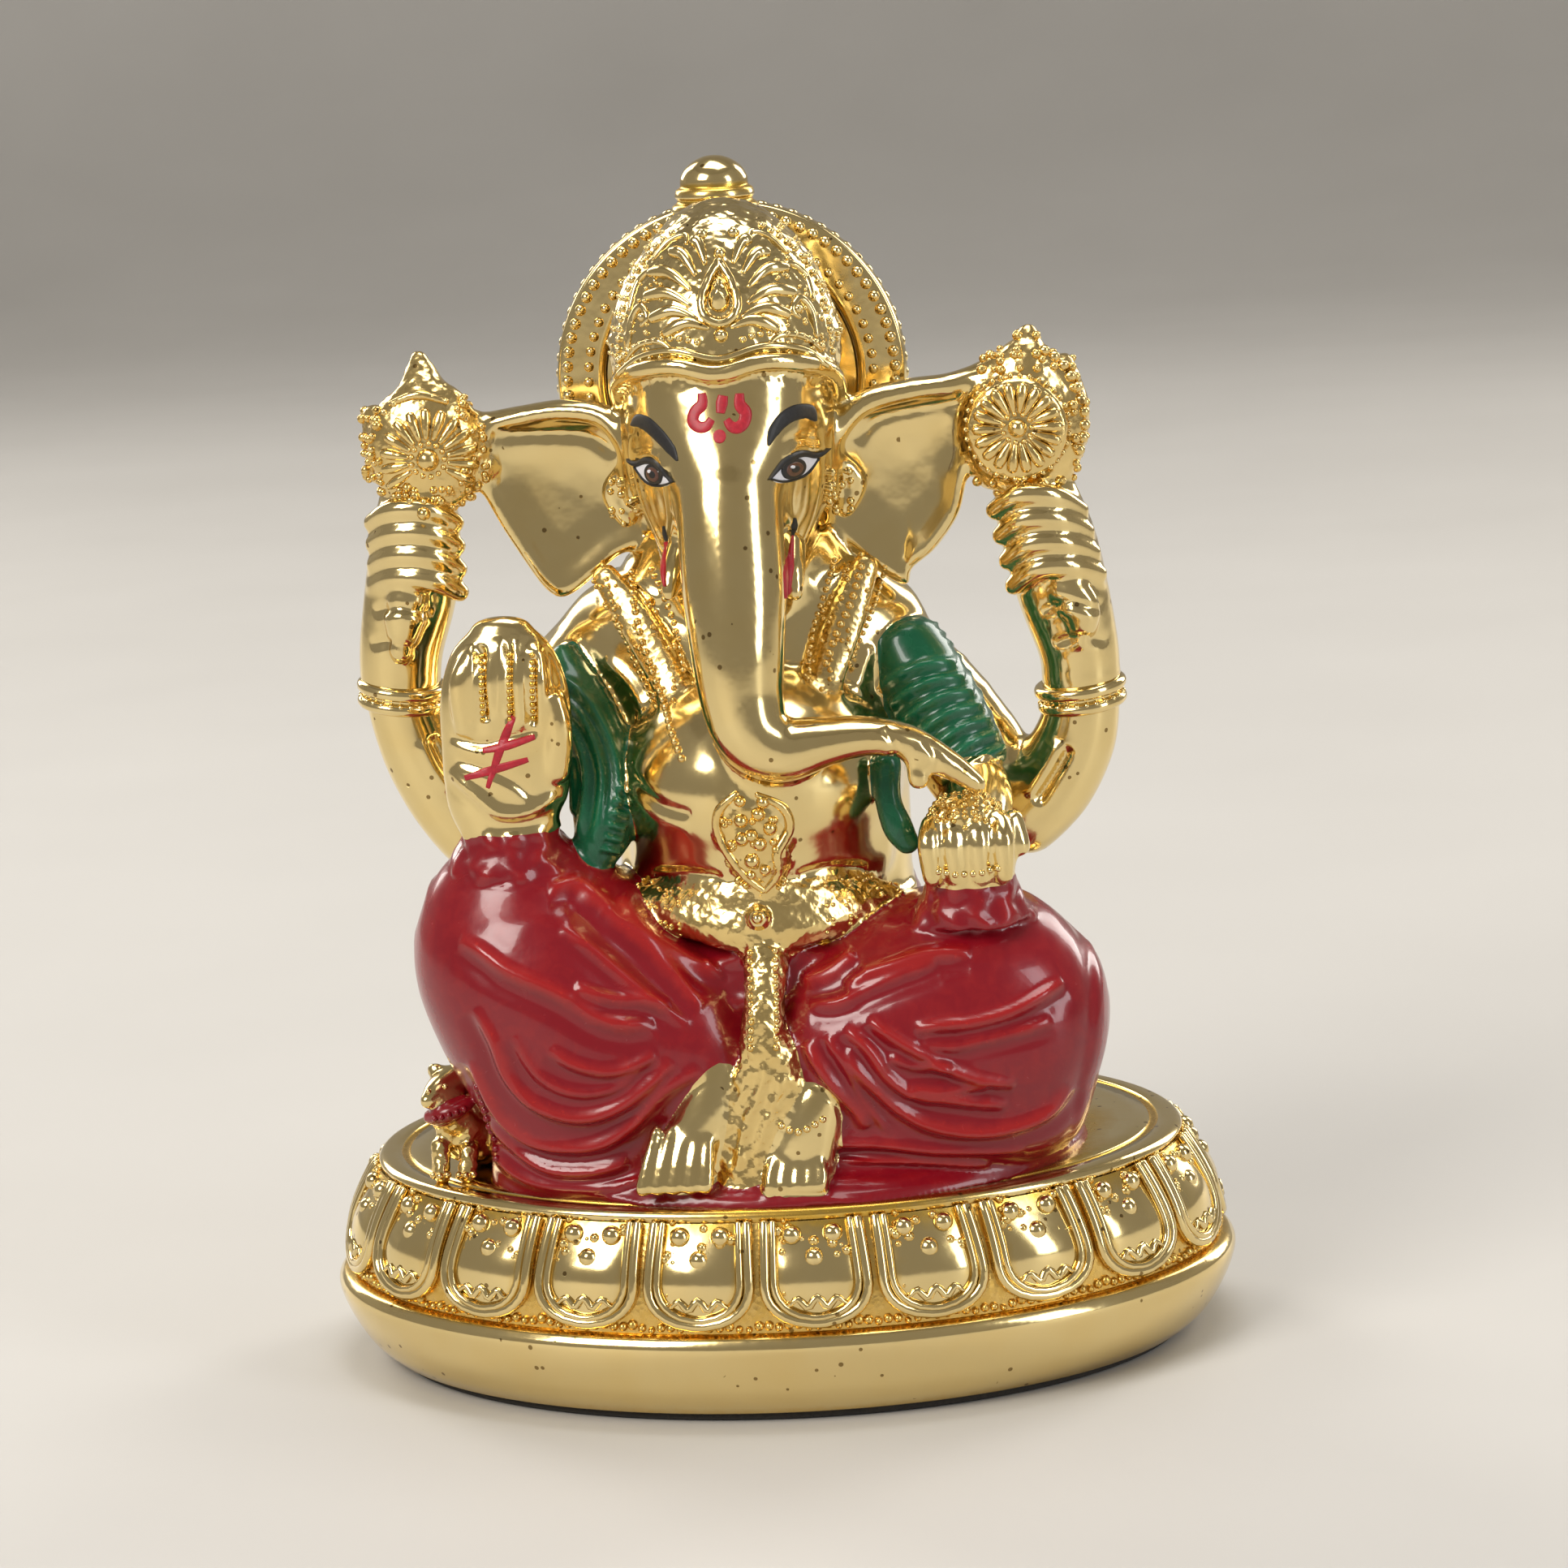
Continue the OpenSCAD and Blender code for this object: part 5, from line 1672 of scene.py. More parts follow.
@dataclass
class Body(Assembly):
    """The body: belly, chest, waistband, buckle, garlands and the belly ornament."""

    bead: float = 0.42
    finishes = {
        "torso": Finish.GOLD,
        "belly": Finish.GOLD,
        "waistband": Finish.GRAIN,
        "belt_buckle": Finish.GOLD,
        "chest_garlands": Finish.GRAIN,
        "belly_pendant": Finish.GRAIN,
    }

    def pour(self, casting: Casting) -> None:
        """Adds the body to the casting."""
        torso = [
            (1, -6, 44, 13.4, 11), (1, -5, 50, 14.4, 12), (0.6, -4, 58, 15, 11.6), (0.2, -3, 66, 16.6, 10.6),
            (0, -2.6, 71.6, 18.2, 9.6), (0, -2.6, 76, 17, 8.8), (0, -3.4, 79.6, 12.6, 8.4),
            (0, -4.6, 84, 9, 8),
        ]
        casting.add("torso", [loft(torso, (0, 0), sides=96)], 2.0)
        lower = [
            (-8, -11.6, 52.6, 3.4, 3.2), (-3.4, -15.8, 52.4, 4, 3.8), (1.2, -17.2, 52.4, 4.2, 4),
            (6, -15.8, 52.4, 4, 3.8), (10.6, -11.6, 52.4, 3.4, 3.2),
        ]
        casting.add("belly", [ball((1.2, -9.4, 60), (14, 14.6, 11.4), 60, 96), loft(lower)], 1.2, 3.0)
        waist = [
            (-11, -15, 49, 1.4, 1.4), (-5.6, -19.6, 47.8, 1.8, 1.6), (1.3, -21.6, 46.9, 2.3, 1.8),
            (8, -19.6, 47.4, 1.9, 1.6), (13.6, -15, 48.2, 1.4, 1.4),
        ]
        roll = [
            (-8.6, -15.2, 49.4, 1.5, 1.6), (-4.2, -19, 50.0, 1.6, 1.7), (1.3, -20.8, 50.2, 1.8, 1.8),
            (7.2, -19, 49.8, 1.6, 1.7), (11.6, -15.2, 49, 1.5, 1.6),
        ]
        casting.add("waistband", [loft(waist), loft(roll)], 0.35, 1.6, bias=-0.05)
        casting.add(
            "belt_buckle",
            [loft([(1.4, -21.4, 48.5, 1.8, 1.8), (1.4, -23.8, 48.5, 1.1, 1.1)], (0.3, 0.35), UP, sides=6)],
            0.2, bias=-0.1,
        )
        right = [
            (-13.4, -7.4, 80.2, 1.4, 0.8), (-10.2, -10.4, 76, 2.0, 0.8), (-7, -12.9, 70.4, 2.0, 0.9),
            (-4.6, -16.4, 64.6, 1.6, 1.0),
        ]
        left = [
            (12.6, -7.4, 80.2, 1.4, 0.8), (10.6, -10.2, 75.6, 2.0, 0.8), (8.6, -12.6, 70.6, 2.0, 0.9),
            (7.6, -15.4, 66.8, 1.6, 0.9),
        ]
        casting.add("chest_garlands", [loft(right), loft(left)], 0.9, bias=-0.05)
        pendant = [
            (0.8, -21.6, 62, 2.2, 1.6), (1, -22.6, 58.4, 3.2, 1.5), (1.8, -22.4, 54.6, 3.0, 1.6),
            (2.0, -20.8, 51.4, 1.7, 1.6),
        ]
        casting.add("belly_pendant", [loft(pendant)], 0.7, bias=-0.05)
        casting.work("belly_pendant", grain(0.15, 1.6))
        casting.work("waistband", grain(0.07, 1.2))
        chest = folds(
            ([(-13.6, 72.0), (-11.0, 69.6), (-9.4, 66.0), (-9.6, 62.0)], 0.4, 0.8),
            ([(12.6, 72.4), (11.4, 69.4), (10.8, 66.6)], 0.4, 0.8),
            ([(-15.0, 78.6), (-11.0, 79.6), (-7.6, 77.6)], 0.35, 0.6),
            ([(15.0, 78.8), (11.2, 79.8), (8.2, 78.0)], 0.35, 0.6),
        )
        casting.work("torso", chest)
        casting.work("torso", self.back_shawl)
        belly = folds(
            ([(-9.5, 51.6), (-5.6, 52.4), (-2.0, 52.2)], -0.35, 0.5),
            ([(5.2, 52.0), (8.6, 52.4), (11.6, 51.4)], -0.35, 0.5),
            ([(-11.4, 62.0), (-8.0, 59.6), (-4.4, 58.8)], -0.3, 0.7),
        )
        casting.work("belly", belly)

    @staticmethod
    def back_shawl(points: Array, normals: Array) -> Array:
        """A sash that crosses the back from shoulder to waist, with two folds in it."""
        across = (points[:, 0] + (points[:, 2] - 62) * 0.62) / 1.18
        back = np.clip((normals[:, 1] - 0.05) / 0.3, 0, 1)
        sash = 1 / (1 + np.exp(-(3.4 - np.abs(across)) / 0.25))
        return back * sash * (0.5 + 0.16 * np.cos(across * 2.9))

    def garnish(self, skin: Skin, pieces: dict[str, Shape]) -> Garnish:
        """Adds the strings of beads and the granules."""
        b = self.bead
        strings = (
            ([(-10.6, 80.4), (-10.0, 76.7), (-9.1, 73.1), (-7.3, 68.4), (-5.1, 63.8)], b, 1.05),
            ([(-8.6, 81.0), (-7.2, 78.0), (-6.2, 75.0), (-5.4, 71.0)], b * 0.8, 0.85),
            ([(-13.0, 80.2), (-12.0, 76.4), (-10.8, 72.6), (-8.8, 68.0)], b * 0.7, 0.8),
            ([(12.2, 80.4), (11.2, 77.1), (9.6, 74.0), (8.2, 70.6)], b, 1.05),
            ([(9.6, 80.8), (8.4, 77.4), (7.2, 74.0), (6.8, 70.6)], b * 0.8, 0.85),
            ([(14.4, 79.8), (13.0, 75.6), (11.0, 71.6)], b * 0.7, 0.8),
        )
        garlands = [bead for line, radius, gap in strings for bead in skin.chain(line, radius, gap)]
        strewn = granules(pieces["chest_garlands"], 1.9, 0.3, lambda p: p[:, 1] < -6)
        edges = (
            [(0.2, 61.0), (-1.6, 59.4), (-2.0, 57.4), (-1.1, 55.0), (0.5, 52.5), (2.1, 51.0)],
            [(2.0, 60.8), (4.4, 59.3), (4.9, 57.2), (3.6, 54.9), (3.6, 52.8), (2.1, 51.0)],
        )
        heart = [skin.bar(edge, [0.3, 0.5, 0.5, 0.5, 0.45, 0.3]) for edge in edges]
        for a in np.arange(5) * math.pi * 0.4:
            heart.append(
                dome(*skin.front(1.6 + 1.5 * math.cos(a), 57.4 + 1.5 * math.sin(a)), 0.72, sides=14)
            )
        for x, z, r in (
            (1.2, 54.3, 0.8), (2.4, 53.3, 0.6), (1.0, 52.8, 0.5), (0.4, 60.2, 0.6), (2.6, 60.0, 0.7)
        ):
            heart.append(dome(*skin.front(x, z), r, sides=12))
        crown = granules(pieces["belly_pendant"], 2.1, 0.4, lambda p: p[:, 1] < -19)
        waist = granules(
            pieces["waistband"], 1.5, 0.26, lambda p: (np.abs(p[:, 0] - 1.3) > 6.5) & (p[:, 2] > 46)
        )
        gem = [dome(*skin.front(1.4, 48.7), 0.6, sides=16)]
        # The waist granules' set cavity value adds a little painted shade.
        return {
            "chest_garlands": garlands + strewn,
            "belly_pendant": [*heart, dome(*skin.front(1.3, 56.8), 0.7), *crown],
            "waistband": [s.with_painted_shade(0.55) for s in waist],
            "belt_buckle": gem,
        }


@dataclass
class Head(Assembly):
    """The elephant head: face, trunk, tusks, ears, and the painted eyes, brows and forehead mark."""

    eye_left: Point = (6.9, 91.1)
    eye_right: Point = (-6.6, 91.1)
    brow: float = 1.35
    mark: float = 1.15
    EAR_SECTION = (
        (0.05, 1.0), (0.5, 1.05), (0.85, 1.0), (0.96, 0.8), (1.0, 0.1), (0.99, -0.7),
        (0.93, -1.1), (0.84, -0.9), (0.7, -0.45), (0.45, -0.1), (0.05, 0.05),
    )
    finishes = {
        "head": Finish.GOLD,
        "trunk": Finish.GOLD,
        "tusks": Finish.GOLD,
        "right_ear": Finish.GOLD,
        "left_ear": Finish.GOLD,
    }

    @staticmethod
    def ear_plate(outline: Line, side: int, middle: Point) -> Shape:
        """A dished ear leaf.

        Args:
            outline: its edge in x, z.
            side: 1 for the figure's left ear, -1 for its right.
            middle: the point its edge is drawn in to.

        Returns:
            The closed leaf.
        """
        edge = smooth_line(outline, 8, closed=True)
        middle = np.asarray(middle, float)
        rows = []
        for share, y in Head.EAR_SECTION:
            flat = middle + (edge - middle) * share
            rows.append(np.stack([flat[:, 0], np.full(len(flat), y), flat[:, 1]], -1))
        rings = np.array(rows)
        turn = Matrix.Rotation(math.radians(side * -6), 4, "Z")
        swing = Matrix.Translation((side * 8, -4.4, 0)) @ turn @ Matrix.Translation((-side * 8, 0, 0))
        leaf = ring_grid(rings, ends=(rings[0].mean(0), rings[-1].mean(0)))
        area = (
            face_cross(leaf.points, leaf.quads) * (leaf.points[leaf.quads[:, 0]] - leaf.points.mean(0))
        ).sum()
        if area < 0:
            leaf.quads = leaf.quads[:, ::-1]
            leaf.tris = leaf.tris[:, ::-1]
        return moved(leaf, swing)

    def pour(self, casting: Casting) -> None:
        """Adds the head to the casting."""
        right_edge = [
            (-8.6, 84), (-9, 92), (-11.5, 95.4), (-15.5, 96.4), (-20.5, 96.2), (-25, 95.2), (-25.6, 90.6),
            (-24, 86.4),
            (-21.6, 82), (-19.2, 78.4), (-17, 78), (-12.4, 81.4),
        ]
        left_edge = [
            (8.8, 86), (9.4, 92.4), (12.4, 95.8), (17, 96.6), (21.6, 97), (25, 98), (25, 93), (23, 88.2),
            (21.9, 84.4),
            (19.4, 81), (16.9, 79), (16.4, 77.4), (13.4, 79.2), (9.6, 83),
        ]
        right_rim = [
            (-9.6, -9.4, 88, 1, 1.4), (-10, -8.8, 92.6, 1.2, 1.6), (-12.2, -7.4, 95.6, 1.2, 1.8),
            (-16, -6.4, 96.4, 1.1, 1.8), (-20.6, -5.6, 96, 1, 1.6), (-25, -5, 95.4, 0.9, 1.4),
        ]
        left_rim = [
            (9.6, -9.4, 88, 1, 1.4), (10.2, -8.8, 92.8, 1.2, 1.6), (13, -7.4, 95.8, 1.2, 1.8),
            (17.4, -6.4, 96.8, 1.1, 1.8), (21.6, -5.6, 97.2, 1, 1.6), (25.4, -5, 98.4, 0.9, 1.4),
        ]
        right_curl = [(-10, -8.6, 91, 0.9, 1.2), (-11.8, -8, 88.4, 1.2, 1.2), (-10.6, -8, 85.8, 1.1, 1.2)]
        left_curl = [(10.2, -8.6, 91, 0.9, 1.2), (12, -8, 88.4, 1.2, 1.2), (10.8, -8, 85.8, 1.1, 1.2)]
        casting.add(
            "right_ear", [self.ear_plate(right_edge, -1, (-17, 89)), loft(right_rim), loft(right_curl)], 1.0,
            0.8,
        )
        casting.add(
            "left_ear", [self.ear_plate(left_edge, 1, (17, 89.5)), loft(left_rim), loft(left_curl)], 1.0, 0.8
        )
        head = [
            (0, -11.4, 77.6, 5, 5.6), (0, -10.2, 82, 7, 8.6), (0, -9.2, 87.6, 9.4, 10.6),
            (0, -8.8, 93, 10.2, 11), (0, -8.6, 97.6, 10, 10.8), (0, -7.6, 101.4, 9, 9.8),
        ]
        brow = [
            (0.4, -12, 86, 4.6, 5.4), (0.4, -13.2, 90, 6.8, 6.8), (0.4, -13.6, 94.5, 8.4, 7.1),
            (0.4, -12.8, 99.5, 8.2, 6.6),
        ]
        casting.add("head", [loft(head, (0.6, 0), sides=80), loft(brow, (0.3, 0.3), sides=64)], 1.2, 2.2)
        trunk = [
            (0.5, -16.4, 98.4, 6.2, 2.8), (0.5, -17.5, 94.4, 6.1, 3.7), (0.6, -19.2, 90.4, 5.4, 4.3),
            (0.7, -20.6, 87, 5.1, 4.6), (0.9, -22.4, 80.4, 5, 4.7),
            (1, -23.6, 74.6, 4.5, 4.5), (1.2, -24.2, 70, 4, 4.2), (2.2, -24.6, 66.8, 3.7, 3.9),
            (4.9, -24.6, 65.2, 3.2, 3.5),
            (8.8, -24.4, 65.7, 2.4, 3), (12.8, -24, 66, 1.9, 2.6), (16.6, -23.6, 65.2, 1.7, 2.2),
            (20.4, -23.2, 62.8, 1.4, 1.8), (23, -23, 60.8, 0.9, 1.2),
        ]
        lobe = [(17.4, -24.2, 64, 1, 1.2), (17.6, -24.6, 61.8, 1.1, 1.1)]
        casting.add("trunk", [loft(trunk, sides=64), loft(lobe, sides=24)], 2.2, 0.8)
        tusks = [
            loft(
                [(6, -16.4, 83.4, 1.5, 1.5), (6.3, -18.8, 81.4, 1.2, 1.2), (6.4, -19.8, 79.4, 0.9, 0.9)],
                sides=24,
            ),
            loft(
                [
                    (-4.6, -16.4, 83.4, 1.5, 1.5), (-5.3, -18.8, 81.4, 1.2, 1.2),
                    (-5.6, -19.8, 79.8, 0.8, 0.8),
                ],
                sides=24,
            ),
        ]
        casting.add("tusks", tusks, 0.3)
        panels = folds(
            (
                [(-8.9, 95.2), (-9.0, 92.6), (-8.5, 89.9), (-7.9, 87.0), (-6.9, 84.0), (-6.6, 81.7)], 0.28,
                0.45,
            ),
            ([(-5.7, 93.4), (-4.9, 91.4), (-4.8, 89.1), (-5.1, 85.6), (-5.7, 83.6)], 0.22, 0.45),
            ([(9.0, 94.7), (9.2, 92.0), (9.0, 89.5), (8.2, 86.0), (7.0, 83.6), (6.2, 81.2)], 0.28, 0.45),
            ([(5.9, 93.4), (5.6, 91.0), (5.7, 88.0), (6.0, 85.4)], 0.22, 0.45),
            ([(-8.8, 92.6), (-6.6, 93.1), (-4.9, 91.4)], 0.25, 0.4),
            ([(9.2, 92.6), (7.0, 93.1), (5.4, 91.4)], 0.25, 0.4),
        )
        casting.work("head", panels)
        grooves = folds(
            ([(14.6, 67.0), (15.6, 65.4), (15.4, 63.6)], -0.2, 0.4),
            ([(18.4, 65.6), (19.4, 64.0), (19.2, 62.4)], -0.2, 0.4),
        )
        casting.work("trunk", grooves)
        casting.work(
            "right_ear", folds(([(-23.6, 94.4), (-19.0, 94.2), (-14.2, 93.6), (-11.6, 91.6)], -0.3, 0.7))
        )
        casting.work(
            "left_ear", folds(([(23.6, 95.4), (19.4, 95.0), (14.4, 94.0), (12.0, 91.8)], -0.3, 0.7))
        )

    def garnish(self, skin: Skin, pieces: dict[str, Shape]) -> Garnish:
        """Adds the granules inside the ear folds."""

        def lobe(x: float) -> Callable[[Array], Array]:
            """Says which points lie in the ear fold at x."""
            return lambda p: (np.abs(p[:, 0] - x) < 1.3) & (np.abs(p[:, 2] - 87.6) < 2.4) & (p[:, 1] < -8)

        return {
            name: granules(pieces[name], 1.5, 0.42, lobe(x))
            for name, x in (("right_ear", -10.6), ("left_ear", 10.6))
        }

    def eye(self, skin: Skin, shop: Workshop, name: str, centre: Point, side: int) -> None:
        """Paints one eye.

        Args:
            skin: the skin it is painted on.
            shop: makes the pieces.
            name: the eye's name.
            centre: its middle in x, z.
            side: 1 when its outer corner is on +X.
        """
        x, z = centre
        t = full_turn(48)
        almond_x = 2.0 * np.cos(t)
        almond_z = 1.12 * np.sin(t) * (1 - 0.35 * np.abs(np.cos(t)) ** 3) + 0.32 * np.cos(t)
        almond = np.stack([x + side * almond_x, z + almond_z], -1)
        round_ = np.stack([np.cos(t), np.sin(t)], -1)
        iris = (x - side * 0.15, z + 0.05)
        shop.place(f"{name}_white", skin.patch(almond, centre, 0.08, 0.12), Finish.WHITE)
        rim, colour, pupil = (
            skin.patch(iris + round_ * radius, iris, lift, 0.05)
            for radius, lift in ((1.02, 0.3), (0.72, 0.36), (0.36, 0.43))
        )
        # The glint is a painted highlight: a white dot standing in for a reflection on the eye.
        glint_at = (iris[0] - 0.25, iris[1] + 0.3)
        lid_line = [(2.9, z + 1.0), (1.9, z + 0.75), (0.7, z + 1.25), (-0.7, z + 0.95), (-2.1, z - 0.45)]
        low_line = [(2.1, z + 0.45), (0.9, z - 0.85), (-0.6, z - 1.05), (-2.0, z - 0.45)]
        lid = skin.ribbon(sided(lid_line, side, x), [0.1, 0.6, 0.75, 0.6, 0.2], 0.32)
        low = skin.ribbon(sided(low_line, side, x), [0.2, 0.32, 0.32, 0.15], 0.22)
        shop.place(f"{name}_outline", [rim, lid, low], Finish.BLACK)
        shop.place(f"{name}_iris", colour, Finish.IRIS)
        shop.place(f"{name}_pupil", pupil, Finish.BLACK)
        shop.place(f"{name}_glint", skin.patch(glint_at + round_ * 0.16, glint_at, 0.52), Finish.WHITE)

    def extras(self, skin: Skin, shop: Workshop) -> None:
        """Paints the eyes, the brows, the forehead mark and the cheek lines."""
        self.eye(skin, shop, "right_eye", self.eye_right, -1)
        self.eye(skin, shop, "left_eye", self.eye_left, 1)
        b = self.brow
        arches = (
            [(-8.8, 95.6), (-7.9, 96.1), (-6.9, 95.9), (-5.6, 94.9), (-4.5, 93.7), (-3.9, 92.7)],
            [(9.0, 95.2), (8.4, 96.2), (7.3, 96.4), (6.2, 95.9), (5.3, 94.9), (4.8, 93.7)],
        )
        brows = [skin.ribbon(arch, [0.2, b, b * 1.1, b, b * 0.8, 0.2]) for arch in arches]
        shop.place("brows", brows, Finish.BLACK)
        m = self.mark
        hooks = (
            [
                (-1.3, 98.9), (-1.3, 97.9), (-2.0, 97.2), (-2.2, 96.3), (-1.6, 95.8), (-0.9, 95.9),
                (-0.4, 96.5),
            ],
            [(2.3, 98.7), (2.3, 97.7), (2.8, 96.9), (2.6, 96.0), (2.0, 95.6), (1.4, 95.8), (1.0, 96.4)],
        )
        mark = [skin.ribbon(hook, [m * 0.7, m, m, m, m * 0.9, m * 0.6]) for hook in hooks]
        mark.append(skin.ribbon([(0.75, 98.6), (0.6, 97.9), (0.45, 97.0)], [m * 0.8, m, m * 0.7]))
        t = full_turn(28)
        dot = (0.3, 94.9)
        mark.append(skin.patch(dot + 0.62 * np.stack([np.cos(t), np.sin(t)], -1), dot, 0.1))
        shop.place("forehead_mark", mark, Finish.MARK)
        cheeks = [
            skin.ribbon([(6.3, 84.4), (6.1, 81.8), (5.9, 79.4)], [0.3, 0.8, 0.3], 0.25),
            skin.ribbon([(-6.1, 84.2), (-6.1, 82.4), (-5.9, 80.6)], [0.25, 0.6, 0.25], 0.25),
        ]
        shop.place("cheek_lines", cheeks, Finish.MARK)
        spots = [
            skin.ribbon([(6.5, 86.0), (6.4, 85.2), (6.3, 84.5)], [0.2, 0.55, 0.3]),
            skin.ribbon([(-6.2, 85.8), (-6.2, 85.0), (-6.1, 84.3)], [0.2, 0.5, 0.3]),
        ]
        shop.place("cheek_spots", spots, Finish.BLACK)


@dataclass
class Crown(Assembly):
    """The crown with its band, jewel and leaves, and the halo and finial behind and above it."""

    halo_radius: float = 17.5
    halo_depth: float = 3.0
    halo_centre: Point = (-0.5, 1.8, 98.0)
    halo_beads: int = 46
    halo_bead: float = 0.6
    jewel: Point = (0.7, 107.9)
    finial_at: Point = (-1.0, 1.2)
    MIDDLE = 0.5
    EDGE_BEADS = 40
    BACK_BEADS = 28
    finishes = {"crown": Finish.GOLD, "crown_band": Finish.GOLD}

    def pour(self, casting: Casting) -> None:
        """Adds the crown to the casting."""
        crown = [
            (0.2, -9.4, 98.4, 10.6, 10.2), (0.2, -9, 101.4, 11.1, 11), (0.1, -8, 105, 10.7, 10.6),
            (0, -6.6, 108.8, 9.1, 9.1), (-0.3, -5, 111.2, 7, 7), (-0.6, -3.6, 112.5, 4.8, 4.8),
        ]
        casting.add("crown", [loft(crown, (0, 0.12), sides=96)], 0.7)
        casting.work("crown", grain(0.08, 1.0))
        band = [
            (-10.4, -7, 96, 0.8, 0.9), (-10.2, -12.6, 99.4, 0.8, 0.9), (-7.6, -17.6, 101, 0.8, 0.9),
            (-3.8, -20, 101.5, 0.8, 0.9), (0.3, -20.6, 100.7, 0.8, 0.9),
            (4.4, -20, 101.5, 0.8, 0.9), (8.2, -17.6, 101, 0.8, 0.9), (10.8, -12.6, 99.4, 0.8, 0.9),
            (11, -7, 96, 0.8, 0.9),
        ]
        casting.add("crown_band", [loft(band, ref=UP, sides=28)], 0.35)
        casting.work("crown", self.flutes)

    @staticmethod
    def flutes(points: Array, normals: Array) -> Array:
        """Upright flutes on the crown's sides and back."""
        turn = np.arctan2(points[:, 0], -(points[:, 1] + 6))
        side = np.clip((np.abs(turn) - 1.0) / 0.3, 0, 1)
        rings = np.exp(-(((points[:, 2] - 103.4) / 0.5) ** 2)) + np.exp(
            -(((points[:, 2] - 110.4) / 0.5) ** 2)
        )
        return side * (0.28 * np.cos(16 * turn) * np.clip((111 - points[:, 2]) / 2, 0, 1) + 0.3 * rings)

    def garnish(self, skin: Skin, pieces: dict[str, Shape]) -> Garnish:
        """Adds the scrolls and the granular ground of the crown, and the second line of its band."""
        curls = (
            (
                [(9.0, 103.2), (8.6, 105.6), (7.6, 107.0), (6.9, 106.0), (7.6, 105.2)],
                [0.3, 0.4, 0.4, 0.34, 0.2],
            ),
            ([(8.8, 106.6), (8.0, 109.0), (6.6, 110.2), (6.1, 109.2)], [0.25, 0.38, 0.36, 0.2]),
            ([(6.4, 111.2), (4.8, 112.8), (3.2, 113.4), (3.0, 112.6)], [0.22, 0.34, 0.32, 0.2]),
            ([(9.4, 101.8), (7.8, 103.4), (5.8, 103.8), (4.6, 103.0)], [0.22, 0.34, 0.32, 0.2]),
        )
        edge = [(10.2, 101.0), (10.0, 104.6), (8.9, 108.6), (6.9, 111.6), (4.0, 113.9)]
        c = self.MIDDLE
        scrolls = []
        for side in (-1, 1):
            scrolls += [skin.bar(sided(line, side, c), radii) for line, radii in curls]
            scrolls += skin.chain(sided(edge, side, c), 0.38, 1.0)
            scrolls.append(dome(*skin.front(c + side * 1.5, 113.4), 0.62, sides=14))
            scrolls.append(dome(*skin.front(c + side * 7.4, 106.0), 0.5, sides=12))
        ground = granules(
            pieces["crown"], 1.5, 0.24,
            lambda p: (p[:, 1] < -7) & (np.abs(p[:, 0] - 0.5) > 5.5) & (p[:, 2] > 102),
        )
        line = [
            (-10.0, 100.3), (-7.4, 102.2), (-3.8, 102.9), (0.5, 102.0), (4.6, 102.9), (8.2, 102.2),
            (10.6, 100.3),
        ]
        return {
            "crown": scrolls + ground, "crown_band": [skin.bar(line, [0.3, 0.42, 0.42, 0.42, 0.42, 0.3])]
        }

    def drop(self, width: float, height: float, count: int = 40) -> Array:
        """The teardrop outline of the jewel in x, z."""
        t = full_turn(count)
        x = width * np.sin(t) * np.abs(np.sin(t / 2)) ** 1.1
        return np.stack([self.jewel[0] + x, self.jewel[1] + 0.15 + height * np.cos(t)], -1)

    def extras(self, skin: Skin, shop: Workshop) -> None:
        """Makes jewel, leaves, bead rows, halo and finial."""
        ring_line = self.drop(2.2, 2.75, 56)
        points = np.array([p + n * 0.25 for p, n in (skin.front(x, z) for x, z in ring_line)])
        jewel = [tube(points, np.full(len(points), 0.45), 12, closed=True)]
        jewel.append(skin.patch(self.drop(1.35, 1.7), self.jewel, 0.3, 1.0))
        for x, z in self.drop(1.72, 2.2, 22):
            p, n = skin.front(x, z)
            jewel.append(dome(p, n, 0.18, sides=8))
        jewel.append(dome(*skin.front(0.8, 104.2), 0.72, sides=18))
        jewel.append(dome(*skin.front(0.75, 111.6), 0.6, sides=14))
        shop.place("crown_jewel_cast", jewel, Finish.GOLD, ["crown_jewel"])
        tips = {
            -1: [(-1.9, 112.9), (-4.0, 111.9), (-6.1, 110.0), (-6.5, 107.9), (-6.0, 105.9), (-4.6, 104.5)],
            1: [(3.6, 112.7), (5.2, 111.4), (6.9, 109.8), (7.6, 107.5), (7.1, 105.6), (6.0, 104.4)],
        }
        leaves = []
        for side, ends in tips.items():
            for i, tip in enumerate(ends):
                a = math.radians(28 + 26 * i)
                root = (self.jewel[0] + side * 2.8 * math.sin(a), self.jewel[1] + 3.2 * math.cos(a))
                middle = (0.5 * (root[0] + tip[0]), 0.5 * (root[1] + tip[1]) + 0.75)
                leaves.append(skin.bar([root, middle, tip], [0.2, 0.5, 0.68, 0.5], 12, 7))
        shop.place("crown_leaves_cast", leaves, Finish.GOLD, ["crown_leaves"])
        beads = skin.chain([(-9.6, 101.9), (-7.2, 103.5), (-3.8, 104.1), (-1.2, 103.6)], 0.36, 0.92)
        beads += skin.chain([(2.4, 103.6), (4.8, 104.1), (8.2, 103.5), (10.2, 101.9)], 0.36, 0.92)
        shop.place("crown_beads_cast", beads, Finish.GOLD, ["crown_beads"])
        self.halo(shop)
        self.halo_rows(shop)
        self.finial(shop)

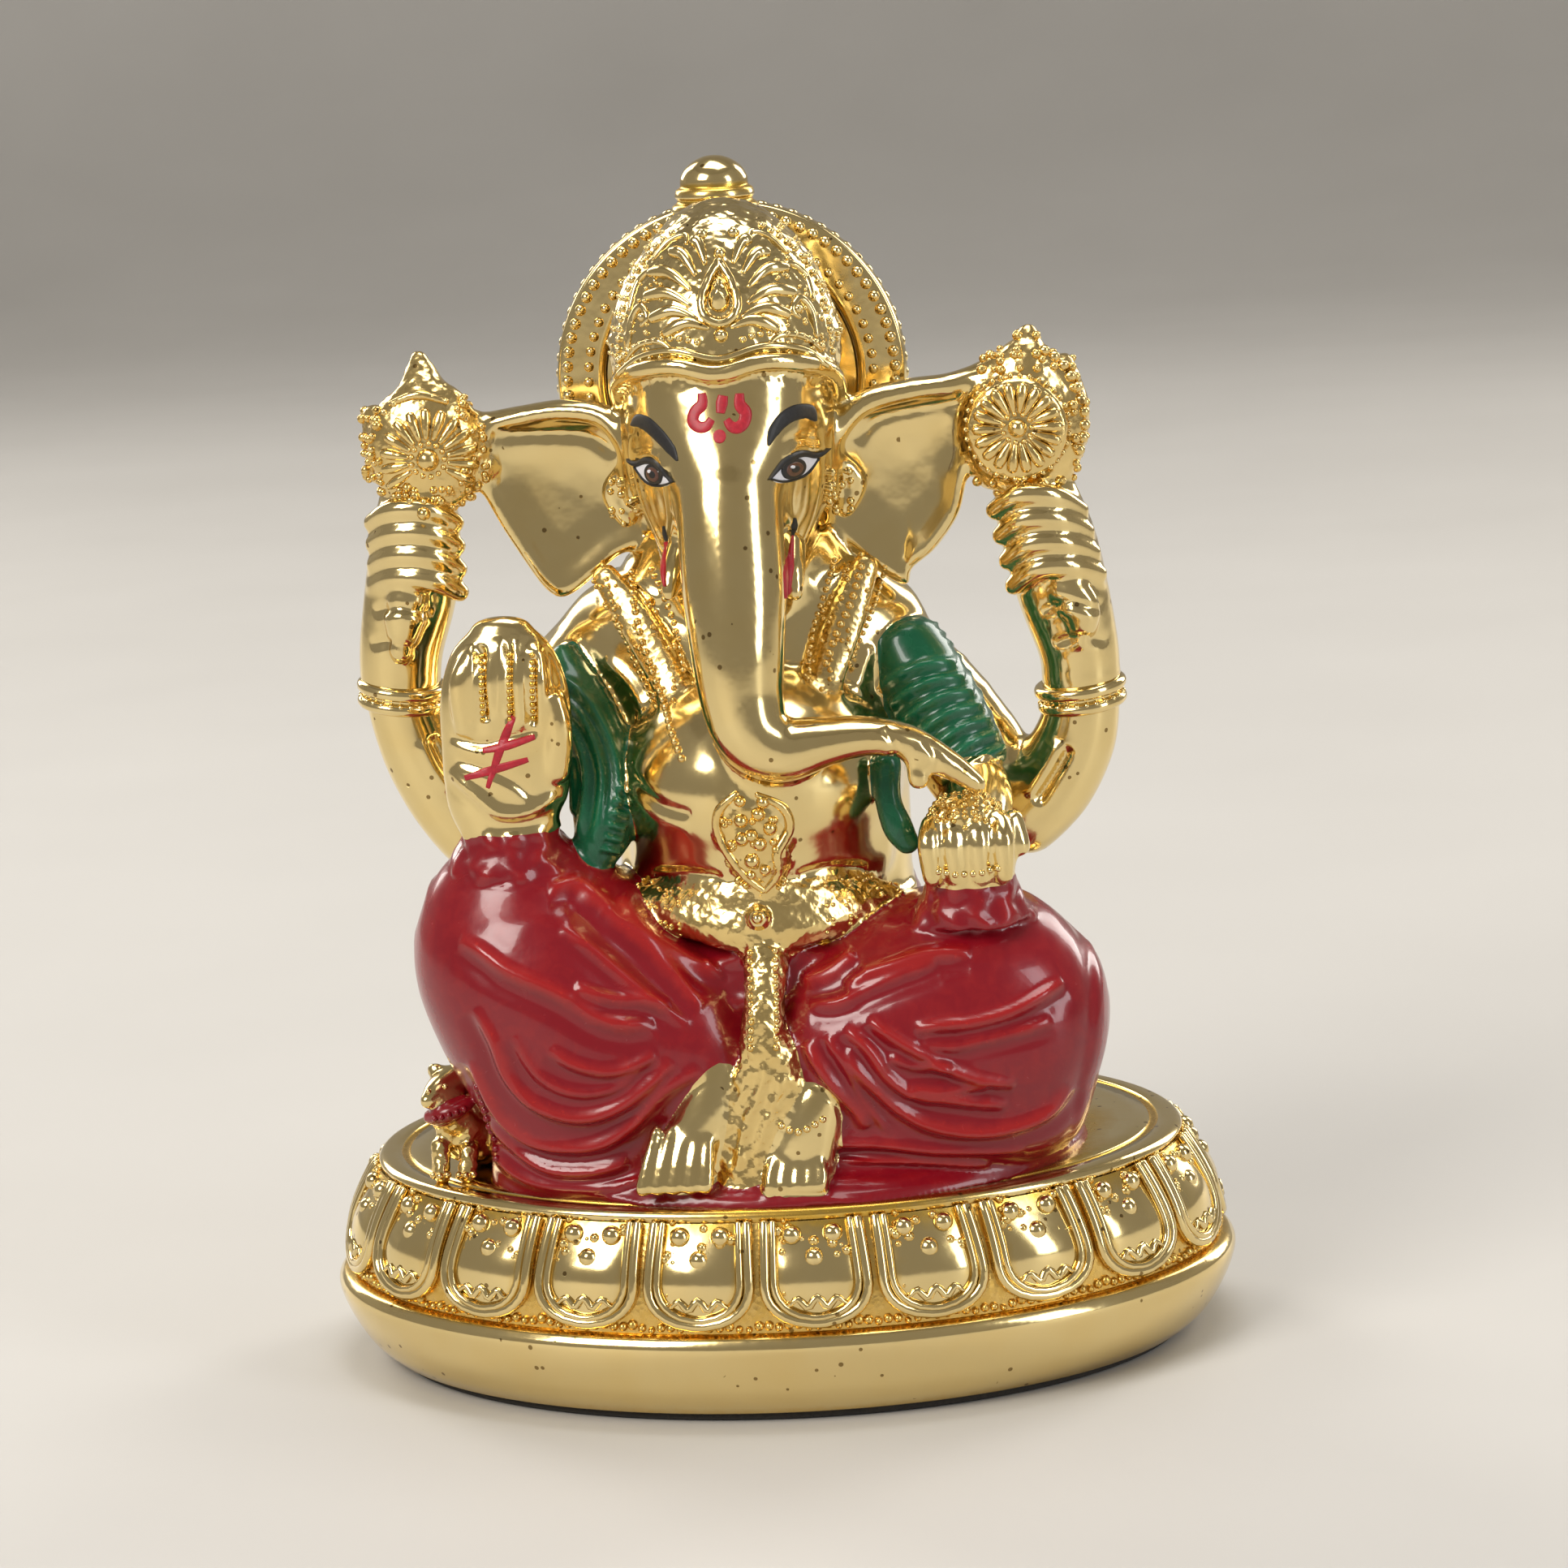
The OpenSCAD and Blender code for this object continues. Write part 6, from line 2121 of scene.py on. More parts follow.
    def halo(self, shop: Workshop) -> None:
        """Makes the halo plate."""
        r, d = self.halo_radius, self.halo_depth
        groove = [(r - 4.6, 0.12), (r - 4.85, 0.28), (r - 5.1, 0.7)]
        front = smooth_line(
            [(r, d * 0.5), (r - 0.12, 0.5), (r - 0.5, 0.05), (r - 2.3, 0.0), (r - 4.3, 0.0)], 5
        ).tolist()
        rear = smooth_line([(r - 0.5, d), (r - 0.12, d - 0.45), (r, d * 0.5)], 5).tolist()[:-1]
        rings = [
            (0.3, d), (3.0, d), (3.3, d + 0.25), (3.9, d + 0.25), (4.2, d), (r - 5.2, d),
            (r - 4.9, d + 0.25), (r - 4.3, d + 0.25), (r - 4.0, d), (r - 1.0, d),
        ]
        profile = rings + rear + front + groove + [(8.0, 0.7), (0.3, 0.7)]
        disc = turned(profile[::-1], sides=240)
        stand = Matrix.Translation(self.halo_centre) @ Matrix.Rotation(math.radians(-90), 4, "X")
        shop.place("halo_cast", moved(disc, stand), Finish.GOLD, ["halo"], crease=45)

    def halo_rows(self, shop: Workshop) -> None:
        """Makes the two rows of beads on the halo's front, and those on its edge and its back."""
        r, d = self.halo_radius, self.halo_depth
        centre = np.asarray(self.halo_centre)

        def ways(start: float, sweep: float, count: int, spans: int) -> list[Array]:
            """The outward directions of beads spread over a sweep in degrees."""
            angles = [math.radians(start + sweep * i / spans) for i in range(count)]
            return [np.array([math.cos(q), 0, math.sin(q)]) for q in angles]

        beads = []
        front_rows = (
            (r - 1.15, self.halo_beads, self.halo_bead),
            (r - 3.3, self.halo_beads - 8, self.halo_bead * 0.85),
        )
        for radius, count, size in front_rows:
            for out in ways(-24, 228, count, count - 1):
                beads.append(dome(centre + radius * out, FRONT, size, size * 0.9, 12))
        edge, back = self.EDGE_BEADS, self.BACK_BEADS
        for out in ways(-12, 204, edge, edge - 1):
            beads.append(dome(centre + out * (r - 0.2) + [0, d * 0.45, 0], out, 0.62, 0.34, 10))
        for out in ways(0, 360, back, back):
            beads.append(dome(centre + out * (r - 2.5) + [0, d - 0.02, 0], -FRONT, 0.5, 0.3, 10))
        shop.place("halo_beads_cast", beads, Finish.GOLD, ["halo_beads"])

    def finial(self, shop: Workshop) -> None:
        """Makes the finial with the two bead rows of its foot."""
        profile = [
            (5.6, 110.6), (5.6, 112.0), (5.2, 113.0), (4.6, 113.7), (4.2, 114.0), (4.2, 114.3),
            (4.35, 114.7), (4.2, 115.2), (3.8, 115.5), (3.75, 115.8), (3.95, 116.1),
            (3.8, 116.7), (3.4, 117.0), (3.35, 117.3), (3.3, 117.9), (2.8, 118.8), (1.9, 119.5),
            (0.9, 119.9), (0.1, 120.0),
        ]
        knob = turned(profile, centre=(*self.finial_at, 0), sides=96, steps=4)
        # Painted shade in the necks between the finial's rings; the rings stay pale.
        knob.cavity = np.interp(
            knob.points[:, 2], [112, 113.6, 114.1, 114.7, 115.6, 116.1, 117.1, 117.8],
            [0.6, 0.56, 0.74, 0.5, 0.74, 0.52, 0.72, 0.45],
        )
        foot = []
        for z, radius, count in ((112.8, 5.3, 34), (113.8, 4.65, 30)):
            for i in range(count):
                q = FULL_TURN * i / count
                out = np.array([math.cos(q), math.sin(q), 0.15])
                place = np.array(
                    [self.finial_at[0] + radius * out[0], self.finial_at[1] + radius * out[1], z]
                )
                foot.append(dome(place, out, 0.46, 0.3, 10))
        shop.place("finial_cast", [knob, *foot], Finish.GOLD, ["finial"])


@dataclass
class RearArm(Assembly):
    """A raised rear arm with its bangle, its hand and the emblem the hand holds."""

    side: str = "right"
    bangle: float = 4.6
    bar: float = 0.85
    TILT = 4
    BEADS = 26

    def __post_init__(self) -> None:
        """Names the arm's pieces after its side."""
        self.finishes = {
            f"{self.side}_{part}": Finish.GOLD for part in ("upper_arm", "forearm", "rear_hand")
        }
        self.finishes[f"{self.side}_emblem"] = Finish.GRAIN
        self.is_right = self.side == "right"

    @staticmethod
    def right_forms() -> tuple[Line, Line, Line, list[Line], Line, list[Shape]]:
        """The stations of the right upper arm, forearm, palm, fingers and thumb, and the emblem's solids."""
        upper = [
            (-14, -0.4, 73.4, 4.2, 4.4), (-19, 0, 68.4, 4.4, 4.4), (-24, -0.6, 61, 4.4, 4.4),
            (-28.2, -2, 54.6, 4.2, 4.4),
        ]
        fore = [
            (-28, -2.8, 54.2, 4.1, 4.2), (-30.6, -3.2, 57.4, 4.2, 4.2), (-33, -3.6, 62, 4, 4),
            (-34.4, -4, 66.4, 3.7, 3.7), (-34.9, -4.2, 70, 3.6, 3.7),
        ]
        palm = [
            (-34.8, -4.2, 69.6, 4, 3.8), (-34.4, -4.4, 73.4, 4.2, 4), (-33, -4.8, 79, 4.6, 4.2),
            (-32, -5, 84.6, 4.4, 4), (-31.6, -5, 88.4, 3.8, 3.4),
        ]
        fingers = [
            [
                (-36, -6.6, 86.2 - i * 2.1, 1, 1), (-33.6, -9, 87.6 - i * 2.2, 1.1, 1.1),
                (-30.2, -9.6, 87.6 - i * 2.3, 1.1, 1.1), (-27.6, -8, 86 - i * 2.3, 1, 1),
            ]
            for i in range(4)
        ]
        thumb = [(-32.6, -8.4, 79.6, 2, 1.6), (-33.2, -9, 76.4, 1.9, 1.6), (-33.8, -8.6, 73.4, 1, 1)]
        emblem = [
            loft(
                [
                    (-30.6, -6, 88.6, 4.4, 3), (-30.2, -6.4, 91.4, 5.6, 3.2), (-30.2, -6.4, 95, 5.7, 3.2),
                    (-30.2, -6, 98, 4.2, 2.6), (-30.3, -5.6, 99.6, 2.2, 2),
                ],
                (0.2, 0.4), sides=64,
            ),
            loft([(-35.4, -5, 91, 1.2, 1.6), (-35.4, -5, 96.6, 1.2, 1.6)]),
            loft([(-26.4, -5.6, 95, 2.2, 2), (-25.4, -5.6, 91, 2.2, 2)]),
            ball((-30.3, -5.4, 100), (1.9, 1.9, 1.4)),
            loft([(-30.4, -5.2, 101, 1.5, 1.5), (-30.5, -5, 102, 0.9, 0.9)]),
        ]
        return upper, fore, palm, fingers, thumb, emblem

    @staticmethod
    def left_forms() -> tuple[Line, Line, Line, list[Line], Line, list[Shape]]:
        """The stations of the left upper arm, forearm, palm, fingers and thumb, and the emblem's solids."""
        upper = [
            (13, -0.4, 71, 4.2, 4.4), (18, 0, 66.4, 4.4, 4.4), (22.4, -1, 60.6, 4.4, 4.4),
            (26.2, -2.6, 54.6, 4.2, 4.4),
        ]
        fore = [
            (26.4, -3.6, 53.6, 4.1, 4.2), (29.4, -3.8, 56.6, 4.3, 4.2), (31.8, -4, 60.6, 4.1, 4),
            (32.8, -4.2, 64, 3.8, 3.8), (33, -4.2, 68, 3.6, 3.7),
        ]
        palm = [
            (33, -4.2, 67, 3.8, 3.8), (32.8, -4.4, 70.6, 4, 4), (31.6, -4.8, 76, 4.5, 4.2),
            (30.4, -5, 81.4, 4.6, 4), (29, -5, 86.4, 4.1, 3.4),
        ]
        fingers = [
            [
                (25.4 + i * 0.5, -8, 84.8 - i * 2.5, 1, 1), (28 + i * 0.5, -9.6, 86.4 - i * 2.4, 1.1, 1.1),
                (31.2 + i * 0.5, -9, 86 - i * 2.3, 1.1, 1.1), (33.6 + i * 0.5, -6.6, 84.2 - i * 2.1, 1, 1),
            ]
            for i in range(4)
        ]
        thumb = [(32, -8.4, 77, 2, 1.6), (33.4, -8.8, 74.6, 1.9, 1.6), (33.2, -8, 71.6, 1, 1)]
        emblem = [
            loft(
                [
                    (28.4, -5.4, 87, 4.4, 2.8), (28.4, -5.6, 90, 5.8, 3), (28.6, -5.6, 94.4, 5.9, 3),
                    (28.9, -5.4, 98, 4.4, 2.8), (29.2, -5.2, 100, 2.4, 2.2),
                ],
                (0.2, 0.4), sides=64,
            ),
            loft([(27.9, -6.2, 92.7, 5.4, 5.4), (27.9, -9.1, 92.7, 4.9, 4.9)], (0, 0.12), UP, sides=72),
            loft([(33.6, -4.2, 91, 1.1, 1.6), (33.8, -4.2, 94.4, 1.1, 1.6), (32.6, -4.4, 98.4, 1.1, 1.6)]),
            loft([(29.2, -5.2, 100.4, 1.7, 1.7), (29.3, -5, 101.4, 1.1, 1.1)]),
        ]
        return upper, fore, palm, fingers, thumb, emblem

    def pour(self, casting: Casting) -> None:
        """Adds the arm to the casting."""
        forms = self.right_forms() if self.is_right else self.left_forms()
        upper, fore, palm, fingers, thumb, emblem = forms
        s = self.side
        casting.add(f"{s}_upper_arm", [loft(upper)], 2.2)
        casting.add(f"{s}_forearm", [loft(fore, (0.8, 0))], 1.6)
        hand = [loft(palm, (0, 0.3)), *[loft(f, ref=UP, sides=24) for f in fingers], loft(thumb)]
        casting.add(f"{s}_rear_hand", hand, 0.7, 0.35)
        casting.add(f"{s}_emblem", emblem, 0.4, 0.5)
        casting.work(f"{s}_emblem", grain(0.06, 1.5))
        centre_x = -21.0 if self.is_right else 20.0
        casting.work(f"{s}_upper_arm", wrapped_folds((centre_x, -1), 4.0, 0.12, 2.0, everywhere))
        if self.is_right:
            wrist = [(-36.4, 77.4), (-33.4, 78.2), (-30.4, 77.2)], [
                (-37.0, 74.2), (-34.6, 74.6), (-32.2, 73.8)
            ]
            elbow = ([(-31.6, 64.6), (-30.6, 62.0), (-29.2, 59.6)], -0.5, 0.5)
        else:
            wrist = [(29.4, 74.6), (32.4, 75.8), (35.4, 74.6)], [(30.4, 71.4), (33.2, 72.2), (35.8, 71.2)]
            elbow = ([(31.6, 61.0), (30.0, 58.4), (28.0, 55.6)], -0.7, 0.5)
        casting.work(f"{s}_rear_hand", folds((wrist[0], -0.3, 0.45), (wrist[1], -0.25, 0.45)))
        casting.work(f"{s}_forearm", folds(elbow))

    def garnish(self, skin: Skin, pieces: dict[str, Shape]) -> Garnish:
        """Adds the ornament of the emblem."""
        ornament = self.right_ornament(skin) if self.is_right else self.left_ornament(skin)
        strewn = granules(
            pieces[f"{self.side}_emblem"], 1.7, 0.5, self.rough_right if self.is_right else self.rough_left
        )
        return {f"{self.side}_emblem": ornament + strewn}

    @staticmethod
    def rough_right(p: Array) -> Array:
        """Says which points of the right emblem carry granules."""
        return (p[:, 2] < 90) | (p[:, 0] > -26.2) | (p[:, 0] < -34.6)

    @staticmethod
    def rough_left(p: Array) -> Array:
        """Says which points of the left emblem carry granules."""
        return (p[:, 2] < 87.6) | (p[:, 2] > 98.4) | (p[:, 0] > 33.4)

    def right_ornament(self, skin: Skin) -> list[Shape]:
        """The fan of spokes, the bead rings and the bar of the right emblem."""
        cx, cz = -29.6, 92.5
        work = []
        for i in range(13):
            a = math.radians(-30 + 240 * i / 12)
            spoke = [(cx + k * math.cos(a), cz + k * math.sin(a) * 1.05) for k in (2.0, 3.3, 4.6)]
            work.append(skin.bar(spoke, [0.26, 0.42, 0.58, 0.46], 10, 4))
        work += [
            dome(*skin.front(cx, cz), 1.15, 1.0, 20), *self.ring_of_beads(skin, (cx, cz), 1.65, 13, 0.3)
        ]
        work += [
            *self.ring_of_beads(skin, (-30.2, 93.6), 5.1, 24, 0.36), dome(*skin.front(-30.2, 87.4), 0.7)
        ]
        work.append(skin.bar([(-33.2, 98.0), (-30.3, 98.8), (-27.6, 98.0)], [0.3, 0.5, 0.3]))
        return work

    def left_ornament(self, skin: Skin) -> list[Shape]:
        """The wheel of spokes, the bead rings and the bead string of the left emblem."""
        cx, cz = 28.0, 92.9
        work = []
        for i in range(18):
            a = FULL_TURN * i / 18
            spoke = [(cx + k * math.cos(a), cz + k * math.sin(a)) for k in (1.5, 2.9, 4.2)]
            work.append(skin.bar(spoke, [0.16, 0.42, 0.62, 0.5], 10, 4))
        work += [
            dome(*skin.front(cx, cz), 0.95, 0.8, 18), *self.ring_of_beads(skin, (cx, cz), 1.4, 11, 0.27)
        ]
        work += self.ring_of_beads(skin, (cx, cz), 5.0, 34, 0.3)
        work += skin.chain(
            [(33.6, 89.6), (34.4, 92.6), (34.0, 95.6), (32.6, 98.4), (30.8, 100.0)], 0.62, 1.25
        )
        return work

    @staticmethod
    def ring_of_beads(skin: Skin, centre: Point, radius: float, count: int, size: float) -> list[Shape]:
        """Beads in a ring on the skin, seen from the front."""
        turns = np.arange(count) * 2 * math.pi / count
        spots = [(centre[0] + radius * math.cos(q), centre[1] + radius * math.sin(q)) for q in turns]
        return [dome(*skin.front(x, z), size, sides=8) for x, z in spots]

    def extras(self, skin: Skin, shop: Workshop) -> None:
        """Makes the double-ringed bangle."""
        at, lean = ((-34.7, -4.1, 68.6), 8) if self.is_right else ((32.9, -4.2, 65.8), -6)
        turn = Matrix.Rotation(math.radians(lean), 4, "Y") @ Matrix.Rotation(math.radians(self.TILT), 4, "X")
        stand = Matrix.Translation(at) @ turn
        q = full_turn(96)
        r = self.bangle - self.bar
        rings = []
        for z, bar, radius in ((-0.8, 0.72, r + 0.1), (0.05, 0.6, r - 0.25), (0.75, 0.78, r + 0.2)):
            line = np.stack([radius * np.cos(q), radius * np.sin(q), np.full(len(q), z)], -1)
            rings.append(tube(line, np.full(len(q), self.bar * bar), 14, closed=True, ref=UP))
        for i in range(self.BEADS):
            a = FULL_TURN * i / self.BEADS
            out = np.array([math.cos(a), math.sin(a), -0.1])
            rings.append(dome(out * (r + 0.25) + [0, 0, -0.02], out, 0.34, 0.4, 8))
        bangle = moved(Shape.joined(rings), stand)
        bangle.normals = None
        shop.place(f"{self.side}_bangle_cast", bangle, Finish.GOLD, [f"{self.side}_bangle"])


@dataclass
class FrontArms(Assembly):
    """The front arms with their green sleeves: the blessing hand, and the hand with the sweet."""

    paint: float = 0.85
    finishes = {
        "blessing_arm": Finish.GOLD,
        "blessing_hand": Finish.GOLD,
        "blessing_cuff": Finish.RED,
        "offering_arm": Finish.GOLD,
        "offering_hand": Finish.GOLD,
        "offering_cuff": Finish.RED,
        "sweet": Finish.GRAIN,
        "right_shawl": Finish.GREEN,
        "left_shawl": Finish.GREEN,
        "shawl_tail": Finish.GREEN,
    }

    @staticmethod
    def cuff(x: float, y: float, z: float) -> Shape:
        """The red cloth gathered under a hand."""
        return loft(
            [(x, y, z, 4.3, 3.8), (x, y + 0.3, z - 1.7, 4.8, 4.4), (x, y + 0.5, z - 4, 5.9, 5.2)], (0, 0),
            sides=64,
        )

    def pour(self, casting: Casting) -> None:
        """Adds arms, hands, cuffs and shawls to the casting."""
        arm = [
            (-16.6, -3.6, 70.4, 4, 4), (-20, -6, 65, 4, 4), (-22.4, -10, 60.4, 3.9, 3.9),
            (-22.6, -15, 58.2, 3.4, 3.4),
        ]
        casting.add("blessing_arm", [loft(arm)], 1.5)
        palm = [
            (-22.6, -17.2, 57, 4.6, 3.2), (-22.9, -17.6, 60, 5.9, 3.4), (-22.5, -18, 65.4, 6.4, 3.2),
            (-22.3, -18.4, 70.6, 6.3, 2.7), (-22.2, -18.6, 74.8, 5, 2.3), (-22.2, -18.4, 77, 3, 1.7),
        ]
        fingers = [
            [
                (-26 + i * 2.4, -20, 67.6, 1.2, 1.2), (-26.2 + i * 2.5, -20.8, 72, 1.15, 1.1),
                (-25.2 + i * 2.1, -20.2, 75.6 - abs(i - 1.6) * 0.7, 1, 0.9),
            ]
            for i in range(4)
        ]
        thumb = [(-17.8, -19.4, 63, 1.5, 1.3), (-17, -20.2, 67, 1.3, 1.2), (-17.2, -20.2, 70, 1, 1)]
        hand = [loft(palm, (0.2, 0.7), sides=72), *[loft(f, sides=24) for f in [*fingers, thumb]]]
        casting.add("blessing_hand", hand, 0.6, 0.3)
        casting.add("blessing_cuff", [self.cuff(-22.8, -17.2, 57.4)], 1.2)
        arm = [(20.6, -9.4, 60, 3.7, 3.8), (22.4, -13, 57.6, 3.6, 3.6), (22, -17, 56, 3.6, 3.2)]
        casting.add("offering_arm", [loft(arm, ref=UP)], 1.5)
        palm = [(21.8, -19.8, 50.8, 3.9, 3.2), (21.8, -20.2, 53.2, 4.7, 3.6), (21.7, -20.2, 56, 4.5, 3.6)]
        fingers = [
            [
                (18.4 + i * 2.2, -22, 57.4 - abs(i - 1.5) * 0.5, 1.1, 1.2),
                (18.1 + i * 2.4, -23.6, 55, 1.1, 1.1), (18.3 + i * 2.3, -23.2, 51.8, 0.95, 0.9),
            ]
            for i in range(4)
        ]
        thumb = [(26.2, -20, 56.6, 1, 1.2), (26.8, -20.4, 54, 1, 1.1)]
        hand = [loft(palm, (0, 0.2)), *[loft(f, sides=24) for f in [*fingers, thumb]]]
        casting.add("offering_hand", hand, 0.6, 0.3)
        casting.add("offering_cuff", [self.cuff(21.8, -19.8, 51)], 1.2)
        casting.add("sweet", [ball((21.6, -20.6, 57), (3.6, 3, 2.5))], 0.4)
        shawl = [
            (-17.6, -7.4, 72, 1.4, 2), (-15.8, -10.8, 67.4, 3, 3), (-14.1, -13, 61.4, 3.6, 3.2),
            (-14, -14.6, 56.4, 3.1, 3), (-15.4, -15.2, 53, 1.9, 2.2),
        ]
        casting.add("right_shawl", [loft(shawl, sides=56)], 0.5, bias=-0.05)
        sleeve = [
            (15.6, -5.4, 71.6, 4, 4.4), (17.8, -7, 67.4, 4.5, 4.8), (20, -8.6, 63.2, 4.5, 4.6),
            (21.8, -9.6, 59.6, 4.1, 4.2),
        ]
        casting.add("left_shawl", [loft(sleeve, (0.5, 0.3), sides=64)], 0.5, bias=-0.05)
        tail = [
            (14.2, -17.6, 62, 1.4, 1.4), (14.2, -18.4, 58.6, 1.3, 1.3), (15, -18.8, 56, 1.5, 1.4),
            (15.8, -18.6, 54.4, 1.2, 1.2),
        ]
        casting.add("shawl_tail", [loft(tail)], 0.4, bias=-0.05)
        self.crease_cloth(casting)

    def crease_cloth(self, casting: Casting) -> None:
        """Works folds into the sleeves and cuffs and lines into the palm."""
        sleeve = [
            (
                [(-18.0, 71.0), (-15.6, 69.4), (-13.6, 66.6), (-12.4, 63.4), (-12.2, 60.4), (-12.9, 57.0)],
                0.42, 0.45,
            ),
            (
                [(-17.6, 69.4), (-15.6, 67.4), (-14.2, 64.6), (-13.6, 61.6), (-14.0, 58.2), (-14.8, 55.4)],
                0.42, 0.45,
            ),
            ([(-17.2, 67.0), (-15.9, 64.6), (-15.3, 61.8), (-15.6, 58.6), (-16.3, 55.8)], 0.42, 0.45),
            ([(-16.9, 63.6), (-16.7, 60.8), (-17.0, 57.6)], 0.36, 0.4),
        ]
        casting.work("right_shawl", folds(*sleeve))
        ticks = [
            ([(-12.2 - 0.35 * k, 60.6 - 1.15 * k), (-10.6 - 0.35 * k, 59.9 - 1.15 * k)], 0.4, 0.3)
            for k in range(6)
        ]
        casting.work("right_shawl", folds(*ticks))
        starts = (
            (13.0, 1.15, 67.6, 1.55), (15.2, 1.1, 69.4, 1.5), (18.0, 1.0, 70.4, 1.45), (21.0, 0.8, 70.2, 1.4)
        )
        bands = [([(x + dx * k, z - dz * k) for x, dx, z, dz in starts], 0.42, 0.42) for k in range(8)]
        casting.work("left_shawl", folds(*bands))
        casting.work("left_shawl", wrapped_folds((18.5, -7.5), 1.9, 0.3, 0.8, behind))
        casting.work("right_shawl", wrapped_folds((-15, -12), 2.2, 0.25, 0.8, behind))
        for cuff, x, y in (("blessing_cuff", -22.8, -17.0), ("offering_cuff", 21.8, -19.6)):
            casting.work(cuff, self.gathers(x, y))
        palm = folds(
            ([(-28.0, 63.4), (-25.6, 61.4), (-23.3, 59.4), (-20.4, 59.4), (-17.7, 60.8)], 0.45, 0.6),
            ([(-27.6, 67.0), (-24.6, 66.2), (-21.6, 66.8), (-18.6, 67.4)], -0.35, 0.4),
            ([(-27.2, 64.6), (-24.0, 63.6), (-21.4, 62.2), (-20.0, 60.6)], -0.3, 0.4),
            ([(-24.0, 75.8), (-24.0, 72.0), (-24.0, 68.4)], -0.75, 0.45),
            ([(-21.2, 76.4), (-21.4, 72.0), (-21.6, 68.2)], -0.75, 0.45),
            ([(-18.9, 74.8), (-19.2, 71.0), (-19.5, 67.6)], -0.75, 0.45),
        )
        casting.work("blessing_hand", palm)
        casting.work("sweet", grain(0.18, 1.3))

    @staticmethod
    def gathers(x: float, y: float) -> Worker:
        """Upright gathers round a cuff that stands at x, y."""

        def lift(points: Array, normals: Array) -> Array:
            """The lift of the gathers at each point."""
            turn = np.arctan2(points[:, 0] - x, -(points[:, 1] - y))
            return 0.1 * np.sin(9 * turn + 0.8 * np.sin(points[:, 2] * 2.1)) + 0.16 * hash_noise(points, 2.4)

        return lift

    def garnish(self, skin: Skin, pieces: dict[str, Shape]) -> Garnish:
        """Adds the granules between the fingers, under the offering hand and on the sweet."""
        between = []
        for tip, root in ((-24.0, -24.2), (-21.3, -21.6), (-19.0, -19.4)):
            between += skin.chain([(tip, 75.0), (0.5 * (tip + root), 71.6), (root, 68.4)], 0.3, 0.7, 8)
        knuckles = skin.chain([(18.6, 52.6), (20.8, 52.2), (23.0, 52.3), (25.2, 52.8)], 0.34, 0.9, 8)
        crumbs = granules(pieces["sweet"], 1.0, 0.34, lambda p: p[:, 2] > 56.0)
        # The beads between the fingers get a high cavity value: painted shade between the fingers.
        return {
            "blessing_hand": [s.with_painted_shade(0.66) for s in between],
            "offering_hand": knuckles,
            "sweet": crumbs,
        }

    def extras(self, skin: Skin, shop: Workshop) -> None:
        """Paints the mark on the blessing palm."""
        p = self.paint
        mark = [
            skin.ribbon(
                [(-21.2, 68.8), (-22.0, 67.2), (-22.9, 65.2), (-24.2, 61.9)], [p * 0.6, p, p, p * 0.5]
            ),
            skin.ribbon([(-24.4, 65.6), (-22.0, 66.0), (-19.3, 66.7)], [p * 0.6, p, p * 0.6]),
            skin.ribbon([(-26.4, 62.9), (-23.4, 63.7), (-20.1, 64.5)], [p * 0.6, p * 1.05, p * 0.6]),
        ]
        shop.place("palm_mark", mark, Finish.MARK)


@dataclass
class Mouse(Assembly):
    """The small mouse that sits beside the right leg, with its scarf."""

    finishes = {"mouse_body": Finish.GRAIN, "mouse_head": Finish.GOLD, "mouse_scarf": Finish.RED}

    def pour(self, casting: Casting) -> None:
        """Adds the mouse to the casting."""
        body = [
            loft([(-28.6, -9, 23.8, 2.8, 2.6), (-30, -11, 25, 3.1, 3), (-31.2, -13, 27.4, 2.3, 2.4)]),
            loft([(-32.4, -14.4, 24.6, 1, 1), (-32.4, -15.6, 21.8, 0.9, 0.9)]),
            loft([(-29.6, -14.6, 24, 1, 1), (-29.8, -15.6, 21.8, 0.9, 0.9)]),
        ]
        casting.add("mouse_body", body, 0.5)
        head = [
            loft(
                [(-31, -12.6, 30.4, 2.1, 2), (-32.2, -14.4, 30.2, 1.6, 1.5), (-33.2, -16, 29.6, 0.8, 0.8)],
                ref=UP,
            ),
            ball((-32.8, -12.4, 31.8), (1, 0.5, 1)),
            ball((-29.6, -13, 32), (1, 0.5, 1)),
        ]
        casting.add("mouse_head", head, 0.4, 0.4)
        scarf = [(-33.2, -14.4, 27.6, 1, 0.8), (-31.4, -15.6, 28.2, 1.2, 1), (-29.4, -15, 29, 1, 0.8)]
        casting.add("mouse_scarf", [loft(scarf, ref=UP)], 0.3)
        casting.work("mouse_body", grain(0.14, 1.3))

    def garnish(self, skin: Skin, pieces: dict[str, Shape]) -> Garnish:
        """Adds the mouse's eyes, toes and the beads of its scarf."""
        eyes = [dome(*skin.front(-33.0, 30.6), 0.3), dome(*skin.front(-31.4, 30.9), 0.3)]
        toes = [dome(*skin.front(x, 22.0), 0.4) for x in (-33.1, -32.4, -31.7, -30.5, -29.8, -29.1)]
        return {
            "mouse_head": eyes, "mouse_body": toes,
            "mouse_scarf": skin.chain([(-32.8, 27.8), (-29.4, 28.8)], 0.36, 0.8),
        }


# ---------------------------------------------------------------- the whole figure and its studio


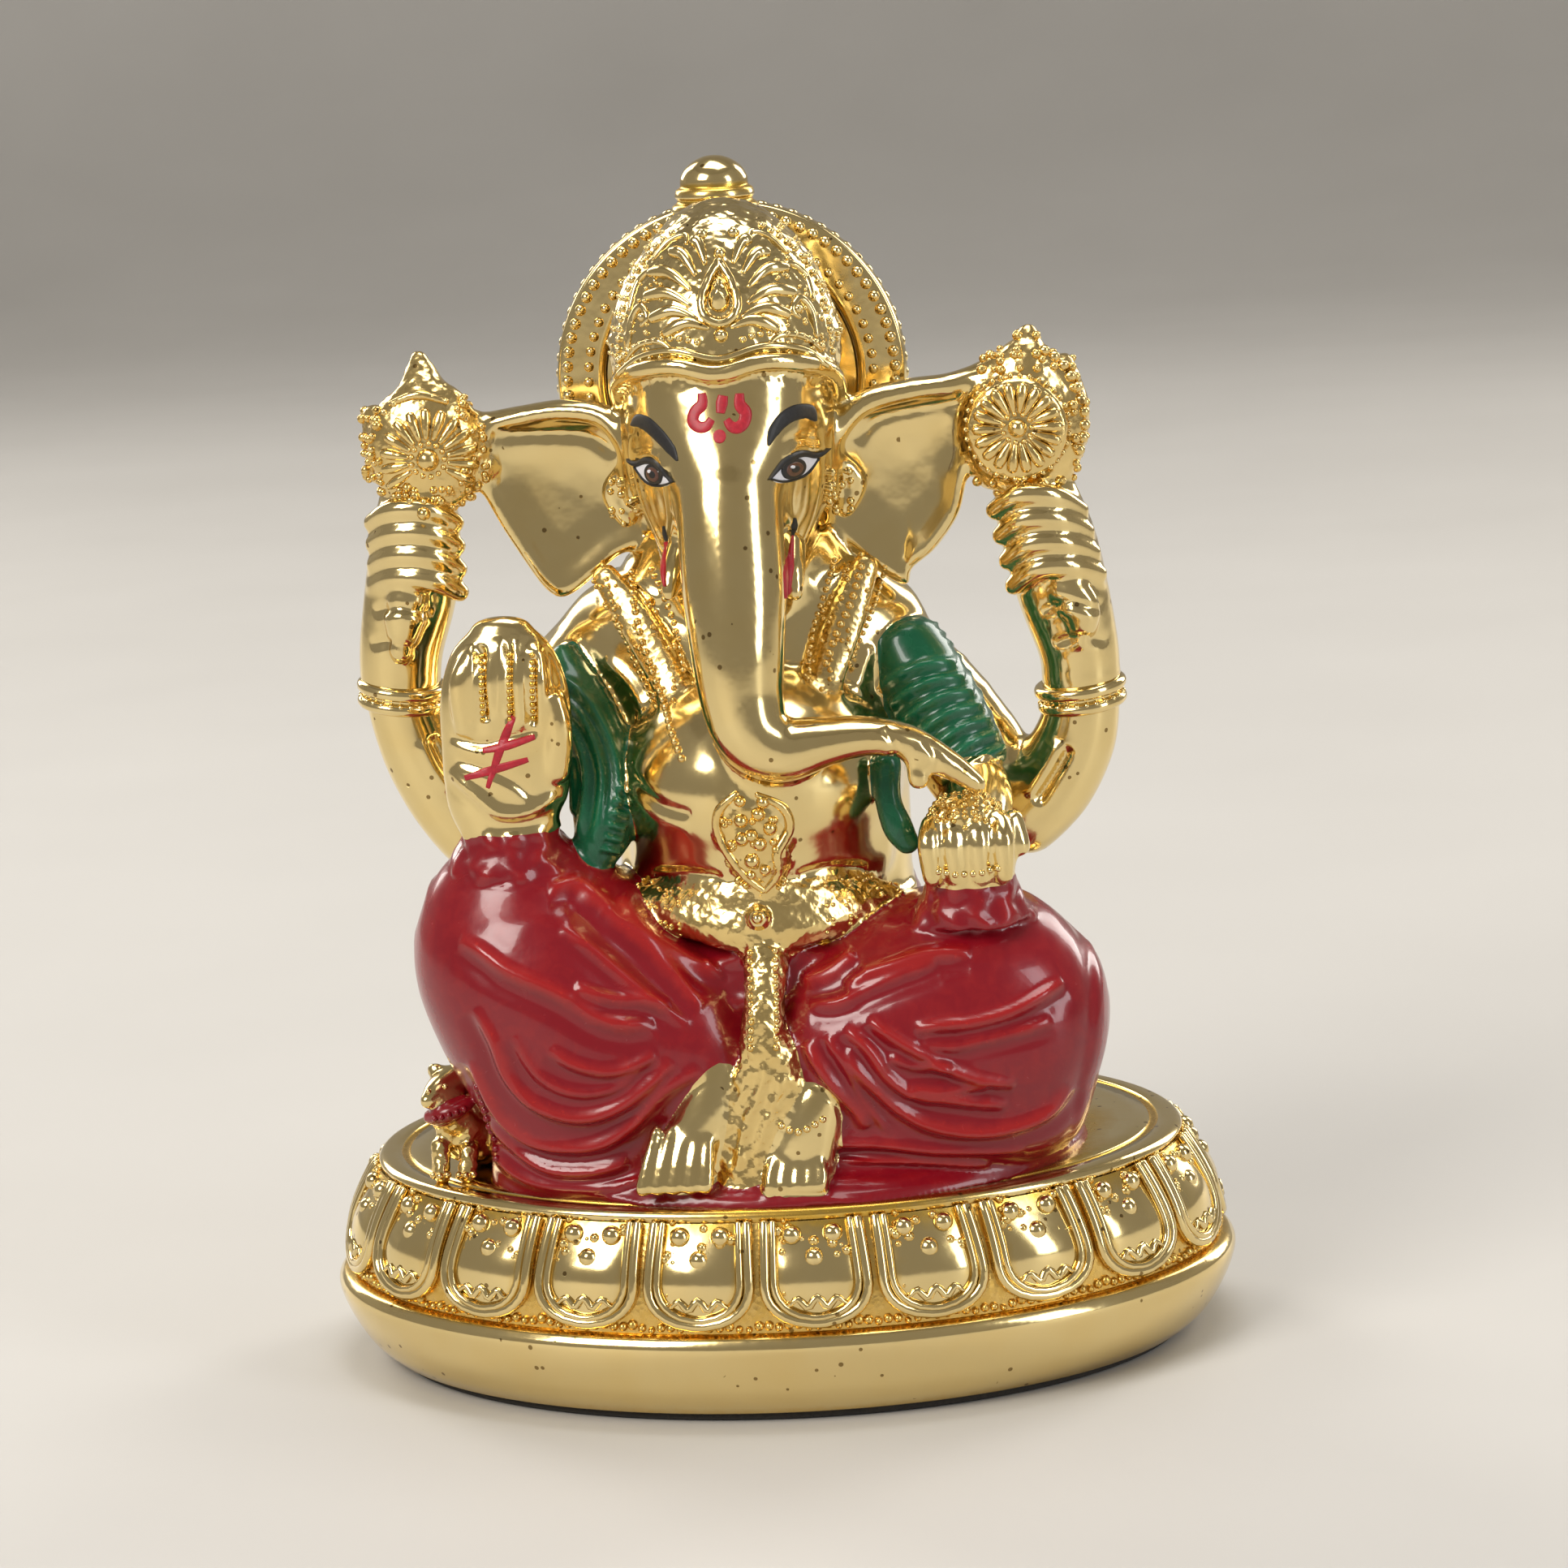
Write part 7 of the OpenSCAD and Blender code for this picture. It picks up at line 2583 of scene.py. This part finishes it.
class Figure:
    """The cast figure: every assembly, poured together and parted into pieces."""

    VOXEL = 0.27
    FLOOR = 20.95
    LOW = (-43, -33, 19)
    HIGH = (41, 19, 117)
    SOFTENING = 2
    EVENING = 5

    def __init__(self) -> None:
        """Collects the assemblies from the base up."""
        arms = [RearArm(side="right"), RearArm(side="left"), FrontArms()]
        self.assemblies: list[Assembly] = [DhotiLegs(), Body(), *arms, Head(), Crown(), Mouse()]

    def build(self, shop: Workshop) -> None:
        """Pours, works and parts the figure, and places its pieces.

        Args:
            shop: makes the pieces.
        """
        casting = Casting(self.LOW, self.HIGH, self.VOXEL)
        for assembly in self.assemblies:
            assembly.pour(casting)
        casting.cast(self.FLOOR, self.SOFTENING)
        casting.evened(self.EVENING)
        casting.finish_skin()
        skin = Skin(casting.surface())
        for assembly in self.assemblies:
            pieces = {name: casting.piece(name) for name in assembly.finishes}
            added = assembly.garnish(skin, pieces)
            for name, finish in assembly.finishes.items():
                shop.place(f"{name}_cast", [pieces[name], *added.get(name, [])], finish, [name])
            assembly.extras(skin, shop)


@dataclass
class Studio:
    """A pale floor with a soft sweep round it, softbox lights, and the camera."""

    azimuth: float = 5.0
    elevation: float = 11.0
    distance: float = 0.46
    aim: Point = (0.0026, 0.0, 0.057)
    roll: float = 3.3
    lens: float = 105.0
    sweep: float = 1.5
    room: float = 0.3
    ROOM_TINT = (1.0, 0.94, 0.86, 1)
    FLOOR_TONES = ((0.50, 0.485, 0.46, 1), (0.56, 0.545, 0.52, 1))
    LIT_POINT = (0, 0, 0.06)
    SOFTBOXES = (
        ("key_box", (-0.55, -0.7, 0.75), (0.5, 0.5), 9.0, (1.0, 0.96, 0.9)),
        ("fill_box", (0.8, -0.5, 0.4), (0.25, 0.7), 3.2, (0.95, 0.97, 1.0)),
        ("top_box", (0.05, 0.1, 0.95), (0.6, 0.45), 4.6, (1.0, 0.98, 0.95)),
        ("back_left_box", (-0.6, 0.65, 0.5), (0.3, 0.6), 3.6, (1.0, 0.97, 0.92)),
        ("back_right_box", (0.6, 0.7, 0.45), (0.3, 0.6), 3.6, (1.0, 0.97, 0.92)),
    )

    def build(self) -> None:
        """Makes the studio."""
        self.floor()
        self.lights()
        self.camera()

    def floor(self) -> None:
        """Makes the floor and the sweep that rises round it."""
        w = self.sweep
        profile = [
            (0.05, 0), (0.4, 0), (0.8, 0), (w * 0.85, 0.03), (w, 0.25), (w * 1.02, 0.9), (w * 0.9, 1.7)
        ]
        stage = turned(smooth_line(profile, 8), sides=96)
        mesh = bpy.data.meshes.new("studio_floor")
        middles = stage.points[stage.quads].mean(1)
        shown = stage.quads[(middles[:, 2] < 0.02) | (middles[:, 1] > 0.35)]
        mesh.from_pydata(stage.points.tolist(), [], shown.tolist() + stage.tris.tolist())
        mesh.shade_smooth()
        bench = Bench("studio_paint")
        base = bench.blend(bench.noise(90.0, 2.0), *self.FLOOR_TONES)
        mesh.materials.append(bench.finished({"Base Color": base, "Roughness": 0.6}))
        sweep = bpy.data.objects.new("studio_floor", mesh)
        bpy.context.scene.collection.objects.link(sweep)

    def lights(self) -> None:
        """Hangs the softboxes and sets the dim room round them."""
        scene = bpy.context.scene
        world = bpy.data.worlds.new("studio_room")
        world.use_nodes = True
        background = world.node_tree.nodes["Background"]
        background.inputs["Color"].default_value = self.ROOM_TINT
        background.inputs["Strength"].default_value = self.room
        scene.world = world
        scene.view_settings.view_transform = "Standard"
        for name, place, size, power, colour in self.SOFTBOXES:
            light = bpy.data.lights.new(name, "AREA")
            light.shape = "RECTANGLE"
            light.size, light.size_y = size
            light.energy = power
            light.color = colour
            lamp = bpy.data.objects.new(name, light)
            lamp.location = place
            lamp.rotation_euler = (
                Vector(self.LIT_POINT) - Vector(place)
            ).to_track_quat("-Z", "Y").to_euler()
            scene.collection.objects.link(lamp)

    def camera(self) -> None:
        """Sets the camera."""
        a, e = math.radians(self.azimuth), math.radians(self.elevation)
        back = Vector((math.sin(a) * math.cos(e), -math.cos(a) * math.cos(e), math.sin(e)))
        camera = bpy.data.cameras.new("camera")
        camera.lens = self.lens
        camera.sensor_width = 36.0
        camera.clip_start = 0.01
        eye = bpy.data.objects.new("camera", camera)
        turn = back.to_track_quat("Z", "Y").to_matrix().to_4x4()
        roll = Matrix.Rotation(math.radians(-self.roll), 4, "Z")
        eye.matrix_world = Matrix.Translation(Vector(self.aim) + back * self.distance) @ turn @ roll
        bpy.context.scene.collection.objects.link(eye)
        bpy.context.scene.camera = eye


def main() -> None:
    """Builds the figure in order, from the base to the studio."""
    logging.basicConfig(level=logging.INFO, format="%(name)s: %(message)s")
    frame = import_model()
    shop = Workshop(material["slot"] for material in frame["record"]["materials"])
    LotusBase().build(shop)
    Figure().build(shop)
    Studio().build()
    LOG.info("frame and looks are ready")


if __name__ == "__main__":
    main()
